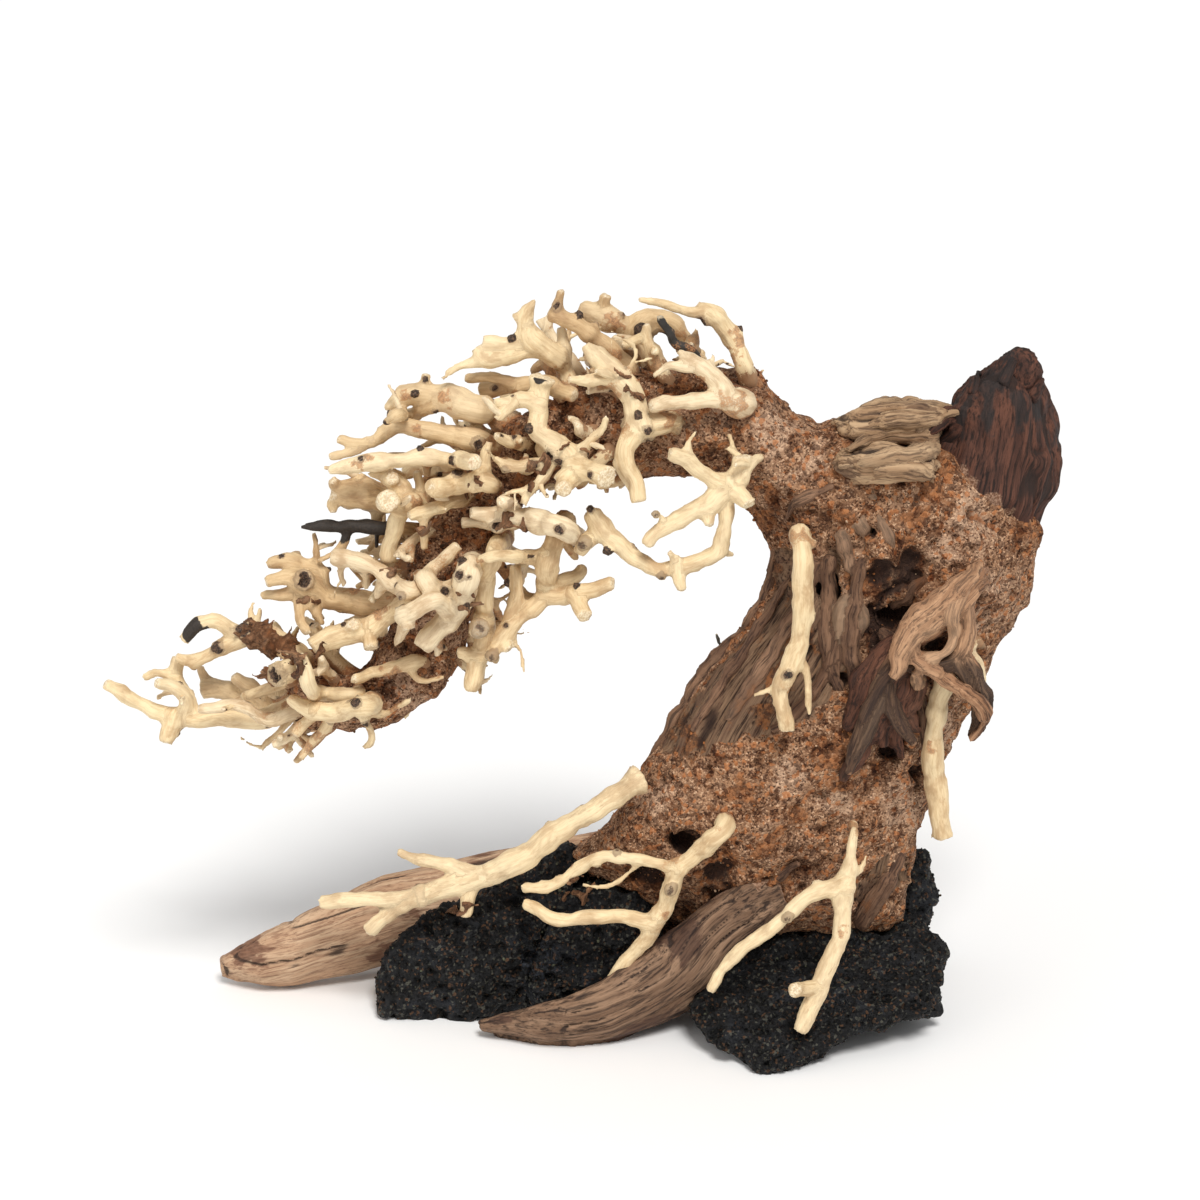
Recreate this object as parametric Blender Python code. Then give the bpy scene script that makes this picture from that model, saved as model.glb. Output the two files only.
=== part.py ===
"""Bonsai driftwood for an aquarium: a leaning trunk and an arched limb coated with grainy mortar, pale
forked twigs glued round the limb, wood and lava rock at the foot. Metres, +Z up, front towards -Y.

Places are written as (u, v) in millimetres in a front view whose eye stands 18 degrees above level, u to
the right and v up, and a third number y is the depth away from the viewer."""
import math
import random

import bmesh
import bpy
import numpy as np
from mathutils import Matrix, Vector, noise
from mathutils.bvhtree import BVHTree

# Driving sizes, in millimetres unless said otherwise
MM = 0.001
SIGHT_ANGLE = math.radians(18.0)
SIGHT_RANGE = 1200.0
AIM_V = 168.0
AIM_Z = 155.8
ORIGIN = Vector((-7.3, 2.9, 0.0))
GAP = 0.3
JOIN_TRIES = 6
# Ways to cut one piece clear of another, tried in turn: growth of the gap, solver, tangled cutter allowed
CUT_TRIES = ((1.0, "EXACT", False), (1.0, "MANIFOLD", False), (1.0, "EXACT", True), (1.5, "EXACT", False),
             (1.5, "MANIFOLD", False), (2.2, "EXACT", True), (3.0, "MANIFOLD", False))
TRUNK_LIFT = 2.0
TUBE_SIDES = 5
THICKEN = 1.16
MOST_BEND = 17.0
TRUNK_SIDES = 26
SMALL_SIDES = 12
SEED = 11

SIN_E = math.sin(SIGHT_ANGLE)
COS_E = math.cos(SIGHT_ANGLE)
EYE = Vector((0.0, -SIGHT_RANGE * COS_E, AIM_Z + SIGHT_RANGE * SIN_E))

# Colours as linear red, green, blue
MORTAR = (0.235, 0.135, 0.095)
STUMP = (0.075, 0.03, 0.024)
SLAB = (0.25, 0.2, 0.13)
BROWN_WOOD = (0.25, 0.13, 0.08)
GREY_WOOD = (0.2, 0.135, 0.09)
FOOT_WOOD = (0.36, 0.22, 0.14)
LAVA = (0.012, 0.012, 0.014)
CREAM = (0.76, 0.6, 0.36)
PALE = (0.84, 0.72, 0.5)
TAN = (0.48, 0.32, 0.17)
BLACK = (0.02, 0.02, 0.02)
TWIG_ROUGHNESS = 0.6

# Trunk and limb: left or lower edge, right or upper edge, depth of the middle, half thickness
TRUNK_RIBS = [
    (6, 44, 90, 31, 26, 20), (-2, 56, 98, 40, 24, 24), (-7, 68, 102, 49, 19, 29), (-8, 79, 103, 58, 11, 36),
    (2, 89, 106, 70, 8, 39), (14, 101.5, 110, 87.5, 8, 39),
    (23, 122.5, 119, 110, 7, 37), (35, 140, 131, 136.5, 6, 36), (51, 159, 142, 156, 5, 35),
    (62, 171.5, 149, 171.5, 4, 35), (61, 185.5, 150.5, 189, 3, 34), (60, 188, 141, 205, 2, 32),
    (59, 190, 123, 217, 2, 30), (58.5, 191.5, 103, 225, 2, 28), (57, 193, 84, 228, 1, 25),
    (48, 206, 67, 233, 0, 21), (36, 213, 54, 247, 0, 19), (17.5, 212, 33, 249, 0, 18.5),
    (0, 213.5, -3.5, 245, -1, 17), (-19, 210, -27, 231, -1, 15), (-35, 190, -51, 210, -2, 15),
    (-44, 171.5, -66, 188, -3, 15), (-47, 161, -74, 156, -4, 15), (-54, 140, -81, 144, -6, 14.5),
    (-70, 127, -91, 141, -8, 13), (-90, 123, -101, 147, -9, 12), (-103, 123, -109, 146, -10, 9),
]
# Hollows in the trunk: middle, half sizes in the view, half depth
HOLLOWS = [(106.8, 162.8, 8.0, 8.6, 11.0), (92.0, 192.5, 2.8, 9.5, 7.0), (79.0, 171.0, 2.6, 15.0, 7.0),
           (104.0, 117.0, 2.8, 5.0, 6.0), (28.0, 82.6, 7.0, 3.0, 9.0)]

# Pieces lofted like the trunk: name, colour, roughness, ribs, squareness, lumpiness
LOFTS = [
    ("front_leg", GREY_WOOD, 0.8, [
        (-43, 20.6, -41.5, 17, -26, 2.6), (-36, 23, -34, 15.3, -27, 5.5), (-25, 26, -22, 13.2, -30, 8),
        (-12, 29, -9, 12, -32, 10), (0, 34.5, 5, 14.3, -29, 11), (12, 43, 18, 18, -24, 12),
        (24, 53, 30, 23.5, -20, 12), (36, 62, 42, 35, -20, 12), (50, 71, 53, 47, -20, 12),
        (62, 77, 66, 58, -16, 9)], 2.4, 0.07),
    ("left_foot", FOOT_WOOD, 0.75, [
        (-133, 43.5, -132.5, 36, 19, 5), (-125.5, 48, -126, 34.6, 17, 7), (-117, 52.5, -118, 33.4, 15, 9),
        (-104, 58, -107, 33.6, 16, 11), (-90, 65, -92, 36, 21, 12), (-76, 72, -78, 39, 27, 13),
        (-60, 75, -62, 42, 32, 13), (-40, 79, -42, 45, 32, 13), (-18, 84, -20, 50, 27, 13),
        (4, 88, 4, 56, 20, 12)], 2.3, 0.08),
    ("crown_stump", STUMP, 0.7, [
        (117, 198, 153, 191, 2, 17), (115, 209, 156.5, 202, 2, 20), (119, 221, 160.5, 216, 2, 19),
        (122, 231, 160, 229, 1, 17), (125, 239, 157, 239.5, 0, 15), (129.5, 245.5, 153, 247, -1, 12),
        (136.5, 249.5, 149.5, 250.5, -1, 8)], 2.6, 0.2),
    ("weathered_slab_upper", SLAB, 0.85, [
        (84, 231, 82, 226, -6, 9), (92, 236, 90, 223, -6, 13), (103, 237, 102, 221, -6, 15),
        (112, 236.5, 110, 219, -5, 15), (118.5, 235.8, 115, 222, -4, 13), (123.5, 234.5, 120, 228, -4, 9)],
     3.2, 0.12),
    ("weathered_slab_lower", SLAB, 0.85, [
        (83, 221, 83, 213, -24, 6), (92, 222, 92, 210, -27, 9), (102, 222, 103, 209, -28, 10),
        (110, 221.5, 111, 208.8, -27, 9), (116.5, 217, 115.5, 211, -26, 6)], 3.0, 0.12),
]

# Lava rocks: name, outline in the view, depth of the lowest and the highest point, bulge to front and back
ROCKS = [
    ("lava_rock_right", [
        (32, 22), (38, 16), (42.5, 10.5), (48.5, 8.5), (55, 3.2), (59, 2.8), (67, 5), (75, 8), (81, 11.5),
        (88.5, 15), (98.5, 18.5), (118, 23.5), (120.5, 31), (122, 46), (118, 50.5), (103, 55), (84, 60),
        (64, 58), (46, 49), (36, 36)], -54, 14, 14, 34),
    ("lava_rock_back", [
        (90, 34), (102, 32), (112, 34), (117, 44), (116, 54), (118.5, 64), (115, 72), (113.5, 79.5),
        (108, 82), (99, 79), (91, 66), (87, 48)], 34, 46, 13, 15),
    ("lava_rock_middle", [
        (-25, 30), (-14, 21), (2, 20), (14, 24), (19, 40), (21, 58), (14, 68), (0, 71), (-14, 66),
        (-23, 54), (-27, 42)], -11, 4, 9, 24),
    ("lava_rock_left", [
        (-78, 32), (-75, 23), (-64, 22), (-50, 21), (-38, 22), (-26, 26), (-14, 40), (-6, 60), (-3, 76),
        (-10, 83), (-24, 77), (-38, 70), (-52, 61), (-62, 56), (-70, 51.5), (-75.5, 43)], -9, 9, 10, 26),
]

# Driftwood piece with an eye, and the twigs. Each: name, colour, stoutness by which all radii grow, start
# (u, v, y, r), depths of the main stem's second and last point, its further points (u, v, r), then arms:
# depth at the arm's end and its points, the first of them lying on an earlier stem.
TWIGS = [
    ("twisted_driftwood", BROWN_WOOD, 1.22, (133, 180, -8, 4.5), -24, -37, [
        (126, 169, 6), (117, 160.5, 5.2), (109, 154.5, 4.6), (103.5, 147, 4.4), (98.5, 139, 4.2),
        (94, 127, 4.4), (90, 116, 3.8), (87, 107, 1.8)],
     [(-30, [(126, 169, 5), (128, 157, 4), (125.5, 148.5, 3.8), (117, 144.6, 3.6), (109, 145.5, 3.6),
             (103.5, 147, 3.6)]),
      (-26, [(125.5, 148.5, 3.8), (130.5, 140, 4.2), (133.5, 131, 4), (132.5, 124.5, 3.2),
             (129.5, 119.5, 2)]),
      (-38, [(100.5, 142.5, 3.4), (102, 131.5, 3), (105.5, 124, 2.8), (110.5, 117.5, 1.6)])]),
    ("root_left", CREAM, 1.0, (14, 105, -14, 4.4), -24, -12, [
        (2, 97, 4.6), (-14, 87.5, 4.6), (-34, 74, 4.6), (-46, 69.5, 4.2), (-59, 66, 3.9), (-70, 61, 3.6),
        (-81, 52.5, 3.2)],
     [(-10, [(-62, 65, 3.2), (-78, 63.5, 2.8), (-88, 63, 2.6), (-98.5, 62, 2.3)]),
      (-8, [(-40, 71.5, 3.2), (-53, 75, 2.8), (-63, 77, 2.5), (-71, 80, 2.1)]),
      (-18, [(-44, 69.5, 2.8), (-47.5, 57.5, 2.4)])]),
    ("root_middle", CREAM, 1.0, (45, 93, -20, 3.6), -38, -28, [
        (41.5, 86.5, 3.7), (35, 80, 3.7), (27.5, 74.5, 3.9), (25, 66.5, 3.6), (21, 58, 3.7), (16.5, 50, 3.2),
        (9, 41.5, 3.1), (2.5, 30.5, 3)],
     [(-20, [(27.5, 74.5, 2.8), (15, 77, 2.4), (4, 78.6, 2.3), (-5, 75.8, 2.5), (-15, 69, 2.3),
             (-27, 67.5, 2.2)]),
      (-24, [(15, 76.5, 1.2), (9, 71.5, 1.1), (0.5, 67.8, 1), (-5.8, 68.6, 0.9)]),
      (-22, [(19, 55.5, 3.2), (8, 57.5, 2.9), (-4.5, 57, 2.6), (-15.5, 56, 2.7), (-22, 60.2, 2.3),
             (-27, 61.2, 2)])]),
    ("root_right", CREAM, 1.0, (88.5, 91, -18, 1.8), -36, -58, [
        (88.7, 84, 2), (88, 76.5, 2.6), (85.5, 68.5, 4), (85.3, 58.5, 3.4), (84.5, 50.5, 3.4),
        (80.5, 42, 3.2), (77, 34, 3.5), (73.5, 25.5, 3.1), (70, 16.8, 3)],
     [(-46, [(85, 68, 3.4), (74, 64.5, 2.8), (65.5, 57.5, 2.6), (56, 50.5, 2.5), (46, 42.5, 2.5),
             (38.5, 31, 2.4)]),
      (-60, [(76, 33, 2.8), (68.6, 31.6, 2.6)]),
      (-36, [(87, 71, 1.3), (91, 73, 1.1), (94, 79, 0.8)])]),
    ("trunk_twig", CREAM, 1.0, (70, 192, -26, 3.4), -36, -39, [
        (71, 184, 3.8), (71, 174, 3.9), (71, 160.5, 3.8), (69.5, 152, 3.6), (66, 144, 3.6), (63.5, 136, 3.4),
        (64.5, 128.5, 3.2), (65, 122, 3)],
     [(-40, [(69.5, 150.5, 1.6), (72.5, 142, 1.4), (73, 128, 1.1)]),
      (-38, [(64.5, 139, 1.3), (58, 135.5, 1), (53, 134, 0.6)])]),
    ("right_twig", CREAM, 1.0, (131, 155, -8, 3.6), -16, -22, [
        (126, 149.5, 4), (121.5, 142, 4.2), (118, 129, 4.1), (116.2, 113, 4), (117.6, 98, 4), (119.5, 84.8, 4)],
     [(-14, [(126, 149.5, 3), (131, 146, 2.8), (133.5, 138, 2.6)])]),
    # Roots on the far side
    ("root_far_left", CREAM, 1.0, (30, 112, 38, 4.2), 50, 64, [
        (25, 100, 4.4), (16, 87, 4.2), (8, 75, 3.8), (-3, 65, 3.4), (-13, 58.5, 3)],
     [(60, [(16, 87, 3), (22, 75, 2.7), (22, 64, 2.5), (27, 56, 2.2)]),
      (66, [(-3, 65, 2.4), (-12, 67, 2.1), (-21, 64, 1.8)])]),
    ("root_far_right", CREAM, 1.0, (76, 116, 38, 4), 50, 64, [
        (74, 102, 4.2), (67, 90, 4), (64, 78, 3.7), (57, 67, 3.3), (53, 57, 2.9)],
     [(62, [(67, 90, 2.8), (76, 80, 2.6), (79, 68, 2.4), (76, 59, 2.1)])]),
    # Twigs at the hanging left tip of the limb
    ("twig_tip_fork", CREAM, 1.25, (-104, 133, -10, 2.8), -12, -14, [
        (-112, 128.5, 3), (-120, 126, 3), (-132, 127, 3), (-141, 126.3, 2.8), (-149, 127, 2.7),
        (-154, 128.6, 2.6), (-162, 132, 2.4), (-170, 137.5, 2), (-173, 139.4, 1.7)],
     [(-16, [(-149, 127, 2.6), (-152, 118.5, 2.3)]),
      (-20, [(-146, 126.7, 2.2), (-145, 133.5, 2), (-150, 137.5, 1.9), (-155, 139, 1.7)]),
      (-8, [(-141.5, 126.5, 2.2), (-143.5, 133, 2), (-148, 141, 1.9), (-147.3, 148.6, 2.2)]),
      (-6, [(-148, 140.6, 1.6), (-154, 142, 1.5), (-160, 140.5, 1.2)])]),
    ("twig_tip_broad", TAN, 1.15, (-104, 138, -4, 2.4), 2, 2, [
        (-113, 131, 2.4), (-120, 131.5, 2.8), (-127, 135, 3.4), (-133, 137, 3.8), (-139.5, 136.3, 3.6)],
     [(4, [(-136, 137, 2), (-138.5, 141, 1.7), (-140.2, 145.4, 1.4)]),
      (-4, [(-116, 130.5, 1.8), (-121, 136.5, 2.3), (-128.5, 142, 2.1)]),
      (-6, [(-109, 134, 1.9), (-108.5, 127, 1.8), (-112, 122, 1.5), (-118.5, 115.5, 1)])]),
    ("twig_tip_pale", PALE, 1.25, (-103, 130, -16, 1.8), -22, -24, [
        (-109, 127.5, 1.9), (-116, 126, 1.9), (-124, 130, 1.8), (-130, 131.5, 1.8), (-136, 130.3, 1.7),
        (-141, 129.6, 1.4)], []),
    ("twig_arc", CREAM, 1.15, (-100, 143, -10, 3.2), -14, -10, [
        (-108, 150.5, 3.6), (-114, 154.5, 3.8), (-120, 156, 3.9), (-130, 152, 3), (-137, 148.7, 2.4),
        (-144, 146.3, 2), (-148.5, 148, 1.6)],
     [(-14, [(-123, 155.5, 2.8), (-129.5, 157.5, 2.4), (-134, 161, 2.4), (-140, 159.5, 2.4),
             (-146, 153.5, 2.1)]),
      (-8, [(-121, 157.5, 1.2), (-122.3, 163, 1), (-120.8, 167.5, 0.8)]),
      (-12, [(-120.5, 158, 1.1), (-118.6, 165, 0.9)]),
      (-26, [(-105, 147, 3), (-108.6, 143.4, 3.4), (-113, 141.8, 3.6)])]),
    ("twig_low_fork", CREAM, 1.15, (-79, 133, -14, 3), -27, -30, [
        (-84, 130.4, 3.1), (-92, 129.3, 3), (-102, 130, 2.8), (-109, 134, 2.4)],
     [(-30, [(-99.5, 129.6, 2.4), (-103, 125, 2.2), (-107, 121, 2)]),
      (-26, [(-92, 129.3, 2.2), (-96, 124, 1.9), (-101, 118, 1.6), (-105, 112, 1.3)]),
      (-24, [(-84, 130.4, 1.8), (-82, 125, 1.5), (-79.5, 121, 1.3), (-80.5, 117.6, 1.2), (-83.4, 116.8, 1)]),
      (-28, [(-82, 131, 1.6), (-76, 127.4, 1.4), (-70, 131.4, 1.2), (-66, 133, 1)])]),
    ("twig_low_riser", CREAM, 1.15, (-83, 136, -14, 2.4), -26, -24, [
        (-88, 134.6, 2.5), (-97, 134.8, 2.5), (-102, 139, 2.4), (-104, 145, 2.3), (-106, 149, 2)], []),
    ("twig_limb_strip", CREAM, 1.15, (-60, 147, -16, 2.2), -24, -25, [
        (-66, 146, 2.3), (-74, 144, 2.3), (-80, 142.5, 2.2), (-86, 140.2, 1.8)],
     [(-28, [(-68, 145.4, 1.2), (-63, 139.5, 1.1), (-55, 141, 0.9)])]),
    # Twigs on the left curve of the limb
    ("twig_left_brown", TAN, 1.15, (-64, 166, -8, 3.8), -14, -20, [
        (-76, 166, 4), (-88, 168, 4), (-97, 170, 3.9), (-103, 174, 4), (-110, 175.8, 3), (-117, 174.2, 1.6)],
     [(-22, [(-102, 171, 2.6), (-100, 165.5, 2), (-96.8, 159, 1)]),
      (-14, [(-101, 172, 2.6), (-110, 170, 2.2), (-119, 169.6, 1.6)]),
      (-24, [(-105, 171, 2.2), (-105.5, 165, 1.8), (-102, 156.5, 1.4)]),
      (-12, [(-96, 172, 2.2), (-98, 178, 2.4), (-104, 180.6, 2.8), (-110, 181.8, 2.8), (-116, 180.8, 1.6)]),
      (-12, [(-99.5, 179, 1.4), (-99.3, 186, 1.3), (-99.8, 192, 1.2)])]),
    ("twig_left_sweep", CREAM, 1.15, (-61, 168.5, -4, 3), -17, -24, [
        (-68.4, 167.2, 3.2), (-73.5, 163.6, 3.2), (-80, 159, 3.5), (-87, 156.5, 3.6), (-94.5, 154.8, 3.4),
        (-101, 150.6, 3)],
     [(-28, [(-81, 158.5, 2.6), (-80.4, 150.6, 2.3)])]),
    ("twig_thumb", PALE, 1.05, (-44, 182, -10, 4), -26, -34, [
        (-46.5, 175, 4.6), (-49, 168, 4.6), (-53, 161.5, 4.3), (-58, 156.5, 3.9), (-62.3, 151.4, 3.5)],
     [(-28, [(-48, 172, 3.4), (-56, 171.5, 3.2), (-61, 174.4, 3), (-58, 178.8, 2.7), (-54, 182, 2.3),
             (-49.4, 187.2, 1.7)]),
      (-34, [(-58, 172, 2.4), (-56.5, 168, 2.5), (-53, 165.2, 2.3)]),
      (-30, [(-53, 163, 3), (-60, 167, 3), (-66, 164.4, 3), (-69, 157.6, 2), (-71.5, 151.6, 0.9)])]),
    ("twig_drop", CREAM, 1.08, (-34, 190, -10, 3), -22, -27, [
        (-38, 181.5, 3.2), (-40, 175.5, 3.3), (-40.3, 168, 3.3), (-40, 160.5, 3.2), (-40.8, 153, 3.1),
        (-43, 146, 3), (-44, 140, 2.8), (-44.8, 136, 2.2)],
     [(-32, [(-41, 161, 3), (-42.6, 157.6, 3.1)]),
      (-24, [(-42.4, 148.5, 2.5), (-50.5, 149.6, 2.2)])]),
    ("twig_hang_fork", CREAM, 1.0, (-12, 196, -8, 3.4), -22, -30, [
        (-16.5, 187.5, 3.6), (-18.6, 181.5, 3.8), (-18.6, 174.5, 3.8), (-20.5, 167.6, 3.6), (-27, 162, 3),
        (-32, 157.8, 3.4), (-36, 152.6, 3.1), (-38, 148.4, 2.2)],
     [(-36, [(-19, 184, 2.8), (-25, 183, 2.5), (-32, 183.4, 2.4), (-38, 183.4, 2.3), (-43.6, 181.6, 1)]),
      (-36, [(-37, 183.4, 1.8), (-39, 187, 1.2)]),
      (-34, [(-19.5, 169.6, 3), (-12, 170, 3.3), (-6, 171.2, 2.9), (0, 172.6, 2.8), (4.6, 173.8, 2.6)]),
      (-38, [(-9, 170.2, 3), (-7, 165.4, 2.9), (-5, 162, 2.7)]),
      (-24, [(-33.6, 156.2, 2.4), (-31.4, 163, 2.5), (-29.4, 170.5, 2.6), (-29.6, 180, 2.5)]),
      (-34, [(-29, 160, 0.9), (-29.3, 153, 0.9), (-27.4, 148.6, 0.8), (-26.8, 142.4, 0.7)]),
      (-16, [(-17, 173, 3), (-10, 175.4, 2.6), (-5.5, 179, 2.4)])]),
    ("twig_thin_fork", CREAM, 1.0, (-42, 207, -10, 2.8), -25, -31, [
        (-49.5, 203, 2.8), (-55.5, 201, 2.9), (-62, 198.4, 2.8), (-67, 197, 2.2)],
     [(-28, [(-61.4, 197.5, 1.8), (-61.6, 191, 1.5), (-61.8, 185.4, 1.3)]),
      (-36, [(-57, 200.4, 1.4), (-53.4, 199.6, 1)])]),
    ("twig_long_grey", PALE, 1.1, (-8, 190, -8, 3.2), -23, -26, [
        (-15, 193.6, 3.6), (-23, 196, 3.9), (-31, 196.6, 3.7), (-38, 198.2, 3.1), (-45.2, 198.6, 2.9)],
     [(-32, [(-27, 198.4, 1.8), (-31, 202, 2.1), (-35.4, 203, 1.8)]),
      (-22, [(-34.6, 196, 2.6), (-36.6, 193.2, 2.8)]),
      (-20, [(-36, 194.4, 2), (-41, 194.6, 1.9), (-48.4, 195.3, 1.8)])]),
    ("twig_blunt", CREAM, 1.0, (-36, 207, -10, 3), -25, -36, [
        (-43, 209.4, 3.8), (-50.5, 208.6, 3.8), (-56, 207.4, 3.9), (-59, 207, 3.3)],
     [(-22, [(-43.5, 209.6, 3), (-40.4, 214.5, 3), (-39.8, 219, 2.4), (-38.4, 223.6, 1.6)])]),
    ("twig_long_top", CREAM, 1.0, (-47, 208, -6, 2.6), -22, -30, [
        (-50.5, 214.6, 3), (-57, 217.3, 3.2), (-65, 217.4, 3.2), (-74, 216.6, 3.1), (-82, 215.8, 3.1),
        (-89, 214.4, 3), (-95, 212.8, 1.8)],
     [(-28, [(-53, 216.6, 3), (-48, 217, 3.1), (-44, 215.8, 3)])]),
    ("twig_flat_tan", TAN, 1.1, (-58, 202, -6, 3.4), -12, -14, [
        (-67, 203.6, 4), (-76, 204, 4.6), (-84.5, 205, 5), (-91.5, 206, 4)],
     [(-18, [(-91, 206, 2), (-94, 209.8, 2)]), (-18, [(-91, 206, 2), (-93.4, 202, 2), (-93, 198.2, 1.7)]),
      (-12, [(-84, 206, 2.4), (-84.6, 212.6, 2)]), (-10, [(-77.6, 203, 2.2), (-77.8, 194, 1.8),
             (-78, 186, 0.8)])]),
    ("twig_knuckle", CREAM, 1.15, (-61, 198, -12, 2.8), -22, -25, [
        (-68, 202.4, 3.3), (-70.4, 198, 2.9), (-72.2, 191.5, 2.8), (-73.8, 186, 2.7), (-74.4, 181.4, 2.4)],
     [(-31, [(-69, 200.6, 3), (-74.4, 202.4, 3.2)]),
      (-24, [(-67.4, 202.4, 2.4), (-69.8, 207, 2.8), (-73, 210.4, 2.7), (-77, 212, 1.9), (-81.4, 213, 0.8)]),
      (-17, [(-64.6, 200.6, 1.8), (-62.8, 207, 1.8), (-64, 213, 1.7)])]),
    ("twig_bark_spike", TAN, 1.0, (-56, 191, -6, 2.6), -12, -14, [
        (-66, 193, 2.7), (-76, 193.4, 2.8), (-84, 193.6, 2.8), (-92, 193.6, 2.6), (-100, 194, 2.1),
        (-105, 193.8, 0.6)],
     [(-16, [(-87, 192.8, 1.9), (-91, 186.6, 1.5), (-98.4, 181.9, 1)])]),
    ("twig_pale_bow", PALE, 1.1, (-61.5, 177.5, -10, 2.8), -29, -22, [
        (-67.6, 170.4, 2.9), (-71.6, 174, 2.9), (-76.4, 177.4, 2.9), (-82, 180.2, 2.9), (-88.6, 182.3, 2.9),
        (-94.2, 183, 2.5)],
     [(-26, [(-74, 175.6, 2), (-76.8, 171.8, 1.7), (-78.3, 168.4, 1)]),
      (-16, [(-83, 180, 1.8), (-81.8, 172.4, 1.6)]),
      (-16, [(-88.6, 181.4, 1.4), (-91, 177, 1.3), (-89.6, 173.4, 1.1)])]),
    # Twigs on the crest of the limb
    ("twig_low_bough", TAN, 1.0, (-33, 219, -6, 3.6), -13, -14, [
        (-43, 224.6, 3.8), (-50, 225, 4.1), (-56.5, 226.6, 3.8), (-64, 228, 3), (-71, 228.8, 3),
        (-76, 226.4, 2.8), (-80.5, 223.4, 2.4), (-86.6, 223.4, 2), (-92.3, 224.6, 1.7)],
     [(-16, [(-80, 223.6, 2.2), (-87, 219.8, 1.9), (-95, 217.8, 1.5)])]),
    ("twig_high_bough", TAN, 1.05, (-27, 226, -4, 4.4), -8, -10, [
        (-37, 232.4, 4.8), (-44.5, 235.6, 5), (-51.5, 237.8, 5.1), (-58, 239.4, 4.2), (-64.5, 239.6, 3.7),
        (-69.6, 239.2, 3.2), (-72.4, 236.6, 2), (-75, 234.5, 0.8)],
     [(-16, [(-55, 237, 3.2), (-60.5, 235.4, 2.9), (-66.5, 232.7, 2.6), (-71.5, 232.4, 1.9),
             (-75.3, 230, 1)]),
      (-8, [(-60.6, 240, 1.9), (-61.2, 247.2, 1.7)])]),
    ("twig_front_fork", CREAM, 1.05, (-18, 217, -10, 3.4), -26, -36, [
        (-16.5, 222.8, 3.9), (-10.5, 219.4, 4), (-8.2, 214.2, 3.9), (-13, 207.6, 3.3)],
     [(-18, [(-14, 221.8, 3.6), (-22.2, 227.4, 3.9), (-21.4, 233.6, 3.3), (-20.8, 240, 3.2), (-20.6, 243.5, 3.6),
             (-20.4, 246.6, 4.4)]),
      (-26, [(-21.6, 235.6, 2.8), (-27, 238, 2.7), (-31.6, 237.2, 2.4), (-37.6, 236.8, 1.6)]),
      (-28, [(-30, 237.4, 2), (-33.4, 234.4, 1.9), (-36, 230.4, 1.6)]),
      (-30, [(-11, 219.4, 2.8), (-17.4, 217, 2.4), (-24, 215.3, 2.2), (-30, 214.2, 1.9), (-38.2, 218, 0.9)]),
      (-32, [(-16.6, 217.2, 2.2), (-20, 210.4, 2), (-24.4, 206.4, 1.8), (-27, 201.6, 1.4)]),
      (-32, [(-23, 207.6, 1.6), (-33.2, 205.4, 0.9)]),
      (-44, [(-8.6, 214.6, 3.4), (-3.4, 212.8, 3.8), (2.2, 211, 3.9)]),
      (-34, [(-9, 219, 2), (-3, 224.6, 1.7), (1.2, 229.2, 1.6), (2.2, 232.6, 1)])]),
    ("twig_crest_fork", CREAM, 1.05, (28, 231, -10, 3.8), -26, -36, [
        (20.5, 229.6, 4), (14, 228.6, 4.3), (10.4, 223.4, 3.8), (8.8, 218.6, 3.5), (10, 214.2, 3),
        (12.9, 208.2, 2.7), (13.9, 202.2, 2.3)],
     [(-18, [(13.4, 229.4, 4), (12.8, 235, 4), (12, 239, 4.2), (8.6, 243.8, 4.4), (4.2, 248, 4.1),
             (-0.4, 252.6, 3.4), (-4.8, 257.2, 1.8)]),
      (-30, [(7, 245.2, 3), (-1, 245.4, 2.6), (-6.2, 244.8, 1.9), (-10.8, 245.6, 1.4)]),
      (-32, [(8.8, 219.6, 2), (5.8, 216, 1.7), (8.6, 211.6, 1.6), (12.4, 205, 1.3)]),
      (-14, [(-1, 253.2, 1.2), (-7.8, 252.2, 0.6)]),
      (-24, [(8, 244.4, 1.2), (10.6, 250.2, 1.1), (12, 253.6, 1), (11.2, 257, 1), (8.6, 258.8, 0.9),
             (4.6, 258.7, 0.8)])]),
    ("twig_crown_mass", TAN, 1.0, (22, 244, 4, 4), 2, 4, [
        (18.4, 253, 4.2), (13.4, 259.6, 4.4), (8, 264.4, 4.4), (0.4, 267.6, 4.2), (-7.4, 270, 3)],
     [(2, [(1.2, 268, 2.4), (2.6, 275, 1.8)]),
      (10, [(11, 262, 3.6), (17.6, 266.4, 3.8), (24.5, 264.6, 3.4), (29.6, 259.4, 3), (34.4, 254.4, 2)])]),
    ("twig_crown_left", TAN, 1.0, (12, 241, -2, 3), -7, -8, [
        (8.4, 251.4, 3.2), (5.2, 254.6, 3.3), (0, 258.4, 3.3), (-5, 262.2, 3.2), (-11.6, 266.2, 3.1),
        (-18.4, 268, 2.2)],
     [(-10, [(-14, 267, 2.2), (-14.6, 271.6, 1.9), (-13.4, 276.4, 1.6)])]),
    ("twig_black", BLACK, 1.0, (35, 250, -8, 1.6), -14, -16, [
        (31.4, 256, 1.7), (26.4, 257.8, 1.9), (23.4, 263, 1.7), (20.8, 268, 1.5)], []),
    ("twig_crest_high", CREAM, 1.0, (53, 242, -2, 3.6), -6, -6, [
        (50, 250.6, 3.8), (47.6, 256.6, 3.8), (44.6, 261.8, 3.9), (41, 266.6, 3.7), (37.6, 270, 2.6),
        (33.8, 272.2, 1)],
     [(-10, [(39.4, 268.4, 2.4), (34, 268.8, 2.1), (29, 269.8, 1.8), (22, 271.8, 1.5), (13.4, 272.9, 1.1)])]),
    ("twig_crest_white", PALE, 1.0, (53, 236, -10, 4), -24, -30, [
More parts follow.
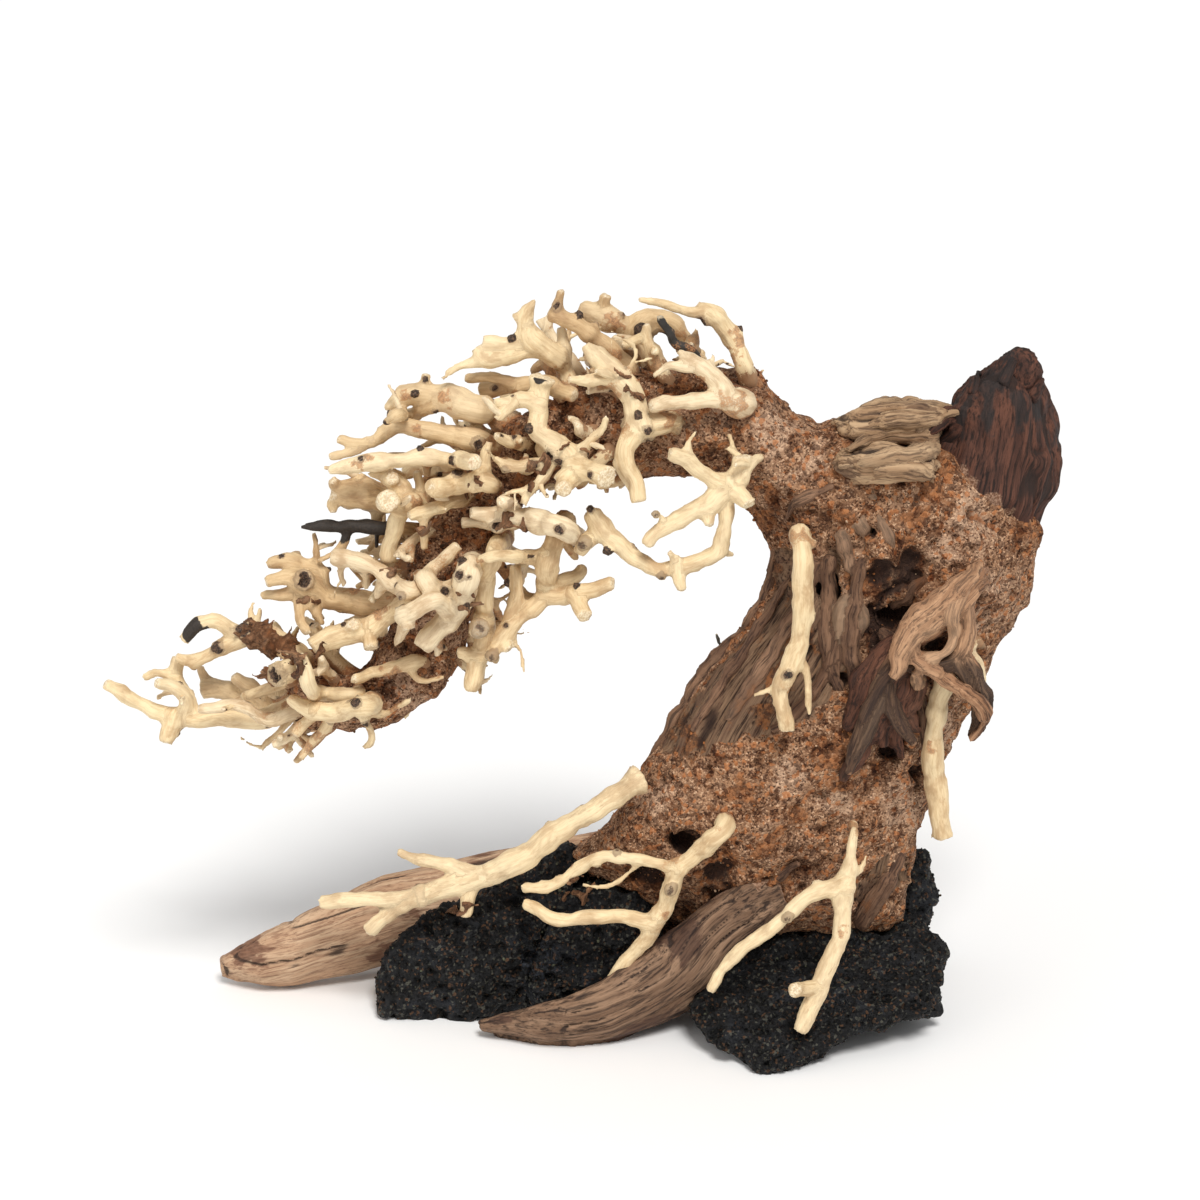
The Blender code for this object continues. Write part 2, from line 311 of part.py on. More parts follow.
        (45.6, 237.2, 4.6), (39.4, 238, 3.2), (31.6, 237.5, 3), (23.4, 237, 2.8), (17.4, 236.3, 2.6)],
     [(-20, [(45, 238.8, 3.8), (40.6, 245.6, 3.4), (35.4, 250.2, 3.2), (30.6, 253.4, 2.4), (27.6, 256, 1.2)]),
      (-22, [(35.6, 250, 2.2), (30.5, 249.6, 2), (24.6, 249.6, 1.7), (18.4, 246.8, 1)]),
      (-20, [(39.4, 246.8, 1.6), (39.8, 254.4, 1)])]),
    ("twig_arch_fork", CREAM, 1.05, (58, 219, -14, 1.8), -30, -36, [
        (52, 215, 2.2), (47, 210, 4), (42.6, 206, 4.4), (37.6, 201, 3.9), (31.8, 198, 3.4), (25, 194.8, 3),
        (18.6, 191, 2.7), (16.4, 187, 2.3)],
     [(-30, [(47.4, 210.4, 3), (49.4, 215, 2.9), (49.6, 218.6, 3)]),
      (-38, [(45, 208, 3.6), (38.8, 210.6, 2.8), (34, 213.8, 2.7), (29.4, 217, 2.6), (24, 219.8, 2.2)]),
      (-36, [(35.6, 212.8, 1.5), (31.4, 218.4, 1.3), (30.6, 223, 1.1), (33.8, 227.2, 0.9)]),
      (-38, [(45.6, 207.6, 3.6), (48.6, 204.4, 3.2), (52.6, 201.6, 2.8)]),
      (-36, [(36, 199.8, 2.8), (37.6, 196.4, 2.4), (38, 193.8, 2)]),
      (-38, [(22.6, 193.4, 1.6), (21.4, 196.4, 1.3), (19.6, 197.8, 1.2)]),
      (-30, [(44, 205.6, 3), (44.2, 197.6, 2.7), (42.3, 190, 2.8), (41.4, 184.6, 3.4), (34.6, 182.4, 2.9),
             (28.4, 180.2, 2.9), (20, 178.8, 2.6), (12.8, 182.6, 3.1), (7.6, 186.8, 3.4), (2.6, 190.6, 4),
             (-0.6, 195, 4.3), (-3, 199.4, 3.4)]),
      (-26, [(42, 185, 2.2), (46.6, 183.8, 1)]), (-34, [(26.4, 179.6, 1.8), (24.2, 185.4, 1)]),
      (-34, [(27.6, 179.8, 2.6), (28, 175.4, 2.3), (29, 170.6, 1.7)]),
      (-30, [(0.8, 192.6, 2.8), (-4.6, 188.6, 3.2), (-7.4, 184.6, 2.2)])]),
    ("twig_top_fork", CREAM, 1.1, (-9, 240, -4, 3), -9, -12, [
        (-12.6, 249, 3.4), (-16.6, 254, 3.9), (-22, 258, 4), (-25.4, 262.4, 3.6), (-26.2, 266.4, 3.2),
        (-22.8, 273, 0.8)],
     [(-12, [(-26, 265, 2.6), (-31.2, 268.6, 0.8)]),
      (-6, [(-12.4, 248.4, 2.6), (-12.8, 257.4, 2.2), (-14, 264, 1.7)]),
      (-12, [(-22, 258, 3), (-30, 258, 2.8), (-36, 257.8, 2.5), (-41.6, 258.2, 2.1)]),
      (-14, [(-18.4, 255.4, 2.8), (-27, 254.6, 3), (-34, 252.8, 3), (-40.4, 252.6, 3), (-44.4, 256.4, 1.4)]),
      (-16, [(-39, 252.4, 2.4), (-45, 251.2, 2), (-51, 249.2, 1.3), (-56, 245.4, 0.5)])]),
    ("twig_crest_rust", TAN, 1.0, (-12, 239, -10, 2.6), -12, -6, [
        (-17.4, 244, 3), (-25, 243.6, 3), (-33, 242.6, 3), (-42.4, 242, 2.8)],
     [(-4, [(-28, 244, 2.2), (-38, 246.2, 2.2), (-47.6, 245.6, 2.3)]),
      (-18, [(-15.4, 242.4, 2.8), (-8.4, 239.6, 2.8)])]),
]

# Twigs on the far side: root, then where the stem ends, in the view and in depth
FAR_STEMS = [
    (48, 226, 8, 30, 243, 46), (24, 228, 8, 34, 222, 52), (4, 226, 8, -12, 229, 48), (-17, 219, 6, -38, 216, 44),
    (-38, 203, 4, -62, 216, 42), (-50, 186, 4, -72, 174, 44), (-59, 163, 2, -84, 157, 42),
    (-75, 138, 0, -101, 128, 36), (-95, 137, -4, -128, 131, 26),
]
FAR_ARMS = 4


def place(u, v, y):
    """World point in millimetres seen at (u, v) at the depth y."""
    k = v - AIM_V
    c = (y - k * SIN_E) / (COS_E + k * SIN_E / SIGHT_RANGE)
    grow = 1.0 + c / SIGHT_RANGE
    return Vector((u * grow, k * grow * SIN_E + c * COS_E, AIM_Z + k * grow * COS_E - c * SIN_E))


def material_for(name, colour, roughness):
    material = bpy.data.materials.new(name)
    material.use_nodes = True
    shader = material.node_tree.nodes["Principled BSDF"]
    shader.inputs["Base Color"].default_value = (*colour, 1.0)
    shader.inputs["Roughness"].default_value = roughness
    shader.inputs["Metallic"].default_value = 0.0
    return material


def node_from(name, bm, material):
    """Turns a mesh built in millimetres into a named object in metres."""
    bmesh.ops.translate(bm, vec=-ORIGIN, verts=bm.verts)
    bmesh.ops.scale(bm, vec=(MM, MM, MM), verts=bm.verts)
    bmesh.ops.recalc_face_normals(bm, faces=bm.faces)
    mesh = bpy.data.meshes.new(name)
    bm.to_mesh(mesh)
    bm.free()
    obj = bpy.data.objects.new(name, mesh)
    bpy.context.scene.collection.objects.link(obj)
    mesh.materials.append(material)
    return obj


def apply_modifier(obj, modifier):
    bpy.context.view_layer.objects.active = obj
    bpy.ops.object.modifier_apply(modifier=modifier.name)


def is_closed(mesh):
    """True for a mesh with faces whose edges all join just two faces."""
    bm = bmesh.new()
    bm.from_mesh(mesh)
    closed = len(bm.faces) > 3 and all(edge.is_manifold for edge in bm.edges)
    bm.free()
    return closed


def boolean(obj, operation, other, solver="EXACT", tangled=False):
    """One Boolean with an object or a collection, applied at once."""
    step = obj.modifiers.new("step", "BOOLEAN")
    step.operation = operation
    step.solver = solver
    if solver == "EXACT":
        step.use_self = tangled
    if isinstance(other, bpy.types.Collection):
        step.operand_type = "COLLECTION"
        step.collection = other
    else:
        step.object = other
    apply_modifier(obj, step)


def union_all(name, pieces):
    """Joins the pieces into the first of them with one Boolean union on a collection."""
    base = pieces[0]
    base.name = name
    if len(pieces) > 1:
        group = bpy.data.collections.new(name + "_arms")
        bpy.context.scene.collection.children.link(group)
        for piece in pieces[1:]:
            bpy.context.scene.collection.objects.unlink(piece)
            group.objects.link(piece)
        before = base.data.copy()
        for solver in ("EXACT", "MANIFOLD"):
            base.data = before.copy()
            boolean(base, "UNION", group, solver)
            keep_largest(base)
            if is_closed(base.data):
                break
        for piece in pieces[1:]:
            bpy.data.objects.remove(piece)
        bpy.data.collections.remove(group)
    return base


def largest_body(mesh, merge):
    """A mesh of triangles with close points merged and loose scraps dropped."""
    bm = bmesh.new()
    bm.from_mesh(mesh)
    if merge > 0.0:
        bmesh.ops.remove_doubles(bm, verts=bm.verts, dist=merge)
        bmesh.ops.dissolve_degenerate(bm, edges=bm.edges, dist=merge)
    bmesh.ops.triangulate(bm, faces=bm.faces)
    left = set(bm.verts)
    bodies = []
    while left:
        stack = [left.pop()]
        body = set(stack)
        while stack:
            for edge in stack.pop().link_edges:
                for vert in edge.verts:
                    if vert in left:
                        left.discard(vert)
                        body.add(vert)
                        stack.append(vert)
        bodies.append(body)
    bodies.sort(key=len, reverse=True)
    for body in bodies[1:]:
        bmesh.ops.delete(bm, geom=list(body), context="VERTS")
    bmesh.ops.recalc_face_normals(bm, faces=bm.faces)
    result = bpy.data.meshes.new(mesh.name)
    bm.to_mesh(result)
    bm.free()
    result.polygons.foreach_set("material_index", [0] * len(result.polygons))
    result.materials.append(mesh.materials[0])
    return result


def keep_largest(obj):
    """Leaves one tidy body; merges less where merging would tear it."""
    for merge in (0.00004, 0.00001, 0.000001, 0.0):
        result = largest_body(obj.data, merge)
        if is_closed(result):
            break
    obj.data = result


def swollen_copy(obj, gap):
    """A copy grown by the gap, used only to cut its neighbours."""
    copy = obj.copy()
    copy.data = obj.data.copy()
    copy.name = obj.name + "_cutter"
    copy.hide_render = True
    copy.display_type = "WIRE"
    bpy.context.scene.collection.objects.link(copy)
    bm = bmesh.new()
    bm.from_mesh(copy.data)
    for vert in bm.verts:
        vert.co += vert.normal * (gap * MM * min(1.6, vert.calc_shell_factor()))
    bm.to_mesh(copy.data)
    bm.free()
    return copy


def add_ring(bm, points):
    return [bm.verts.new(point) for point in points]


def bridge(bm, ring_a, ring_b):
    count = len(ring_a)
    for index in range(count):
        after = (index + 1) % count
        bm.faces.new((ring_a[index], ring_a[after], ring_b[after], ring_b[index]))


def loft_mesh(ribs, sides, squareness, lumps, seed):
    """Rings spanned between two edges seen in the view, thick along the line of sight."""
    bm = bmesh.new()
    rings = []
    for ua, va, ub, vb, depth, half in ribs:
        left = place(ua, va, depth)
        right = place(ub, vb, depth)
        middle = (left + right) / 2.0
        reach = (right - left) / 2.0
        sight = (middle - EYE).normalized()
        points = []
        for index in range(sides):
            angle = 2.0 * math.pi * index / sides
            c, s = math.cos(angle), math.sin(angle)
            swell = (abs(c) ** squareness + abs(s) ** squareness) ** (-1.0 / squareness)
            offset = (reach * c + sight * (half * s)) * swell
            bump = noise.noise((middle + offset) * 0.045 + Vector((seed, seed, seed)))
            side_weight = 0.35 + 0.65 * abs(s)
            points.append(middle + offset * (1.0 + lumps * bump * side_weight))
        rings.append(add_ring(bm, points))
    for ring_a, ring_b in zip(rings, rings[1:]):
        bridge(bm, ring_a, ring_b)
    bm.faces.new(rings[0])
    bm.faces.new(rings[-1])
    return bm


def rock_mesh(outline, low_y, high_y, front, back, seed):
    """A rock whose outline in the view is given, bulging to the viewer and away, flat on the ground."""
    low = min(v for u, v in outline)
    high = max(v for u, v in outline)
    rim = [place(u, v, low_y + (high_y - low_y) * (v - low) / (high - low)) for u, v in outline]
    middle = sum(rim, Vector()) / len(rim)
    sight = (middle - EYE).normalized()
    bm = bmesh.new()
    rings = []
    for step in (-0.95, -0.7, -0.3, 0.0, 0.35, 0.75, 0.97):
        shrink = (1.0 - abs(step) ** 2.6) ** (1.0 / 2.6)
        push = sight * (step * (front if step < 0 else back))
        points = []
        for point in rim:
            spot = middle + (point - middle) * shrink + push
            bump = noise.noise(spot * 0.07 + Vector((seed, 0.0, 0.0)))
            amount = 0.0 if step == 0.0 else 0.12
            points.append(spot + (spot - middle) * amount * bump)
        rings.append(add_ring(bm, points))
    for ring_a, ring_b in zip(rings, rings[1:]):
        bridge(bm, ring_a, ring_b)
    bm.faces.new(rings[0])
    bm.faces.new(rings[-1])
    return bm


def flatten_at_ground(bm, ground):
    geometry = list(bm.verts) + list(bm.edges) + list(bm.faces)
    cut = bmesh.ops.bisect_plane(bm, geom=geometry, plane_co=(0.0, 0.0, ground), plane_no=(0.0, 0.0, -1.0),
                                 clear_outer=True)
    edges = [item for item in cut["geom_cut"] if isinstance(item, bmesh.types.BMEdge)]
    if edges:
        bmesh.ops.holes_fill(bm, edges=edges, sides=0)


def tube_mesh(path, radii, seed):
    """A closed tube through the points of a path, with flat ends."""
    bm = bmesh.new()
    rings = []
    turn = random.Random(seed).uniform(0.0, math.pi)
    side = None
    for index, point in enumerate(path):
        before = path[max(index - 1, 0)]
        after = path[min(index + 1, len(path) - 1)]
        ahead = (after - before).normalized()
        if side is None:
            side = ahead.orthogonal().normalized()
            side.rotate(Matrix.Rotation(turn, 3, ahead))
        side = (side - ahead * side.dot(ahead)).normalized()
        other = ahead.cross(side)
        points = []
        for step in range(TUBE_SIDES):
            angle = 2.0 * math.pi * step / TUBE_SIDES
            points.append(point + (side * math.cos(angle) + other * math.sin(angle)) * radii[index] * THICKEN)
        rings.append(add_ring(bm, points))
    for ring_a, ring_b in zip(rings, rings[1:]):
        bridge(bm, ring_a, ring_b)
    bm.faces.new(rings[0])
    bm.faces.new(rings[-1])
    return bm


def far_entry(number, stem):
    """A twig on the far side: a stem that wanders outward and arms that fork from it."""
    pick = random.Random(SEED * 100 + number)
    u0, v0, y0, u1, v1, y1 = stem
    points = []
    for part in (0.3, 0.65, 1.0):
        drift = 4.0 * math.sin(part * math.pi)
        points.append((u0 + (u1 - u0) * part + pick.uniform(-drift, drift),
                       v0 + (v1 - v0) * part + pick.uniform(-drift, drift), 3.6 - 1.2 * part))
    arms = []
    for index in range(FAR_ARMS):
        part = 0.3 + 0.6 * (index + pick.uniform(0.0, 0.6)) / FAR_ARMS
        along = min(2, int(part * 3.0))
        su, sv, sr = points[max(0, along - 1)]
        eu, ev, er = points[along]
        share = pick.uniform(0.2, 0.8)
        fu, fv = su + (eu - su) * share, sv + (ev - sv) * share
        turn = pick.uniform(-0.9, 0.9) + (math.pi / 2.0 if index % 2 else -math.pi / 2.0)
        length = pick.uniform(9.0, 14.0)
        kink = turn + pick.uniform(-0.7, 0.7)
        mu, mv = fu + length * 0.5 * math.cos(turn), fv + length * 0.5 * math.sin(turn)
        tu, tv = mu + length * 0.6 * math.cos(kink), mv + length * 0.6 * math.sin(kink)
        end_y = y0 + (y1 - y0) * min(1.1, part + pick.uniform(0.15, 0.4))
        arms.append((end_y, [(fu, fv, 2.6), (mu, mv, 2.3), (tu, tv, 1.7)]))
    colour = TAN if number % 2 else CREAM
    start_y = y0 + (y1 - y0) * 0.35
    return (f"twig_far_{number + 1:02d}", colour, 1.0, (u0, v0, y0, 3.6), start_y, y1, points, arms)


def nearest_on(chains, u, v):
    """Chain, index and fraction of the place on the chains that lies nearest to (u, v) in the view."""
    best = None
    for number, chain in enumerate(chains):
        for index in range(len(chain["u"]) - 1):
            u0, v0 = chain["u"][index], chain["v"][index]
            du, dv = chain["u"][index + 1] - u0, chain["v"][index + 1] - v0
            length = du * du + dv * dv
            part = 0.0 if length == 0 else max(0.0, min(1.0, ((u - u0) * du + (v - v0) * dv) / length))
            away = math.hypot(u0 + du * part - u, v0 + dv * part - v)
            if best is None or away < best[0]:
                best = (away, number, index, part)
    return best[1:]


def twig_chains(entry):
    """Stem and arms of one twig as lists of places, depths and radii."""
    name, colour, stoutness, start, second_y, last_y, points, arms = entry
    places = [start[:2]] + [(u, v) for u, v, r in points]
    stem = {"u": [p[0] for p in places], "v": [p[1] for p in places], "link": None, "hold": 1}
    stem["r"] = [start[3] * stoutness] + [r * stoutness for u, v, r in points]
    count = len(points)
    stem["y"] = [start[2]] + [second_y + (last_y - second_y) * i / max(1, count - 1) for i in range(count)]
    chains = [stem]
    for end_y, arm in arms:
        link = nearest_on(chains, arm[0][0], arm[0][1])
        host = chains[link[0]]
        part = link[2]
        u0 = host["u"][link[1]] * (1 - part) + host["u"][link[1] + 1] * part
        v0 = host["v"][link[1]] * (1 - part) + host["v"][link[1] + 1] * part
        y0 = host["y"][link[1]] * (1 - part) + host["y"][link[1] + 1] * part
        count = len(arm) - 1
        chains.append({"u": [u0] + [p[0] for p in arm[1:]], "v": [v0] + [p[1] for p in arm[1:]],
                       "r": [p[2] * stoutness for p in arm], "link": link, "hold": 0,
                       "y": [y0 + (end_y - y0) * i / count for i in range(count + 1)]})
    return chains


def sight_depths(tree, u, v):
    """Depths at which the line of sight through (u, v) enters and leaves the trunk, or None."""
    goal = place(u, v, 0.0)
    ray = (goal - EYE).normalized()
    hit = tree.ray_cast(EYE, ray)[0]
    if hit is None:
        return None
    far = EYE + ray * SIGHT_RANGE * 2.0
    return hit.y, tree.ray_cast(far, -ray)[0].y


def bend_clear(twigs, tree):
    """Moves the twigs along the line of sight until no two of them and the trunk share a place."""
    depth, owner, samples = [], [], []
    for number, chains in enumerate(twigs):
        for chain in chains:
            chain["first"] = len(depth)
            depth.extend(chain["y"])
            owner.extend([number] * len(chain["y"]))
            for index in range(len(chain["u"]) - 1):
                u0, v0, u1, v1 = (chain["u"][index], chain["v"][index], chain["u"][index + 1],
                                  chain["v"][index + 1])
                steps = max(2, int(math.hypot(u1 - u0, v1 - v0) / 1.5))
                for step in range(steps + 1):
                    part = step / steps
                    radius = chain["r"][index] * (1 - part) + chain["r"][index + 1] * part
                    rooted = chain["hold"] and index == 0
                    samples.append((u0 + (u1 - u0) * part, v0 + (v1 - v0) * part, radius * 1.08,
                                    chain["first"] + index, part, number, rooted))
    table = np.array([s[:6] for s in samples])
    su, sv, sr = table[:, 0], table[:, 1], table[:, 2]
    low, part, owner_of = table[:, 3].astype(int), table[:, 4], table[:, 5].astype(int)
    rooted = np.array([s[6] for s in samples], dtype=bool)
    apart = np.hypot(su[:, None] - su[None, :], sv[:, None] - sv[None, :])
    reach = sr[:, None] + sr[None, :] + GAP * 2.2
    near = (apart < reach) & (owner_of[:, None] < owner_of[None, :])
    first, second = np.nonzero(near)
    needed = np.sqrt(reach[first, second] ** 2 - apart[first, second] ** 2) / COS_E
    front_limit = np.full(len(su), 1e6)
    back_limit = np.full(len(su), -1e6)
    depth = np.array(depth)
    for index in range(len(su)):
        if rooted[index]:
            continue
        spans = []
        for du, dv in ((0, 0), (1, 0), (-1, 0), (0, 1), (0, -1)):
            span = sight_depths(tree, su[index] + du * sr[index], sv[index] + dv * sr[index])
            if span:
                spans.append(span)
        if spans:
            front = min(s[0] for s in spans)
            back = max(s[1] for s in spans)
            here = depth[low[index]] * (1 - part[index]) + depth[low[index] + 1] * part[index]
            if here < (front + back) / 2:
                front_limit[index] = front - (sr[index] + GAP) / COS_E
            else:
                back_limit[index] = back + (sr[index] + GAP) / COS_E
    planned = depth.copy()
    fixed = np.zeros(len(depth), dtype=bool)
    for chains in twigs:
        fixed[chains[0]["first"]] = True
    for turn in range(240):
        here = depth[low] * (1 - part) + depth[low + 1] * part
        gap = here[second] - here[first]
        side = np.where(gap >= 0, 1.0, -1.0)
        lack = np.maximum(0.0, needed - np.abs(gap)) * side
        move = np.zeros(len(here))
        most = np.zeros(len(here))
        for index, amount in ((first, -lack / 2), (second, lack / 2)):
            np.add.at(move, index, amount)
            np.add.at(most, index, (np.abs(amount) > 1e-9).astype(float))
        move = move / np.maximum(1.0, most)
        moved = here + move
        move += np.minimum(0.0, front_limit - moved)
        move += np.maximum(0.0, back_limit - moved)
        total = np.zeros(len(depth))
        weight = np.zeros(len(depth))
        active = np.abs(move) > 1e-9
        for index, share in ((low, 1 - part), (low + 1, part)):
            np.add.at(total, index[active], (move * share)[active])
            np.add.at(weight, index[active], share[active])
        change = np.where(weight > 0, total / np.maximum(weight, 0.25), 0.0)
        change[fixed] = 0.0
        depth = np.clip(depth + change * 0.7, planned - MOST_BEND, planned + MOST_BEND)
        for chains in twigs:
            for chain in chains:
                if chain["link"]:
                    number, index, share = chain["link"]
                    start = chains[number]["first"] + index
                    depth[chain["first"]] = depth[start] * (1 - share) + depth[start + 1] * share
        if not np.any(active):
            break
    for chains in twigs:
        for chain in chains:
            chain["y"] = [float(value) for value in depth[chain["first"]:chain["first"] + len(chain["u"])]]


def twig_node(entry, chains, seed):
    name, colour = entry[:2]
    material = material_for(name, colour, TWIG_ROUGHNESS)
    for turn in range(JOIN_TRIES):
        pieces = []
        for number, chain in enumerate(chains):
            path = [place(u, v, y) for u, v, y in zip(chain["u"], chain["v"], chain["y"])]
            radii = list(chain["r"])
            if chain["link"]:
                path[0] = path[0] + (path[0] - path[1]).normalized() * min(0.35 * radii[0], 1.0)
            bm = tube_mesh(path, radii, seed * 31 + number + turn * 1000)
            pieces.append(node_from(f"{name}_{number}", bm, material))
        twig = union_all(name, pieces)
        if is_closed(twig.data) or turn == JOIN_TRIES - 1:
            return twig
        bpy.data.objects.remove(twig)


def trunk_node():
    bm = loft_mesh(TRUNK_RIBS, TRUNK_SIDES, 2.25, 0.10, 3.0)
    flatten_at_ground(bm, ORIGIN.z + TRUNK_LIFT)
    material = material_for("trunk", MORTAR, 0.95)
    trunk = node_from("trunk", bm, material)
    for number, (u, v, half_u, half_v, half_depth) in enumerate(HOLLOWS):
        tree = BVHTree.FromObject(trunk, bpy.context.evaluated_depsgraph_get())
        eye = (EYE - ORIGIN) * MM
        goal = (place(u, v, 0.0) - ORIGIN) * MM
        hit = tree.ray_cast(eye, (goal - eye).normalized())[0]
        cutter_mesh = bmesh.new()
        bmesh.ops.create_icosphere(cutter_mesh, subdivisions=1, radius=1.0)
        bmesh.ops.scale(cutter_mesh, vec=(half_u, half_depth, half_v), verts=cutter_mesh.verts)
        bmesh.ops.rotate(cutter_mesh, matrix=Matrix.Rotation(-SIGHT_ANGLE, 3, "X"), verts=cutter_mesh.verts)
        bmesh.ops.translate(cutter_mesh, vec=hit / MM + ORIGIN, verts=cutter_mesh.verts)
        cutter = node_from(f"hollow_{number}", cutter_mesh, material)
        boolean(trunk, "DIFFERENCE", cutter)
        bpy.data.objects.remove(cutter)
    keep_largest(trunk)
    return trunk


def surfaces_meet(obj, other):
    bpy.context.view_layer.update()
    graph = bpy.context.evaluated_depsgraph_get()
    return bool(BVHTree.FromObject(obj, graph).overlap(BVHTree.FromObject(other, graph)))


def clear_of(obj, earlier, cutters):
    """Cuts the object back from the earlier pieces it would touch, leaving the gap."""
    for other in earlier:
        if other.name not in cutters:
            cutters[other.name] = swollen_copy(other, GAP)
        if not surfaces_meet(obj, cutters[other.name]):
            continue
        before = obj.data.copy()
        for grow, solver, tangled in CUT_TRIES:
            obj.data = before.copy()
            cutter = swollen_copy(other, GAP * grow)
            boolean(obj, "DIFFERENCE", cutter, solver, tangled)
            bpy.data.objects.remove(cutter)
            keep_largest(obj)
            if is_closed(obj.data) and not surfaces_meet(obj, other):
                break


def main():
    for obj in list(bpy.data.objects):
        bpy.data.objects.remove(obj)
    nodes = []
    cutters = {}
    for number, (name, outline, low_y, high_y, front, back) in enumerate(ROCKS):
        bm = rock_mesh(outline, low_y, high_y, front, back, 7.0 * number)
        flatten_at_ground(bm, ORIGIN.z)
        rock = node_from(name, bm, material_for(name, LAVA, 0.9))
        keep_largest(rock)
        clear_of(rock, nodes, cutters)
        nodes.append(rock)
    trunk = trunk_node()
    clear_of(trunk, nodes, cutters)
    nodes.append(trunk)
    for number, (name, colour, roughness, ribs, squareness, lumps) in enumerate(LOFTS):
        bm = loft_mesh(ribs, SMALL_SIDES, squareness, lumps, 20.0 + 5.0 * number)
        flatten_at_ground(bm, ORIGIN.z)
        piece = node_from(name, bm, material_for(name, colour, roughness))
        clear_of(piece, nodes, cutters)
        keep_largest(piece)
        nodes.append(piece)
    tree_mesh = bmesh.new()
    tree_mesh.from_mesh(trunk.data)
    bmesh.ops.scale(tree_mesh, vec=(1 / MM, 1 / MM, 1 / MM), verts=tree_mesh.verts)
    bmesh.ops.translate(tree_mesh, vec=ORIGIN, verts=tree_mesh.verts)
    tree = BVHTree.FromBMesh(tree_mesh)
    tree_mesh.free()
    entries = TWIGS + [far_entry(number, stem) for number, stem in enumerate(FAR_STEMS)]
    twigs = [twig_chains(entry) for entry in entries]
    bend_clear(twigs, tree)
    for number, (entry, chains) in enumerate(zip(entries, twigs)):
        twig = twig_node(entry, chains, SEED + number)
        clear_of(twig, nodes, cutters)
        nodes.append(twig)
    for cutter in cutters.values():
        bpy.data.objects.remove(cutter)


main()
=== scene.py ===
"""Looks of a bonsai driftwood for an aquarium: grainy mortar on the trunk and limb, peeled twigs with knots
and cut ends, split and twisted wood, porous lava rock.

Places are written as (u, v) in millimetres in a front view whose eye stands 18 degrees above level, u to
the right and v up, and a third number y is the depth away from the viewer."""
import math
import random

import bmesh
import bpy
import numpy as np
from mathutils import Matrix, Vector
from mathutils.bvhtree import BVHTree


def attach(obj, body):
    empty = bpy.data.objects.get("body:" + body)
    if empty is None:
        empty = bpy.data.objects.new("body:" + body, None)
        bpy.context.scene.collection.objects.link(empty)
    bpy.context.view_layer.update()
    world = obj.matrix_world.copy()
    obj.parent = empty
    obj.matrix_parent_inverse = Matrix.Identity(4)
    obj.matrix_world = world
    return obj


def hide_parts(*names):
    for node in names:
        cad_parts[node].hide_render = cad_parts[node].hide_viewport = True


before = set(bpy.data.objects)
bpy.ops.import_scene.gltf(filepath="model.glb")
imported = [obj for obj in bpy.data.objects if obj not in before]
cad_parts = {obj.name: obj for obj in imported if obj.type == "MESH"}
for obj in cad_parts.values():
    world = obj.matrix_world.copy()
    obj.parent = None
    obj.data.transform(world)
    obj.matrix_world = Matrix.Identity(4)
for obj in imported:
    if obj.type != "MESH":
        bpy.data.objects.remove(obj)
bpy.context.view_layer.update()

bl_info = {
    "name": "Bonsai Driftwood",
    "version": (1, 0, 0),
    "blender": (4, 5, 0),
    "location": "3D View > Sidebar > Driftwood",
    "description": "Dresses the driftwood's solids with mortar, peeled twigs, split wood and lava rock",
    "category": "Object",
}

# The front view in which places are read, in millimetres
MM = 0.001
SIGHT_ANGLE = math.radians(18.0)
SIGHT_RANGE = 1200.0
AIM_V = 168.0
AIM_Z = 155.8
FIELD_WIDTH = 420.0
ORIGIN = Vector((-7.3, 2.9, 0.0))
SIN_E = math.sin(SIGHT_ANGLE)
COS_E = math.cos(SIGHT_ANGLE)
EYE = Vector((0.0, -SIGHT_RANGE * COS_E, AIM_Z + SIGHT_RANGE * SIN_E))

# Light: where the sun shines to and how wide it is, and the fill light's place from the middle, in metres
SUN_DIRECTION = Vector((-0.22, 0.85, -1.15))
SUN_WIDTH = math.radians(20.0)
FILL_LIGHT_PLACE = Vector((-1.2, -0.9, 0.5))
FILL_LIGHT_WIDTH = 0.9

# How the part keeps its twigs apart: room, sample step and longest move in millimetres, the most rounds of
# moves and the share of each move that is made
GAP = 0.3
GAP_IN_VIEW = GAP * 2.2
RADIUS_WITH_ROOM = 1.08
SAMPLE_STEP = 1.5
MOST_BEND = 17.0
MOST_TURNS = 240
SHARE_OF_MOVE = 0.7
SEED = 11

ROCK_NODES = ("lava_rock_right", "lava_rock_back", "lava_rock_middle", "lava_rock_left")

# Material slots
MORTAR = "mortar_coat"
STUMP = "dark_stump_wood"
SLAB = "weathered_wood"
BROWN_WOOD = "brown_driftwood"
GREY_WOOD = "grey_leg_wood"
FOOT_WOOD = "foot_wood"
LAVA = "lava_rock"
CREAM = "cream_twig"
PALE = "pale_twig"
TAN = "tan_twig"
BLACK = "black_twig"

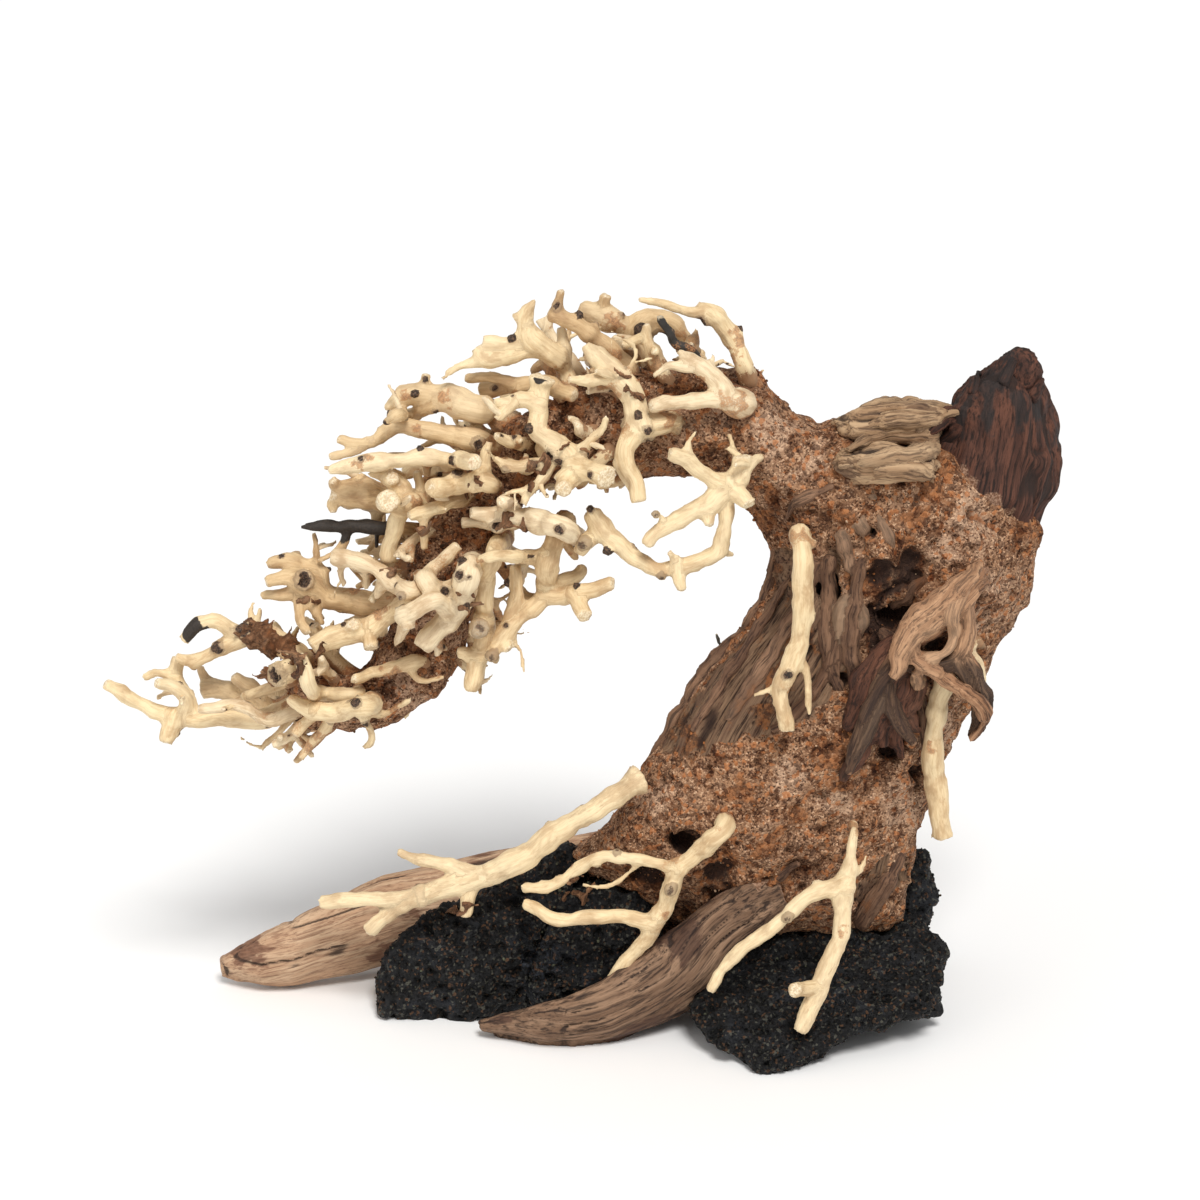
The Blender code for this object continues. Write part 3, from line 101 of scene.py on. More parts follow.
# Driftwood piece with an eye, and the twigs. Each: name, slot, stoutness by which all radii grow, start
# (u, v, y, r), depths of the main stem's second and last point, its further points (u, v, r), then arms:
# depth at the arm's end and its points, the first of them lying on an earlier stem.
TWIGS = [
    ("twisted_driftwood", BROWN_WOOD, 1.22, (133, 180, -8, 4.5), -24, -37, [(126, 169, 6),
     (117, 160.5, 5.2), (109, 154.5, 4.6), (103.5, 147, 4.4), (98.5, 139, 4.2), (94, 127, 4.4),
     (90, 116, 3.8), (87, 107, 1.8)], [(-30, [(126, 169, 5), (128, 157, 4), (125.5, 148.5, 3.8),
     (117, 144.6, 3.6), (109, 145.5, 3.6), (103.5, 147, 3.6)]), (-26, [(125.5, 148.5, 3.8),
     (130.5, 140, 4.2), (133.5, 131, 4), (132.5, 124.5, 3.2), (129.5, 119.5, 2)]),
     (-38, [(100.5, 142.5, 3.4), (102, 131.5, 3), (105.5, 124, 2.8), (110.5, 117.5, 1.6)])]),
    ("root_left", CREAM, 1.0, (14, 105, -14, 4.4), -24, -12, [(2, 97, 4.6), (-14, 87.5, 4.6),
     (-34, 74, 4.6), (-46, 69.5, 4.2), (-59, 66, 3.9), (-70, 61, 3.6), (-81, 52.5, 3.2)],
     [(-10, [(-62, 65, 3.2), (-78, 63.5, 2.8), (-88, 63, 2.6), (-98.5, 62, 2.3)]), (-8, [(-40, 71.5, 3.2),
     (-53, 75, 2.8), (-63, 77, 2.5), (-71, 80, 2.1)]), (-18, [(-44, 69.5, 2.8), (-47.5, 57.5, 2.4)])]),
    ("root_middle", CREAM, 1.0, (45, 93, -20, 3.6), -38, -28, [(41.5, 86.5, 3.7), (35, 80, 3.7),
     (27.5, 74.5, 3.9), (25, 66.5, 3.6), (21, 58, 3.7), (16.5, 50, 3.2), (9, 41.5, 3.1), (2.5, 30.5, 3)],
     [(-20, [(27.5, 74.5, 2.8), (15, 77, 2.4), (4, 78.6, 2.3), (-5, 75.8, 2.5), (-15, 69, 2.3),
     (-27, 67.5, 2.2)]), (-24, [(15, 76.5, 1.2), (9, 71.5, 1.1), (0.5, 67.8, 1), (-5.8, 68.6, 0.9)]),
     (-22, [(19, 55.5, 3.2), (8, 57.5, 2.9), (-4.5, 57, 2.6), (-15.5, 56, 2.7), (-22, 60.2, 2.3),
     (-27, 61.2, 2)])]),
    ("root_right", CREAM, 1.0, (88.5, 91, -18, 1.8), -36, -58, [(88.7, 84, 2), (88, 76.5, 2.6),
     (85.5, 68.5, 4), (85.3, 58.5, 3.4), (84.5, 50.5, 3.4), (80.5, 42, 3.2), (77, 34, 3.5),
     (73.5, 25.5, 3.1), (70, 16.8, 3)], [(-46, [(85, 68, 3.4), (74, 64.5, 2.8), (65.5, 57.5, 2.6),
     (56, 50.5, 2.5), (46, 42.5, 2.5), (38.5, 31, 2.4)]), (-60, [(76, 33, 2.8), (68.6, 31.6, 2.6)]),
     (-36, [(87, 71, 1.3), (91, 73, 1.1), (94, 79, 0.8)])]),
    ("trunk_twig", CREAM, 1.0, (70, 192, -26, 3.4), -36, -39, [(71, 184, 3.8), (71, 174, 3.9),
     (71, 160.5, 3.8), (69.5, 152, 3.6), (66, 144, 3.6), (63.5, 136, 3.4), (64.5, 128.5, 3.2),
     (65, 122, 3)], [(-40, [(69.5, 150.5, 1.6), (72.5, 142, 1.4), (73, 128, 1.1)]), (-38, [(64.5, 139, 1.3),
     (58, 135.5, 1), (53, 134, 0.6)])]),
    ("right_twig", CREAM, 1.0, (131, 155, -8, 3.6), -16, -22, [(126, 149.5, 4), (121.5, 142, 4.2),
     (118, 129, 4.1), (116.2, 113, 4), (117.6, 98, 4), (119.5, 84.8, 4)], [(-14, [(126, 149.5, 3),
     (131, 146, 2.8), (133.5, 138, 2.6)])]),
    # Roots on the far side
    ("root_far_left", CREAM, 1.0, (30, 112, 38, 4.2), 50, 64, [(25, 100, 4.4), (16, 87, 4.2), (8, 75, 3.8),
     (-3, 65, 3.4), (-13, 58.5, 3)], [(60, [(16, 87, 3), (22, 75, 2.7), (22, 64, 2.5), (27, 56, 2.2)]),
     (66, [(-3, 65, 2.4), (-12, 67, 2.1), (-21, 64, 1.8)])]),
    ("root_far_right", CREAM, 1.0, (76, 116, 38, 4), 50, 64, [(74, 102, 4.2), (67, 90, 4), (64, 78, 3.7),
     (57, 67, 3.3), (53, 57, 2.9)], [(62, [(67, 90, 2.8), (76, 80, 2.6), (79, 68, 2.4), (76, 59, 2.1)])]),
    # Twigs at the hanging left tip of the limb
    ("twig_tip_fork", CREAM, 1.25, (-104, 133, -10, 2.8), -12, -14, [(-112, 128.5, 3), (-120, 126, 3),
     (-132, 127, 3), (-141, 126.3, 2.8), (-149, 127, 2.7), (-154, 128.6, 2.6), (-162, 132, 2.4),
     (-170, 137.5, 2), (-173, 139.4, 1.7)], [(-16, [(-149, 127, 2.6), (-152, 118.5, 2.3)]),
     (-20, [(-146, 126.7, 2.2), (-145, 133.5, 2), (-150, 137.5, 1.9), (-155, 139, 1.7)]),
     (-8, [(-141.5, 126.5, 2.2), (-143.5, 133, 2), (-148, 141, 1.9), (-147.3, 148.6, 2.2)]),
     (-6, [(-148, 140.6, 1.6), (-154, 142, 1.5), (-160, 140.5, 1.2)])]),
    ("twig_tip_broad", TAN, 1.15, (-104, 138, -4, 2.4), 2, 2, [(-113, 131, 2.4), (-120, 131.5, 2.8),
     (-127, 135, 3.4), (-133, 137, 3.8), (-139.5, 136.3, 3.6)], [(4, [(-136, 137, 2), (-138.5, 141, 1.7),
     (-140.2, 145.4, 1.4)]), (-4, [(-116, 130.5, 1.8), (-121, 136.5, 2.3), (-128.5, 142, 2.1)]),
     (-6, [(-109, 134, 1.9), (-108.5, 127, 1.8), (-112, 122, 1.5), (-118.5, 115.5, 1)])]),
    ("twig_tip_pale", PALE, 1.25, (-103, 130, -16, 1.8), -22, -24, [(-109, 127.5, 1.9), (-116, 126, 1.9),
     (-124, 130, 1.8), (-130, 131.5, 1.8), (-136, 130.3, 1.7), (-141, 129.6, 1.4)], []),
    ("twig_arc", CREAM, 1.15, (-100, 143, -10, 3.2), -14, -10, [(-108, 150.5, 3.6), (-114, 154.5, 3.8),
     (-120, 156, 3.9), (-130, 152, 3), (-137, 148.7, 2.4), (-144, 146.3, 2), (-148.5, 148, 1.6)],
     [(-14, [(-123, 155.5, 2.8), (-129.5, 157.5, 2.4), (-134, 161, 2.4), (-140, 159.5, 2.4),
     (-146, 153.5, 2.1)]), (-8, [(-121, 157.5, 1.2), (-122.3, 163, 1), (-120.8, 167.5, 0.8)]),
     (-12, [(-120.5, 158, 1.1), (-118.6, 165, 0.9)]), (-26, [(-105, 147, 3), (-108.6, 143.4, 3.4),
     (-113, 141.8, 3.6)])]),
    ("twig_low_fork", CREAM, 1.15, (-79, 133, -14, 3), -27, -30, [(-84, 130.4, 3.1), (-92, 129.3, 3),
     (-102, 130, 2.8), (-109, 134, 2.4)], [(-30, [(-99.5, 129.6, 2.4), (-103, 125, 2.2), (-107, 121, 2)]),
     (-26, [(-92, 129.3, 2.2), (-96, 124, 1.9), (-101, 118, 1.6), (-105, 112, 1.3)]),
     (-24, [(-84, 130.4, 1.8), (-82, 125, 1.5), (-79.5, 121, 1.3), (-80.5, 117.6, 1.2), (-83.4, 116.8, 1)]),
     (-28, [(-82, 131, 1.6), (-76, 127.4, 1.4), (-70, 131.4, 1.2), (-66, 133, 1)])]),
    ("twig_low_riser", CREAM, 1.15, (-83, 136, -14, 2.4), -26, -24, [(-88, 134.6, 2.5), (-97, 134.8, 2.5),
     (-102, 139, 2.4), (-104, 145, 2.3), (-106, 149, 2)], []),
    ("twig_limb_strip", CREAM, 1.15, (-60, 147, -16, 2.2), -24, -25, [(-66, 146, 2.3), (-74, 144, 2.3),
     (-80, 142.5, 2.2), (-86, 140.2, 1.8)], [(-28, [(-68, 145.4, 1.2), (-63, 139.5, 1.1),
     (-55, 141, 0.9)])]),
    # Twigs on the left curve of the limb
    ("twig_left_brown", TAN, 1.15, (-64, 166, -8, 3.8), -14, -20, [(-76, 166, 4), (-88, 168, 4),
     (-97, 170, 3.9), (-103, 174, 4), (-110, 175.8, 3), (-117, 174.2, 1.6)], [(-22, [(-102, 171, 2.6),
     (-100, 165.5, 2), (-96.8, 159, 1)]), (-14, [(-101, 172, 2.6), (-110, 170, 2.2), (-119, 169.6, 1.6)]),
     (-24, [(-105, 171, 2.2), (-105.5, 165, 1.8), (-102, 156.5, 1.4)]), (-12, [(-96, 172, 2.2),
     (-98, 178, 2.4), (-104, 180.6, 2.8), (-110, 181.8, 2.8), (-116, 180.8, 1.6)]),
     (-12, [(-99.5, 179, 1.4), (-99.3, 186, 1.3), (-99.8, 192, 1.2)])]),
    ("twig_left_sweep", CREAM, 1.15, (-61, 168.5, -4, 3), -17, -24, [(-68.4, 167.2, 3.2),
     (-73.5, 163.6, 3.2), (-80, 159, 3.5), (-87, 156.5, 3.6), (-94.5, 154.8, 3.4), (-101, 150.6, 3)],
     [(-28, [(-81, 158.5, 2.6), (-80.4, 150.6, 2.3)])]),
    ("twig_thumb", PALE, 1.05, (-44, 182, -10, 4), -26, -34, [(-46.5, 175, 4.6), (-49, 168, 4.6),
     (-53, 161.5, 4.3), (-58, 156.5, 3.9), (-62.3, 151.4, 3.5)], [(-28, [(-48, 172, 3.4), (-56, 171.5, 3.2),
     (-61, 174.4, 3), (-58, 178.8, 2.7), (-54, 182, 2.3), (-49.4, 187.2, 1.7)]), (-34, [(-58, 172, 2.4),
     (-56.5, 168, 2.5), (-53, 165.2, 2.3)]), (-30, [(-53, 163, 3), (-60, 167, 3), (-66, 164.4, 3),
     (-69, 157.6, 2), (-71.5, 151.6, 0.9)])]),
    ("twig_drop", CREAM, 1.08, (-34, 190, -10, 3), -22, -27, [(-38, 181.5, 3.2), (-40, 175.5, 3.3),
     (-40.3, 168, 3.3), (-40, 160.5, 3.2), (-40.8, 153, 3.1), (-43, 146, 3), (-44, 140, 2.8),
     (-44.8, 136, 2.2)], [(-32, [(-41, 161, 3), (-42.6, 157.6, 3.1)]), (-24, [(-42.4, 148.5, 2.5),
     (-50.5, 149.6, 2.2)])]),
    ("twig_hang_fork", CREAM, 1.0, (-12, 196, -8, 3.4), -22, -30, [(-16.5, 187.5, 3.6), (-18.6, 181.5, 3.8),
     (-18.6, 174.5, 3.8), (-20.5, 167.6, 3.6), (-27, 162, 3), (-32, 157.8, 3.4), (-36, 152.6, 3.1),
     (-38, 148.4, 2.2)], [(-36, [(-19, 184, 2.8), (-25, 183, 2.5), (-32, 183.4, 2.4), (-38, 183.4, 2.3),
     (-43.6, 181.6, 1)]), (-36, [(-37, 183.4, 1.8), (-39, 187, 1.2)]), (-34, [(-19.5, 169.6, 3),
     (-12, 170, 3.3), (-6, 171.2, 2.9), (0, 172.6, 2.8), (4.6, 173.8, 2.6)]), (-38, [(-9, 170.2, 3),
     (-7, 165.4, 2.9), (-5, 162, 2.7)]), (-24, [(-33.6, 156.2, 2.4), (-31.4, 163, 2.5), (-29.4, 170.5, 2.6),
     (-29.6, 180, 2.5)]), (-34, [(-29, 160, 0.9), (-29.3, 153, 0.9), (-27.4, 148.6, 0.8),
     (-26.8, 142.4, 0.7)]), (-16, [(-17, 173, 3), (-10, 175.4, 2.6), (-5.5, 179, 2.4)])]),
    ("twig_thin_fork", CREAM, 1.0, (-42, 207, -10, 2.8), -25, -31, [(-49.5, 203, 2.8), (-55.5, 201, 2.9),
     (-62, 198.4, 2.8), (-67, 197, 2.2)], [(-28, [(-61.4, 197.5, 1.8), (-61.6, 191, 1.5),
     (-61.8, 185.4, 1.3)]), (-36, [(-57, 200.4, 1.4), (-53.4, 199.6, 1)])]),
    ("twig_long_grey", PALE, 1.1, (-8, 190, -8, 3.2), -23, -26, [(-15, 193.6, 3.6), (-23, 196, 3.9),
     (-31, 196.6, 3.7), (-38, 198.2, 3.1), (-45.2, 198.6, 2.9)], [(-32, [(-27, 198.4, 1.8), (-31, 202, 2.1),
     (-35.4, 203, 1.8)]), (-22, [(-34.6, 196, 2.6), (-36.6, 193.2, 2.8)]), (-20, [(-36, 194.4, 2),
     (-41, 194.6, 1.9), (-48.4, 195.3, 1.8)])]),
    ("twig_blunt", CREAM, 1.0, (-36, 207, -10, 3), -25, -36, [(-43, 209.4, 3.8), (-50.5, 208.6, 3.8),
     (-56, 207.4, 3.9), (-59, 207, 3.3)], [(-22, [(-43.5, 209.6, 3), (-40.4, 214.5, 3), (-39.8, 219, 2.4),
     (-38.4, 223.6, 1.6)])]),
    ("twig_long_top", CREAM, 1.0, (-47, 208, -6, 2.6), -22, -30, [(-50.5, 214.6, 3), (-57, 217.3, 3.2),
     (-65, 217.4, 3.2), (-74, 216.6, 3.1), (-82, 215.8, 3.1), (-89, 214.4, 3), (-95, 212.8, 1.8)],
     [(-28, [(-53, 216.6, 3), (-48, 217, 3.1), (-44, 215.8, 3)])]),
    ("twig_flat_tan", TAN, 1.1, (-58, 202, -6, 3.4), -12, -14, [(-67, 203.6, 4), (-76, 204, 4.6),
     (-84.5, 205, 5), (-91.5, 206, 4)], [(-18, [(-91, 206, 2), (-94, 209.8, 2)]), (-18, [(-91, 206, 2),
     (-93.4, 202, 2), (-93, 198.2, 1.7)]), (-12, [(-84, 206, 2.4), (-84.6, 212.6, 2)]),
     (-10, [(-77.6, 203, 2.2), (-77.8, 194, 1.8), (-78, 186, 0.8)])]),
    ("twig_knuckle", CREAM, 1.15, (-61, 198, -12, 2.8), -22, -25, [(-68, 202.4, 3.3), (-70.4, 198, 2.9),
     (-72.2, 191.5, 2.8), (-73.8, 186, 2.7), (-74.4, 181.4, 2.4)], [(-31, [(-69, 200.6, 3),
     (-74.4, 202.4, 3.2)]), (-24, [(-67.4, 202.4, 2.4), (-69.8, 207, 2.8), (-73, 210.4, 2.7),
     (-77, 212, 1.9), (-81.4, 213, 0.8)]), (-17, [(-64.6, 200.6, 1.8), (-62.8, 207, 1.8),
     (-64, 213, 1.7)])]),
    ("twig_bark_spike", TAN, 1.0, (-56, 191, -6, 2.6), -12, -14, [(-66, 193, 2.7), (-76, 193.4, 2.8),
     (-84, 193.6, 2.8), (-92, 193.6, 2.6), (-100, 194, 2.1), (-105, 193.8, 0.6)], [(-16, [(-87, 192.8, 1.9),
     (-91, 186.6, 1.5), (-98.4, 181.9, 1)])]),
    ("twig_pale_bow", PALE, 1.1, (-61.5, 177.5, -10, 2.8), -29, -22, [(-67.6, 170.4, 2.9),
     (-71.6, 174, 2.9), (-76.4, 177.4, 2.9), (-82, 180.2, 2.9), (-88.6, 182.3, 2.9), (-94.2, 183, 2.5)],
     [(-26, [(-74, 175.6, 2), (-76.8, 171.8, 1.7), (-78.3, 168.4, 1)]), (-16, [(-83, 180, 1.8),
     (-81.8, 172.4, 1.6)]), (-16, [(-88.6, 181.4, 1.4), (-91, 177, 1.3), (-89.6, 173.4, 1.1)])]),
    # Twigs on the crest of the limb
    ("twig_low_bough", TAN, 1.0, (-33, 219, -6, 3.6), -13, -14, [(-43, 224.6, 3.8), (-50, 225, 4.1),
     (-56.5, 226.6, 3.8), (-64, 228, 3), (-71, 228.8, 3), (-76, 226.4, 2.8), (-80.5, 223.4, 2.4),
     (-86.6, 223.4, 2), (-92.3, 224.6, 1.7)], [(-16, [(-80, 223.6, 2.2), (-87, 219.8, 1.9),
     (-95, 217.8, 1.5)])]),
    ("twig_high_bough", TAN, 1.05, (-27, 226, -4, 4.4), -8, -10, [(-37, 232.4, 4.8), (-44.5, 235.6, 5),
     (-51.5, 237.8, 5.1), (-58, 239.4, 4.2), (-64.5, 239.6, 3.7), (-69.6, 239.2, 3.2), (-72.4, 236.6, 2),
     (-75, 234.5, 0.8)], [(-16, [(-55, 237, 3.2), (-60.5, 235.4, 2.9), (-66.5, 232.7, 2.6),
     (-71.5, 232.4, 1.9), (-75.3, 230, 1)]), (-8, [(-60.6, 240, 1.9), (-61.2, 247.2, 1.7)])]),
    ("twig_front_fork", CREAM, 1.05, (-18, 217, -10, 3.4), -26, -36, [(-16.5, 222.8, 3.9),
     (-10.5, 219.4, 4), (-8.2, 214.2, 3.9), (-13, 207.6, 3.3)], [(-18, [(-14, 221.8, 3.6),
     (-22.2, 227.4, 3.9), (-21.4, 233.6, 3.3), (-20.8, 240, 3.2), (-20.6, 243.5, 3.6),
     (-20.4, 246.6, 4.4)]), (-26, [(-21.6, 235.6, 2.8), (-27, 238, 2.7), (-31.6, 237.2, 2.4),
     (-37.6, 236.8, 1.6)]), (-28, [(-30, 237.4, 2), (-33.4, 234.4, 1.9), (-36, 230.4, 1.6)]),
     (-30, [(-11, 219.4, 2.8), (-17.4, 217, 2.4), (-24, 215.3, 2.2), (-30, 214.2, 1.9), (-38.2, 218, 0.9)]),
     (-32, [(-16.6, 217.2, 2.2), (-20, 210.4, 2), (-24.4, 206.4, 1.8), (-27, 201.6, 1.4)]),
     (-32, [(-23, 207.6, 1.6), (-33.2, 205.4, 0.9)]), (-44, [(-8.6, 214.6, 3.4), (-3.4, 212.8, 3.8),
     (2.2, 211, 3.9)]), (-34, [(-9, 219, 2), (-3, 224.6, 1.7), (1.2, 229.2, 1.6), (2.2, 232.6, 1)])]),
    ("twig_crest_fork", CREAM, 1.05, (28, 231, -10, 3.8), -26, -36, [(20.5, 229.6, 4), (14, 228.6, 4.3),
     (10.4, 223.4, 3.8), (8.8, 218.6, 3.5), (10, 214.2, 3), (12.9, 208.2, 2.7), (13.9, 202.2, 2.3)],
     [(-18, [(13.4, 229.4, 4), (12.8, 235, 4), (12, 239, 4.2), (8.6, 243.8, 4.4), (4.2, 248, 4.1),
     (-0.4, 252.6, 3.4), (-4.8, 257.2, 1.8)]), (-30, [(7, 245.2, 3), (-1, 245.4, 2.6), (-6.2, 244.8, 1.9),
     (-10.8, 245.6, 1.4)]), (-32, [(8.8, 219.6, 2), (5.8, 216, 1.7), (8.6, 211.6, 1.6), (12.4, 205, 1.3)]),
     (-14, [(-1, 253.2, 1.2), (-7.8, 252.2, 0.6)]), (-24, [(8, 244.4, 1.2), (10.6, 250.2, 1.1),
     (12, 253.6, 1), (11.2, 257, 1), (8.6, 258.8, 0.9), (4.6, 258.7, 0.8)])]),
    ("twig_crown_mass", TAN, 1.0, (22, 244, 4, 4), 2, 4, [(18.4, 253, 4.2), (13.4, 259.6, 4.4),
     (8, 264.4, 4.4), (0.4, 267.6, 4.2), (-7.4, 270, 3)], [(2, [(1.2, 268, 2.4), (2.6, 275, 1.8)]),
     (10, [(11, 262, 3.6), (17.6, 266.4, 3.8), (24.5, 264.6, 3.4), (29.6, 259.4, 3), (34.4, 254.4, 2)])]),
    ("twig_crown_left", TAN, 1.0, (12, 241, -2, 3), -7, -8, [(8.4, 251.4, 3.2), (5.2, 254.6, 3.3),
     (0, 258.4, 3.3), (-5, 262.2, 3.2), (-11.6, 266.2, 3.1), (-18.4, 268, 2.2)], [(-10, [(-14, 267, 2.2),
     (-14.6, 271.6, 1.9), (-13.4, 276.4, 1.6)])]),
    ("twig_black", BLACK, 1.0, (35, 250, -8, 1.6), -14, -16, [(31.4, 256, 1.7), (26.4, 257.8, 1.9),
     (23.4, 263, 1.7), (20.8, 268, 1.5)], []),
    ("twig_crest_high", CREAM, 1.0, (53, 242, -2, 3.6), -6, -6, [(50, 250.6, 3.8), (47.6, 256.6, 3.8),
     (44.6, 261.8, 3.9), (41, 266.6, 3.7), (37.6, 270, 2.6), (33.8, 272.2, 1)], [(-10, [(39.4, 268.4, 2.4),
     (34, 268.8, 2.1), (29, 269.8, 1.8), (22, 271.8, 1.5), (13.4, 272.9, 1.1)])]),
    ("twig_crest_white", PALE, 1.0, (53, 236, -10, 4), -24, -30, [(45.6, 237.2, 4.6), (39.4, 238, 3.2),
     (31.6, 237.5, 3), (23.4, 237, 2.8), (17.4, 236.3, 2.6)], [(-20, [(45, 238.8, 3.8), (40.6, 245.6, 3.4),
     (35.4, 250.2, 3.2), (30.6, 253.4, 2.4), (27.6, 256, 1.2)]), (-22, [(35.6, 250, 2.2), (30.5, 249.6, 2),
     (24.6, 249.6, 1.7), (18.4, 246.8, 1)]), (-20, [(39.4, 246.8, 1.6), (39.8, 254.4, 1)])]),
    ("twig_arch_fork", CREAM, 1.05, (58, 219, -14, 1.8), -30, -36, [(52, 215, 2.2), (47, 210, 4),
     (42.6, 206, 4.4), (37.6, 201, 3.9), (31.8, 198, 3.4), (25, 194.8, 3), (18.6, 191, 2.7),
     (16.4, 187, 2.3)], [(-30, [(47.4, 210.4, 3), (49.4, 215, 2.9), (49.6, 218.6, 3)]),
     (-38, [(45, 208, 3.6), (38.8, 210.6, 2.8), (34, 213.8, 2.7), (29.4, 217, 2.6), (24, 219.8, 2.2)]),
     (-36, [(35.6, 212.8, 1.5), (31.4, 218.4, 1.3), (30.6, 223, 1.1), (33.8, 227.2, 0.9)]),
     (-38, [(45.6, 207.6, 3.6), (48.6, 204.4, 3.2), (52.6, 201.6, 2.8)]), (-36, [(36, 199.8, 2.8),
     (37.6, 196.4, 2.4), (38, 193.8, 2)]), (-38, [(22.6, 193.4, 1.6), (21.4, 196.4, 1.3),
     (19.6, 197.8, 1.2)]), (-30, [(44, 205.6, 3), (44.2, 197.6, 2.7), (42.3, 190, 2.8), (41.4, 184.6, 3.4),
     (34.6, 182.4, 2.9), (28.4, 180.2, 2.9), (20, 178.8, 2.6), (12.8, 182.6, 3.1), (7.6, 186.8, 3.4),
     (2.6, 190.6, 4), (-0.6, 195, 4.3), (-3, 199.4, 3.4)]), (-26, [(42, 185, 2.2), (46.6, 183.8, 1)]),
     (-34, [(26.4, 179.6, 1.8), (24.2, 185.4, 1)]), (-34, [(27.6, 179.8, 2.6), (28, 175.4, 2.3),
     (29, 170.6, 1.7)]), (-30, [(0.8, 192.6, 2.8), (-4.6, 188.6, 3.2), (-7.4, 184.6, 2.2)])]),
    ("twig_top_fork", CREAM, 1.1, (-9, 240, -4, 3), -9, -12, [(-12.6, 249, 3.4), (-16.6, 254, 3.9),
     (-22, 258, 4), (-25.4, 262.4, 3.6), (-26.2, 266.4, 3.2), (-22.8, 273, 0.8)], [(-12, [(-26, 265, 2.6),
     (-31.2, 268.6, 0.8)]), (-6, [(-12.4, 248.4, 2.6), (-12.8, 257.4, 2.2), (-14, 264, 1.7)]),
     (-12, [(-22, 258, 3), (-30, 258, 2.8), (-36, 257.8, 2.5), (-41.6, 258.2, 2.1)]),
     (-14, [(-18.4, 255.4, 2.8), (-27, 254.6, 3), (-34, 252.8, 3), (-40.4, 252.6, 3), (-44.4, 256.4, 1.4)]),
     (-16, [(-39, 252.4, 2.4), (-45, 251.2, 2), (-51, 249.2, 1.3), (-56, 245.4, 0.5)])]),
    ("twig_crest_rust", TAN, 1.0, (-12, 239, -10, 2.6), -12, -6, [(-17.4, 244, 3), (-25, 243.6, 3),
     (-33, 242.6, 3), (-42.4, 242, 2.8)], [(-4, [(-28, 244, 2.2), (-38, 246.2, 2.2), (-47.6, 245.6, 2.3)]),
     (-18, [(-15.4, 242.4, 2.8), (-8.4, 239.6, 2.8)])]),
]

# Twigs on the far side: root, then where the stem ends, in the view and in depth, and the arms on each
FAR_STEMS = [
    (48, 226, 8, 30, 243, 46), (24, 228, 8, 34, 222, 52), (4, 226, 8, -12, 229, 48),
    (-17, 219, 6, -38, 216, 44),
    (-38, 203, 4, -62, 216, 42), (-50, 186, 4, -72, 174, 44), (-59, 163, 2, -84, 157, 42),
    (-75, 138, 0, -101, 128, 36), (-95, 137, -4, -128, 131, 26),
]
FAR_ARMS = 4


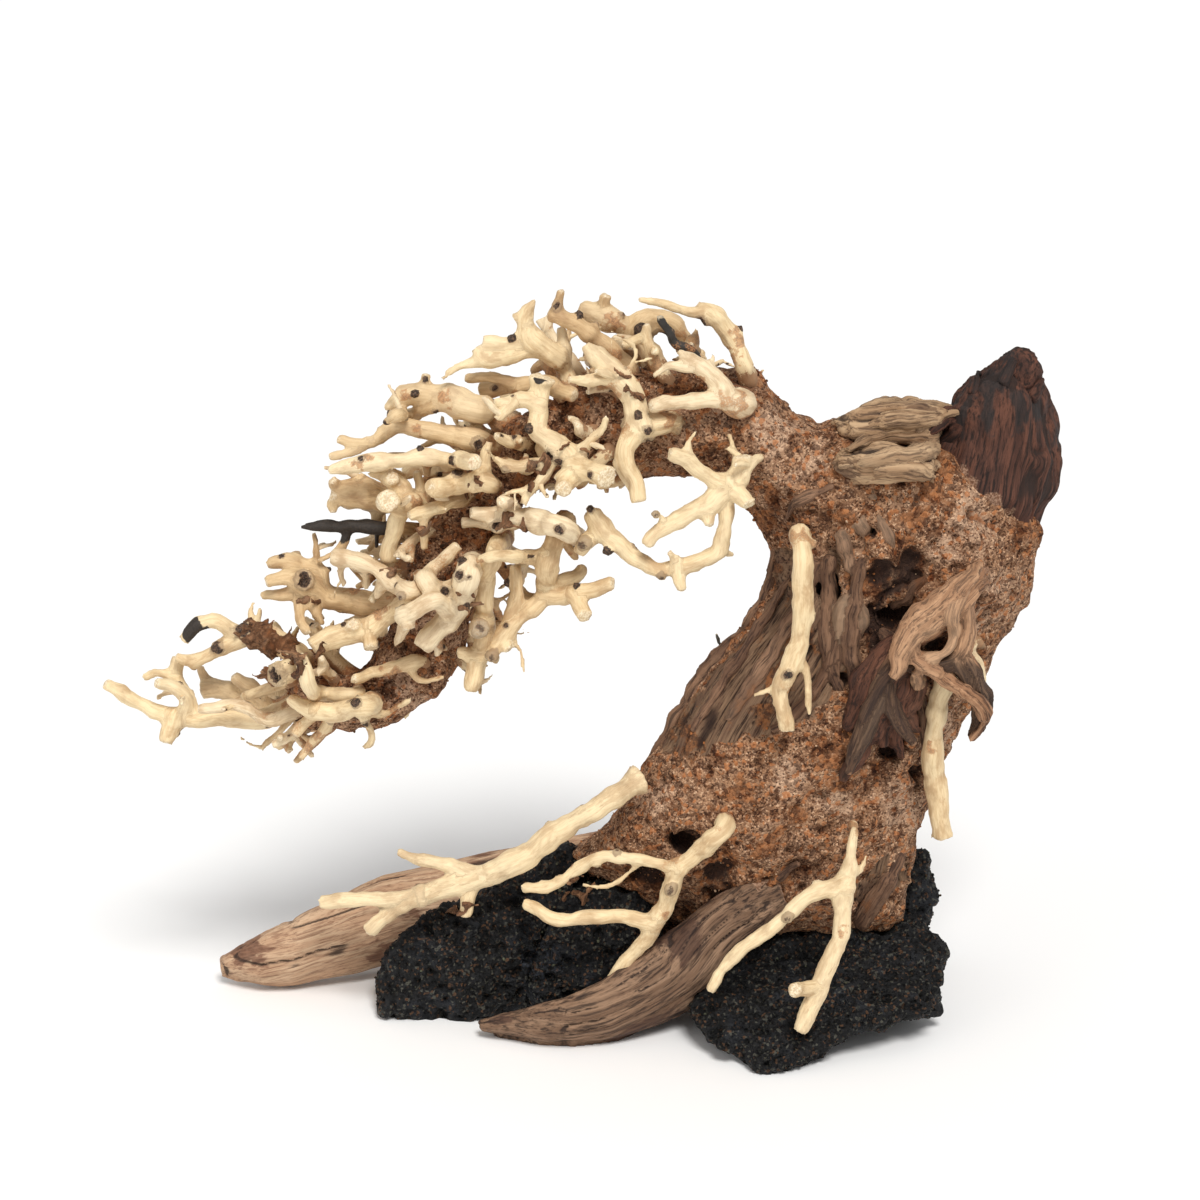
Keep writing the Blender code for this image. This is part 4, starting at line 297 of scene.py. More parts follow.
# Knots, buds, cut stubs and spots on the twigs: kind, u, v, radius. Kinds: D dark knot, B black bud, G grey
# cut bud, C pale cut stub, R rust blot, O orange dot, H ring with a hollow whose inside is painted dark as
# shade, K burnt black. They keep this order, because each twig takes its stubs in it.
MARKS = [
    ("K", -101, 196, 6), ("K", -92, 195, 6), ("K", -83, 195, 6), ("K", -78, 193, 5), ("K", -77.7, 196, 5),
    ("K", -78, 189, 5), ("K", -143, 157, 4), ("K", -139.5, 156, 3), ("K", -134, 174, 3.5),
    ("K", -21, 247, 3), ("D", -83.8, 217.5, 1.1), ("D", -51.8, 216.9, 1.6), ("R", -81.5, 217.4, 1.5),
    ("R", -84.7, 215, 1.4), ("R", -52, 215.3, 1.4), ("O", -45.5, 215.5, 1.2), ("B", -63, 220.8, 1),
    ("D", -49.6, 212, 1.8), ("C", -72.8, 210.6, 2.2), ("C", -74.1, 202.6, 3.2), ("R", -64, 202, 2.2),
    ("B", -94.6, 179, 0.9), ("D", -71.9, 173.6, 1), ("G", -69.3, 169.5, 1.5), ("R", -86, 172, 2),
    ("R", -77, 165, 2.6), ("H", -103.5, 175, 2.8), ("D", -111.6, 183.5, 1), ("C", -86.2, 158.8, 2),
    ("D", -89.7, 159.4, 0.9), ("H", -49.1, 176.7, 1.7), ("D", -45.8, 176, 0.9), ("D", -55.4, 171.3, 1.4),
    ("B", -46.7, 166, 1.3), ("O", -54.9, 175.7, 0.8), ("B", -48, 181.5, 1.5), ("R", -42.5, 180, 2.2),
    ("C", -67, 159.3, 2.1), ("G", -42.2, 158, 2.8), ("G", -31.6, 202, 1.8), ("H", -36.2, 193.7, 1.9),
    ("D", -14.2, 192.4, 1.7), ("D", -18.7, 206, 1.2), ("D", -23.3, 215.4, 1.5), ("H", -17.5, 219, 1.6),
    ("D", -14.2, 216.7, 1.3), ("G", -33.2, 213.8, 1.3), ("D", -5, 219.4, 1.5), ("D", -3.3, 211.6, 1.3),
    ("B", -24.5, 227.9, 1.5), ("C", -12.9, 207.3, 2.6), ("B", -27, 222, 1), ("D", -30.5, 239.6, 0.7),
    ("D", 16.6, 227.4, 1.5), ("B", 13.3, 232.5, 1.4), ("H", 28.7, 228.2, 2), ("B", 5.9, 197.7, 1.1),
    ("B", 3.2, 185.7, 1.6), ("D", -3.5, 200, 1.3), ("R", 10.4, 178.8, 1.6), ("R", 7, 173.8, 1.1),
    ("G", 21.5, 176.8, 1.5), ("B", 28, 168.3, 1.2), ("C", 27, 182.5, 1.1), ("H", 44.3, 214.4, 2.4),
    ("G", 19.5, 197.9, 1.2), ("G", -5.3, 188, 2.2), ("B", -8, 172.8, 1.2), ("B", -15.3, 163.2, 1.4),
    ("G", -37.9, 148.5, 2), ("O", -33.6, 147.4, 1.3), ("C", -33, 152, 1.7), ("D", -33, 159, 0.9),
    ("R", -63.4, 227.3, 1.3), ("H", -42.5, 222.8, 1.9), ("B", -64.7, 240.4, 1.2), ("R", -55.8, 238, 2.2),
    ("O", -69.2, 240.9, 1), ("O", -68.3, 238.9, 1), ("B", -75.2, 229.9, 1.2), ("D", -57.6, 234.2, 1),
    ("D", -61.2, 245.2, 1), ("D", -37, 242.2, 1), ("B", -31, 259.4, 1.2), ("H", -15.3, 270.8, 1.5),
    ("R", 5.2, 265.3, 2.6), ("G", 7.5, 267.7, 1), ("B", -7.5, 267.6, 1.5), ("B", 13.3, 262.4, 1.9),
    ("D", 36.7, 265.7, 1.8), ("R", 47.4, 262.1, 1.3), ("R", 49, 258.6, 1.6), ("R", 46, 252, 2),
    ("H", 33, 244.3, 2.2), ("G", 28.7, 245.2, 1.2), ("G", 41.6, 230.9, 2.2), ("D", -134, 151.3, 2),
    ("D", -124, 157.5, 2.5), ("H", -113, 142, 3.2), ("D", -83, 120.3, 1.4), ("D", -82, 124.5, 1.4),
    ("D", -85.3, 132, 1.6), ("R", -99, 120, 1.8), ("R", -102.5, 116, 1.6), ("G", 24.8, 66.6, 2),
    ("G", 6.2, 79.6, 1.4), ("H", -8.3, 77.7, 1.6), ("O", 23.3, 57.5, 1.2), ("D", 0.5, 28.5, 1.6),
    ("G", 66, 57.2, 1.6), ("C", 68.6, 31.5, 2.2), ("O", 85, 52, 1.3), ("D", 75.5, 162, 1),
    ("D", 65.8, 142, 1.5), ("D", -16.6, 22.8, 1.3), ("D", -7.5, 23.3, 1.6), ("D", -25, 14.9, 1.3)]
# Marks on the sides of a twig that the front view doesn't show are drawn from this list
SEEDED_KINDS = "DDDGBHRCO"

# Small twigs that fill the gaps: length and radius from and to, in millimetres, how far to the right on the
# limb they start, how far they may stray in the view from the twigs that the part holds, the length at their
# root that may touch others, the room between the rest of them and the others, and how many pieces they make up
FILL_REACH = (12.0, 24.0)
FILL_RADIUS = (1.7, 2.8)
FILL_FROM_X = 58.0
FILL_OUTLINE = 5.5
FILL_ROOT = 6.0
LEAST_ROOM = 0.2
FILL_GROUPS = 8

# Short side shoots on the twigs: length from and to, and how far they may stray in the view
SHOOT_REACH = (4.0, 10.0)
SHOOT_OUTLINE = 7.0

# Depth beside which a shard is laid where the front view shows nothing at its place
LAID_DEPTH = 4.0

# Ridges and shards of wood on the trunk: places and radii in the view, and how light they are
SPLINTERS = [
    ([(90, 197, 2.2), (93, 191, 2.6), (97, 184, 1.2)], 0.6), ([(97, 198, 1.6), (101, 191, 2.2),
    (102, 185, 0.8)], 0.5), ([(83, 192, 1.6), (86, 186, 2.4), (88, 178, 1.2)], 0.3), ([(86, 170, 1.6),
    (84, 163, 2.4), (84, 154, 1)], 0.6), ([(91, 168, 1.2), (92, 161, 2), (89, 153, 1.2)], 0.4),
    ([(80, 184, 1.8), (80, 168, 2.6), (80, 150, 2.4), (84, 134, 1.2)], -0.2), ([(92, 182, 1.6),
    (89, 168, 2.4), (88, 150, 2.8), (92, 132, 1.6)], -0.3), ([(97, 150, 1.6), (95, 140, 2.4),
    (97, 128, 1.2)], -0.5), ([(40, 51, 1), (50, 62, 1.8), (60, 70, 2), (70, 76, 1)], -0.6),
    ([(106, 82, 1.2), (100, 70, 3), (94, 60, 3), (90, 52, 1.4)], -0.2), ([(62, 187, 1.4), (49, 170, 2.2),
    (34, 148, 2.6), (22, 128, 2), (14, 112, 1)], -0.1), ([(76, 182, 1.4), (70, 166, 2.2), (58, 146, 2.4),
    (44, 126, 1.2)], 0), ([(66, 176, 1), (56, 158, 1.8), (42, 138, 2), (32, 122, 1)], -0.3),
    ([(83, 160, 1.2), (80, 146, 2), (70, 130, 2.2), (60, 122, 1)], -0.4), ([(114, 176, 1.2),
    (108, 170, 2.2), (101, 166, 1.2)], -0.6), ([(112, 152, 1.4), (104, 152, 2.4), (98, 158, 1.2)], -0.7),
    ([(118, 112, 1.4), (114, 124, 2.4), (112, 136, 1.2)], 0), ([(108, 206, 1.2), (101, 204, 2),
    (92, 206, 1)], 0.3), ([(82, 208, 1), (72, 204, 1.8), (64, 196, 1)], 0)]

# Splintered layers of the two slabs
SLAB_SHARDS = [
    ([(80, 228, 1), (94, 235, 2.2), (110, 237.5, 2.6), (124, 235, 1.2)], 0.3), ([(84, 225, 1.2),
    (98, 230, 2.6), (112, 231, 2.8), (127, 234, 1)], 0), ([(86, 221, 1.2), (100, 225, 2.4), (112, 225, 2.4),
    (121, 228.5, 0.9)], -0.4), ([(84, 214, 1.2), (98, 218, 2.4), (110, 219.5, 2.8), (116, 223, 2),
    (115, 229, 0.9)], 0.2), ([(88, 210, 1.2), (102, 213, 2.4), (112, 212.5, 2.4), (117, 209, 1)], 0),
    ([(94, 207, 1), (106, 208.5, 1.8), (115, 206, 0.9)], -0.5), ([(108, 221, 1), (116, 219, 1.8),
    (120, 213, 1)], 0.4), ([(78, 222, 1), (88, 224, 2), (98, 222, 1.6), (104, 219, 0.9)], -0.2)]

# Dark wood between the slabs and the stump, and the points of the stump's broken top
STUMP_SHARDS = [
    ([(112, 224, 1.2), (118, 229, 2.6), (124, 234, 2.4), (129, 238, 1)], -0.3), ([(114, 217, 1.2),
    (119, 222, 2.6), (124, 226, 2.2), (128, 231, 1)], -0.6), ([(117, 211, 1.2), (120, 216, 2.4),
    (125, 221, 1.2)], 0), ([(141, 243, 2.6), (144, 250, 2), (146, 255, 0.8)], -0.4), ([(131, 240, 2.2),
    (132, 244, 1.6), (132.5, 248, 0.7)], -0.2), ([(151, 238, 2.2), (154, 243, 1.6), (155.5, 247, 0.7)],
    -0.5)]

# Broad top of the twisted piece, split round its eye, and the torn dark layers under it
TWIST_SHARDS = [
    ([(133, 181, 1.4), (127, 174, 3.2), (119, 166, 4.2), (111, 159, 4.4), (106, 151, 3.2), (103, 141, 2.2)],
    0.3), ([(131, 177, 1.8), (126, 170, 3.4), (122.5, 163, 3), (124, 157, 1.8), (121, 149.5, 1.8),
    (113, 147, 2.6)], 0.6), ([(112, 160, 2.6), (109.5, 154, 2.2), (110, 148, 2.4), (114, 145, 2.6),
    (119, 142, 2)], 0), ([(125, 174, 1.6), (115, 166, 2), (107, 158, 1.8), (101, 147, 0.9)], -0.3),
    ([(113, 147, 2.6), (120, 141, 3), (127, 137, 2.8), (133, 131, 2.4), (134, 124, 1.6), (130, 119, 1)],
    -0.2), ([(110, 142, 1.8), (114, 137, 2), (121, 134, 1.2)], 0.2)]
DARK_SHARDS = [
    ([(110, 158, 2), (103, 147, 4), (98, 135, 4.4), (93, 121, 3.6), (88, 110, 2.2), (85, 105, 1)], 0),
    ([(112, 150, 2), (106, 139, 3.6), (101, 127, 3), (98, 117, 1.6)], -0.2), ([(104, 155, 1.6),
    (96, 144, 3.4), (91, 132, 3.2), (86, 122, 1.4)], -0.4), ([(110, 146, 1.6), (111, 137, 2.6),
    (108, 129, 2.4), (112, 122, 1)], 0), ([(96, 150, 1.2), (90, 141, 2), (87, 131, 1.2)], -0.2),
    ([(106, 131, 1.4), (103, 120, 2), (106, 112, 0.9)], -0.3)]

# Crumbled bark caught among the twigs: middle, spread and count
BARK_SCRAPS = [
    (-49, 60, 2.5, 8), (-8, 67, 5, 12), (14, 88, 5, 8), (-112, 148, 8, 60), (-118, 152, 6, 30),
    (-122, 158, 4, 14), (-134, 172, 4, 12), (-103, 166, 5, 8), (-70, 176, 4, 8), (-58, 190, 5, 9),
    (-30, 196, 6, 10), (-20, 214, 6, 10), (-44, 206, 5, 8), (-6, 226, 6, 9), (12, 244, 5, 7),
    (-96, 150, 4, 7), (-50, 168, 5, 8)]

# Burnt twiglet on the outline of the bare flank
FLANK_TWIGLET = [
    (47, 145, 6, 1.2), (43.5, 149, 6, 1.15), (42, 152.5, 5, 1), (40.5, 156.5, 4, 0.9)]

# Middle lines of the shaped wood pieces: the grain follows them
GRAIN_LINES = {
    "trunk": [
        (67, 38, 26), (58, 58, 19), (62, 78, 8), (70, 116, 7), (83, 138, 6), (96, 158, 5), (105, 171, 4),
        (105, 187, 3), (98, 200, 2), (84, 208, 1), (70, 212, 1), (57, 219, 0), (45, 229, 0), (25, 230, 0),
        (-2, 229, -1), (-23, 220, -1), (-43, 200, -2), (-55, 180, -3), (-60, 158, -4), (-67, 142, -6),
        (-80, 134, -8), (-95, 135, -9), (-106, 134, -10)],
    "front_leg": [(-43, 19, -26), (-22, 20, -30), (0, 24, -29), (24, 38, -20), (45, 60, -20), (64, 68, -16)],
    "left_foot": [(-133, 40, 19), (-105, 46, 16), (-76, 56, 27), (-40, 62, 32), (-18, 68, 27), (4, 72, 20)],
    "crown_stump": [(133, 190, 2), (136, 208, 2), (141, 230, 1), (143, 251, -1)],
    "weathered_slab_upper": [(82, 228, -6), (103, 229, -6), (124, 231, -4)],
    "weathered_slab_lower": [(82, 217, -24), (103, 215, -28), (117, 213, -26)],
}

# Bare wood on the front of the trunk, where the mortar leaves off
FLANK = [
    (62, 186), (80, 184), (86, 165), (87, 145), (75, 130), (60, 122), (36, 113), (18, 115), (28, 132),
    (45, 152), (60, 170)]
# Bare wood streaks elsewhere on the trunk: ends and half width, in the view, front or far side
WOOD_STREAKS = [
    (90, 60, 105, 76, 4.5, 1), (62, 150, 92, 186, 9, -1), (70, 70, 76, 112, 7, -1),
    (-10, 224, 34, 229, 5, -1), (96, 122, 104, 100, 4, -1)]
# Rust-coloured mortar: middle and radius in the view
RUST_SPOTS = [
    (64, 140, 9), (72, 152, 7), (56, 127, 7), (30, 118, 6), (60, 176, 5), (50, 160, 4), (14, 70, 9),
    (14, 256, 8), (86, 150, 6), (44, 78, 5), (-50, 190, 7), (104, 186, 5), (118, 205, 5), (120, 218, 6),
    (-66, 150, 6), (30, 240, 7), (-24, 208, 6), (78, 116, 5), (112, 130, 4), (60, 205, 5), (66, 92, 5),
    (98, 110, 4), (58, 84, 4), (88, 196, 5), (110, 196, 5), (92, 176, 5), (104, 142, 5), (56, 196, 4),
    (50, 100, 4), (84, 104, 4), (-10, 236, 5), (-40, 196, 5)]
# Pale mortar: middle and radius in the view
PALE_SPOTS = [
    (128, 196, 11), (134, 176, 9), (130, 160, 7), (118, 186, 6), (60, 226, 9), (44, 240, 9), (74, 214, 7),
    (104, 96, 8), (84, 96, 7), (66, 108, 6), (20, 98, 7), (-56, 160, 7), (-70, 140, 8), (118, 120, 6)]
# Hollows between the pieces of the trunk, painted dark as the shade in them: middle and radius in the view
HOLLOW_SHADE_SPOTS = [
    (42, 71, 7), (29, 83, 5), (103, 168, 10), (96, 161, 7), (108, 178, 5), (92, 193, 3), (79, 171, 4),
    (104, 117, 4), (15, 70, 5), (100, 154, 6), (90, 158, 4), (58, 66, 4), (97, 138, 5), (118, 150, 5),
    (84, 140, 3.5), (112, 106, 3), (74, 150, 3), (98, 178, 4)]


def place(u, v, y):
    """World point in millimetres seen at (u, v) at the depth y."""
    k = v - AIM_V
    c = (y - k * SIN_E) / (COS_E + k * SIN_E / SIGHT_RANGE)
    grow = 1.0 + c / SIGHT_RANGE
    return Vector((u * grow, k * grow * SIN_E + c * COS_E, AIM_Z + k * grow * COS_E - c * SIN_E))


def far_entry(number, stem):
    """A twig on the far side: a stem that wanders outward and arms that fork from it."""
    pick = random.Random(SEED * 100 + number)
    u0, v0, y0, u1, v1, y1 = stem
    points = []
    for part in (0.3, 0.65, 1.0):
        drift = 4.0 * math.sin(part * math.pi)
        points.append((u0 + (u1 - u0) * part + pick.uniform(-drift, drift),
                       v0 + (v1 - v0) * part + pick.uniform(-drift, drift), 3.6 - 1.2 * part))
    arms = []
    for index in range(FAR_ARMS):
        part = 0.3 + 0.6 * (index + pick.uniform(0.0, 0.6)) / FAR_ARMS
        along = min(2, int(part * 3.0))
        su, sv = points[max(0, along - 1)][:2]
        eu, ev = points[along][:2]
        share = pick.uniform(0.2, 0.8)
        fu, fv = su + (eu - su) * share, sv + (ev - sv) * share
        turn = pick.uniform(-0.9, 0.9) + (math.pi / 2.0 if index % 2 else -math.pi / 2.0)
        length = pick.uniform(9.0, 14.0)
        kink = turn + pick.uniform(-0.7, 0.7)
        mu, mv = fu + length * 0.5 * math.cos(turn), fv + length * 0.5 * math.sin(turn)
        tu, tv = mu + length * 0.6 * math.cos(kink), mv + length * 0.6 * math.sin(kink)
        end_y = y0 + (y1 - y0) * min(1.1, part + pick.uniform(0.15, 0.4))
        arms.append((end_y, [(fu, fv, 2.6), (mu, mv, 2.3), (tu, tv, 1.7)]))
    slot = TAN if number % 2 else CREAM
    start_y = y0 + (y1 - y0) * 0.35
    return (f"twig_far_{number + 1:02d}", slot, 1.0, (u0, v0, y0, 3.6), start_y, y1, points, arms)


def nearest_on(chains, u, v):
    """Chain, index and fraction of the place on the chains that lies nearest to (u, v) in the view."""
    best = None
    for number, chain in enumerate(chains):
        for index in range(len(chain["u"]) - 1):
            u0, v0 = chain["u"][index], chain["v"][index]
            du, dv = chain["u"][index + 1] - u0, chain["v"][index + 1] - v0
            length = du * du + dv * dv
            part = 0.0 if length == 0 else max(0.0, min(1.0, ((u - u0) * du + (v - v0) * dv) / length))
            away = math.hypot(u0 + du * part - u, v0 + dv * part - v)
            if best is None or away < best[0]:
                best = (away, number, index, part)
    return best[1:]


def twig_chains(entry):
    """Stem and arms of one twig as lists of places, depths and radii."""
    stoutness, start, second_y, last_y, points, arms = entry[2:]
    places = [start[:2]] + [(u, v) for u, v, r in points]
    stem = {"u": [p[0] for p in places], "v": [p[1] for p in places], "link": None, "hold": 1}
    stem["r"] = [start[3] * stoutness] + [r * stoutness for u, v, r in points]
    count = len(points)
    stem["y"] = [start[2]] + [second_y + (last_y - second_y) * i / max(1, count - 1) for i in range(count)]
    chains = [stem]
    for end_y, arm in arms:
        link = nearest_on(chains, arm[0][0], arm[0][1])
        number, index, part = link
        host = chains[number]
        u0, v0, y0 = (host[key][index] * (1 - part) + host[key][index + 1] * part for key in "uvy")
        count = len(arm) - 1
        chains.append({"u": [u0] + [p[0] for p in arm[1:]], "v": [v0] + [p[1] for p in arm[1:]],
                       "r": [p[2] * stoutness for p in arm], "link": link, "hold": 0,
                       "y": [y0 + (end_y - y0) * i / count for i in range(count + 1)]})
    return chains


def sight_depths(tree, u, v):
    """Depths at which the line of sight through (u, v) enters and leaves the trunk, or None."""
    goal = place(u, v, 0.0)
    ray = (goal - EYE).normalized()
    hit = tree.ray_cast(EYE, ray)[0]
    if hit is None:
        return None
    far = EYE + ray * SIGHT_RANGE * 2.0
    return hit.y, tree.ray_cast(far, -ray)[0].y


def bend_clear(twigs, tree):
    """Moves the twigs along the line of sight until no two of them and the trunk share a place."""
    depth, owner, samples = [], [], []
    for number, chains in enumerate(twigs):
        for chain in chains:
            chain["first"] = len(depth)
            depth.extend(chain["y"])
            owner.extend([number] * len(chain["y"]))
            for index in range(len(chain["u"]) - 1):
                u0, v0, u1, v1 = (chain["u"][index], chain["v"][index], chain["u"][index + 1],
                                  chain["v"][index + 1])
                steps = max(2, int(math.hypot(u1 - u0, v1 - v0) / SAMPLE_STEP))
                for step in range(steps + 1):
                    part = step / steps
                    radius = chain["r"][index] * (1 - part) + chain["r"][index + 1] * part
                    rooted = chain["hold"] and index == 0
                    samples.append((u0 + (u1 - u0) * part, v0 + (v1 - v0) * part, radius * RADIUS_WITH_ROOM,
                                    chain["first"] + index, part, number, rooted))
    table = np.array([s[:6] for s in samples])
    su, sv, sr = table[:, :3].T
    low, part, owner_of = table[:, 3].astype(int), table[:, 4], table[:, 5].astype(int)
    rooted = np.array([s[6] for s in samples], dtype=bool)
    apart = np.hypot(su[:, None] - su[None, :], sv[:, None] - sv[None, :])
    reach = sr[:, None] + sr[None, :] + GAP_IN_VIEW
    near = (apart < reach) & (owner_of[:, None] < owner_of[None, :])
    first, second = np.nonzero(near)
    needed = np.sqrt(reach[first, second] ** 2 - apart[first, second] ** 2) / COS_E
    front_limit = np.full(len(su), 1e6)
    back_limit = np.full(len(su), -1e6)
    depth = np.array(depth)
    for index in range(len(su)):
        if rooted[index]:
            continue
        spans = []
        for du, dv in ((0, 0), (1, 0), (-1, 0), (0, 1), (0, -1)):
            span = sight_depths(tree, su[index] + du * sr[index], sv[index] + dv * sr[index])
            if span:
                spans.append(span)
        if spans:
            front = min(s[0] for s in spans)
            back = max(s[1] for s in spans)
            here = depth[low[index]] * (1 - part[index]) + depth[low[index] + 1] * part[index]
            if here < (front + back) / 2:
                front_limit[index] = front - (sr[index] + GAP) / COS_E
            else:
                back_limit[index] = back + (sr[index] + GAP) / COS_E
    planned = depth.copy()
    fixed = np.zeros(len(depth), dtype=bool)
    for chains in twigs:
        fixed[chains[0]["first"]] = True
    for turn in range(MOST_TURNS):
        here = depth[low] * (1 - part) + depth[low + 1] * part
        gap = here[second] - here[first]
        side = np.where(gap >= 0, 1.0, -1.0)
        lack = np.maximum(0.0, needed - np.abs(gap)) * side
        move = np.zeros(len(here))
        most = np.zeros(len(here))
        for index, amount in ((first, -lack / 2), (second, lack / 2)):
            np.add.at(move, index, amount)
            np.add.at(most, index, (np.abs(amount) > 1e-9).astype(float))
        move = move / np.maximum(1.0, most)
        moved = here + move
        move += np.minimum(0.0, front_limit - moved)
        move += np.maximum(0.0, back_limit - moved)
        total = np.zeros(len(depth))
        weight = np.zeros(len(depth))
        active = np.abs(move) > 1e-9
        for index, share in ((low, 1 - part), (low + 1, part)):
            np.add.at(total, index[active], (move * share)[active])
            np.add.at(weight, index[active], share[active])
        change = np.where(weight > 0, total / np.maximum(weight, 0.25), 0.0)
        change[fixed] = 0.0
        depth = np.clip(depth + change * SHARE_OF_MOVE, planned - MOST_BEND, planned + MOST_BEND)
        for chains in twigs:
            for chain in chains:
                if chain["link"]:
                    number, index, share = chain["link"]
                    start = chains[number]["first"] + index
                    depth[chain["first"]] = depth[start] * (1 - share) + depth[start + 1] * share
        if not np.any(active):
            break
    for chains in twigs:
        for chain in chains:
            chain["y"] = [float(value) for value in depth[chain["first"]:chain["first"] + len(chain["u"])]]


def seen_at(points):
    """The reverse of place() for rows of world points: u, v and how far along the sight axis they lie."""
    away = points - np.array(EYE)
    range_along = away[:, 1] * COS_E - away[:, 2] * SIN_E
    u = away[:, 0] * SIGHT_RANGE / range_along
    v = (away[:, 1] * SIN_E + away[:, 2] * COS_E) * SIGHT_RANGE / range_along + AIM_V
    return u, v, range_along


def hashed(cells, seed):
    """Even random numbers from 0 to 1 for rows of whole-numbered cells."""
    mixed = cells[..., 0] * 73856093 ^ cells[..., 1] * 19349663 ^ cells[..., 2] * 83492791
    mixed = mixed ^ (seed + 7) * 2654435761
    mixed = (mixed ^ (mixed >> 13)) * 1274126177
    mixed = mixed ^ (mixed >> 16)
    return (mixed & 0xFFFFFF) / 0xFFFFFF


def soft_noise(points, size, seed=0):
    """Smooth random values from -1 to 1 at rows of points, with blobs of about the size given."""
    scaled = points / size + seed * 17.31
    cell = np.floor(scaled).astype(np.int64)
    part = scaled - cell
    part = part * part * (3.0 - 2.0 * part)
    total = np.zeros(len(points))
    for corner in range(8):
        step = np.array([corner & 1, corner >> 1 & 1, corner >> 2 & 1])
        weight = np.prod(np.where(step == 1, part, 1.0 - part), axis=-1)
        total += weight * hashed(cell + step, seed)
    return total * 2.0 - 1.0


def nearest_centre(points, size, seed=0):
    """Distance, in sizes, to the nearest of centres scattered one to a cell."""
    scaled = points / size
    cell = np.floor(scaled).astype(np.int64)
    best = np.full(len(points), 9.0)
    for dx in (-1, 0, 1):
        for dy in (-1, 0, 1):
            for dz in (-1, 0, 1):
                other = cell + np.array([dx, dy, dz])
                centre = other + np.stack([hashed(other, seed + axis) for axis in (1, 2, 3)], axis=-1)
                best = np.minimum(best, np.linalg.norm(centre - scaled, axis=-1))
    return best


def drawn_out(grain, stretch):
    """Places of the grain with their length along it scaled, so that noise runs along it."""
    return grain * np.array([1.0, 1.0, stretch])


def ramp(values, low, high):
    """0 below low, 1 above high, smooth between."""
    part = np.clip((values - low) / (high - low), 0.0, 1.0)
    return part * part * (3.0 - 2.0 * part)


def curve_through(rows, step):
    """A smooth curve through rows whose first three numbers are a place; the others blend along with it."""
    rows = np.asarray(rows, dtype=float)
    length = np.maximum(1e-6, np.linalg.norm(np.diff(rows[:, :3], axis=0), axis=1))
    at = np.concatenate(([0.0], np.cumsum(length)))
    slope = np.diff(rows, axis=0) / length[:, None]
    tangent = np.empty_like(rows)
    tangent[0] = slope[0]
    tangent[-1] = slope[-1]
    before = length[:-1, None]
    after = length[1:, None]
    tangent[1:-1] = (slope[:-1] * after + slope[1:] * before) / (before + after)
    wanted = np.linspace(0.0, at[-1], max(3, int(at[-1] / step) + 1))
    index = np.clip(np.searchsorted(at, wanted, side="right") - 1, 0, len(length) - 1)
    span = length[index][:, None]
    t = ((wanted - at[index]) / length[index])[:, None]
    return ((2 * t ** 3 - 3 * t ** 2 + 1) * rows[index] + (t ** 3 - 2 * t ** 2 + t) * span * tangent[index]
            + (3 * t ** 2 - 2 * t ** 3) * rows[index + 1] + (t ** 3 - t ** 2) * span * tangent[index + 1])


def frames_along(points):
    """Direction, side and other side at each point of a path, turning as little as possible."""
    ahead = np.gradient(points, axis=0)
    ahead /= np.maximum(1e-9, np.linalg.norm(ahead, axis=1))[:, None]
    side = np.array(Vector(ahead[0]).orthogonal().normalized())
    sides = []
    for direction in ahead:
        side = side - direction * side.dot(direction)
        side = side / np.linalg.norm(side)
        sides.append(side)
    sides = np.array(sides)
    return ahead, sides, np.cross(ahead, sides)


class Run:
    """One stem, arm or stub: its path, radii and how far along it each sample lies."""

    def __init__(self, points, radii, tone=0.0):
        self.points = np.asarray(points, dtype=float)
        self.radii = np.asarray(radii, dtype=float)
        self.tone = tone
        self.ahead, self.side, self.other = frames_along(self.points)
        steps = np.linalg.norm(np.diff(self.points, axis=0), axis=1)
        self.along = np.concatenate(([0.0], np.cumsum(steps)))


def tube_object(runs, sides):
    """A curve object with a closed tube for each run."""
    curve = bpy.data.curves.new("tubes", "CURVE")
    curve.dimensions = "3D"
    curve.bevel_depth = 1.0
    curve.bevel_resolution = sides
    curve.use_fill_caps = True
    for run in runs:
        spline = curve.splines.new("POLY")
        count = len(run.points)
        spline.points.add(count - 1)
        spline.points.foreach_set("co", np.column_stack((run.points, np.ones(count))).ravel())
        spline.points.foreach_set("radius", run.radii)
    tubes = bpy.data.objects.new("tubes", curve)
    bpy.context.scene.collection.objects.link(tubes)
    return tubes


def evaluated_mesh(obj):
    """The object's mesh with its modifiers applied; the object itself is removed."""
    bpy.context.view_layer.update()
    graph = bpy.context.evaluated_depsgraph_get()
    mesh = bpy.data.meshes.new_from_object(obj.evaluated_get(graph))
    bpy.data.objects.remove(obj)
    return mesh


def object_with(mesh, name="work"):
    obj = bpy.data.objects.new(name, mesh)
    bpy.context.scene.collection.objects.link(obj)
    return obj


def grown_together(mesh, voxel, rounds):
    """The mesh's bodies fused to one even skin and smoothed."""
    obj = object_with(mesh)
    fuse = obj.modifiers.new("fuse", "REMESH")
    fuse.mode = "VOXEL"
    fuse.voxel_size = voxel
    smooth = obj.modifiers.new("smooth", "SMOOTH")
    smooth.factor = 0.5
    smooth.iterations = rounds
    return evaluated_mesh(obj)


def points_of(mesh):
    places = np.empty(len(mesh.vertices) * 3)
    mesh.vertices.foreach_get("co", places)
    return places.reshape(-1, 3)


def normals_of(mesh):
    normals = np.empty(len(mesh.vertices) * 3)
    mesh.vertex_normals.foreach_get("vector", normals)
    return normals.reshape(-1, 3)


def set_points(mesh, places):
    mesh.vertices.foreach_set("co", places.ravel())
    mesh.update()


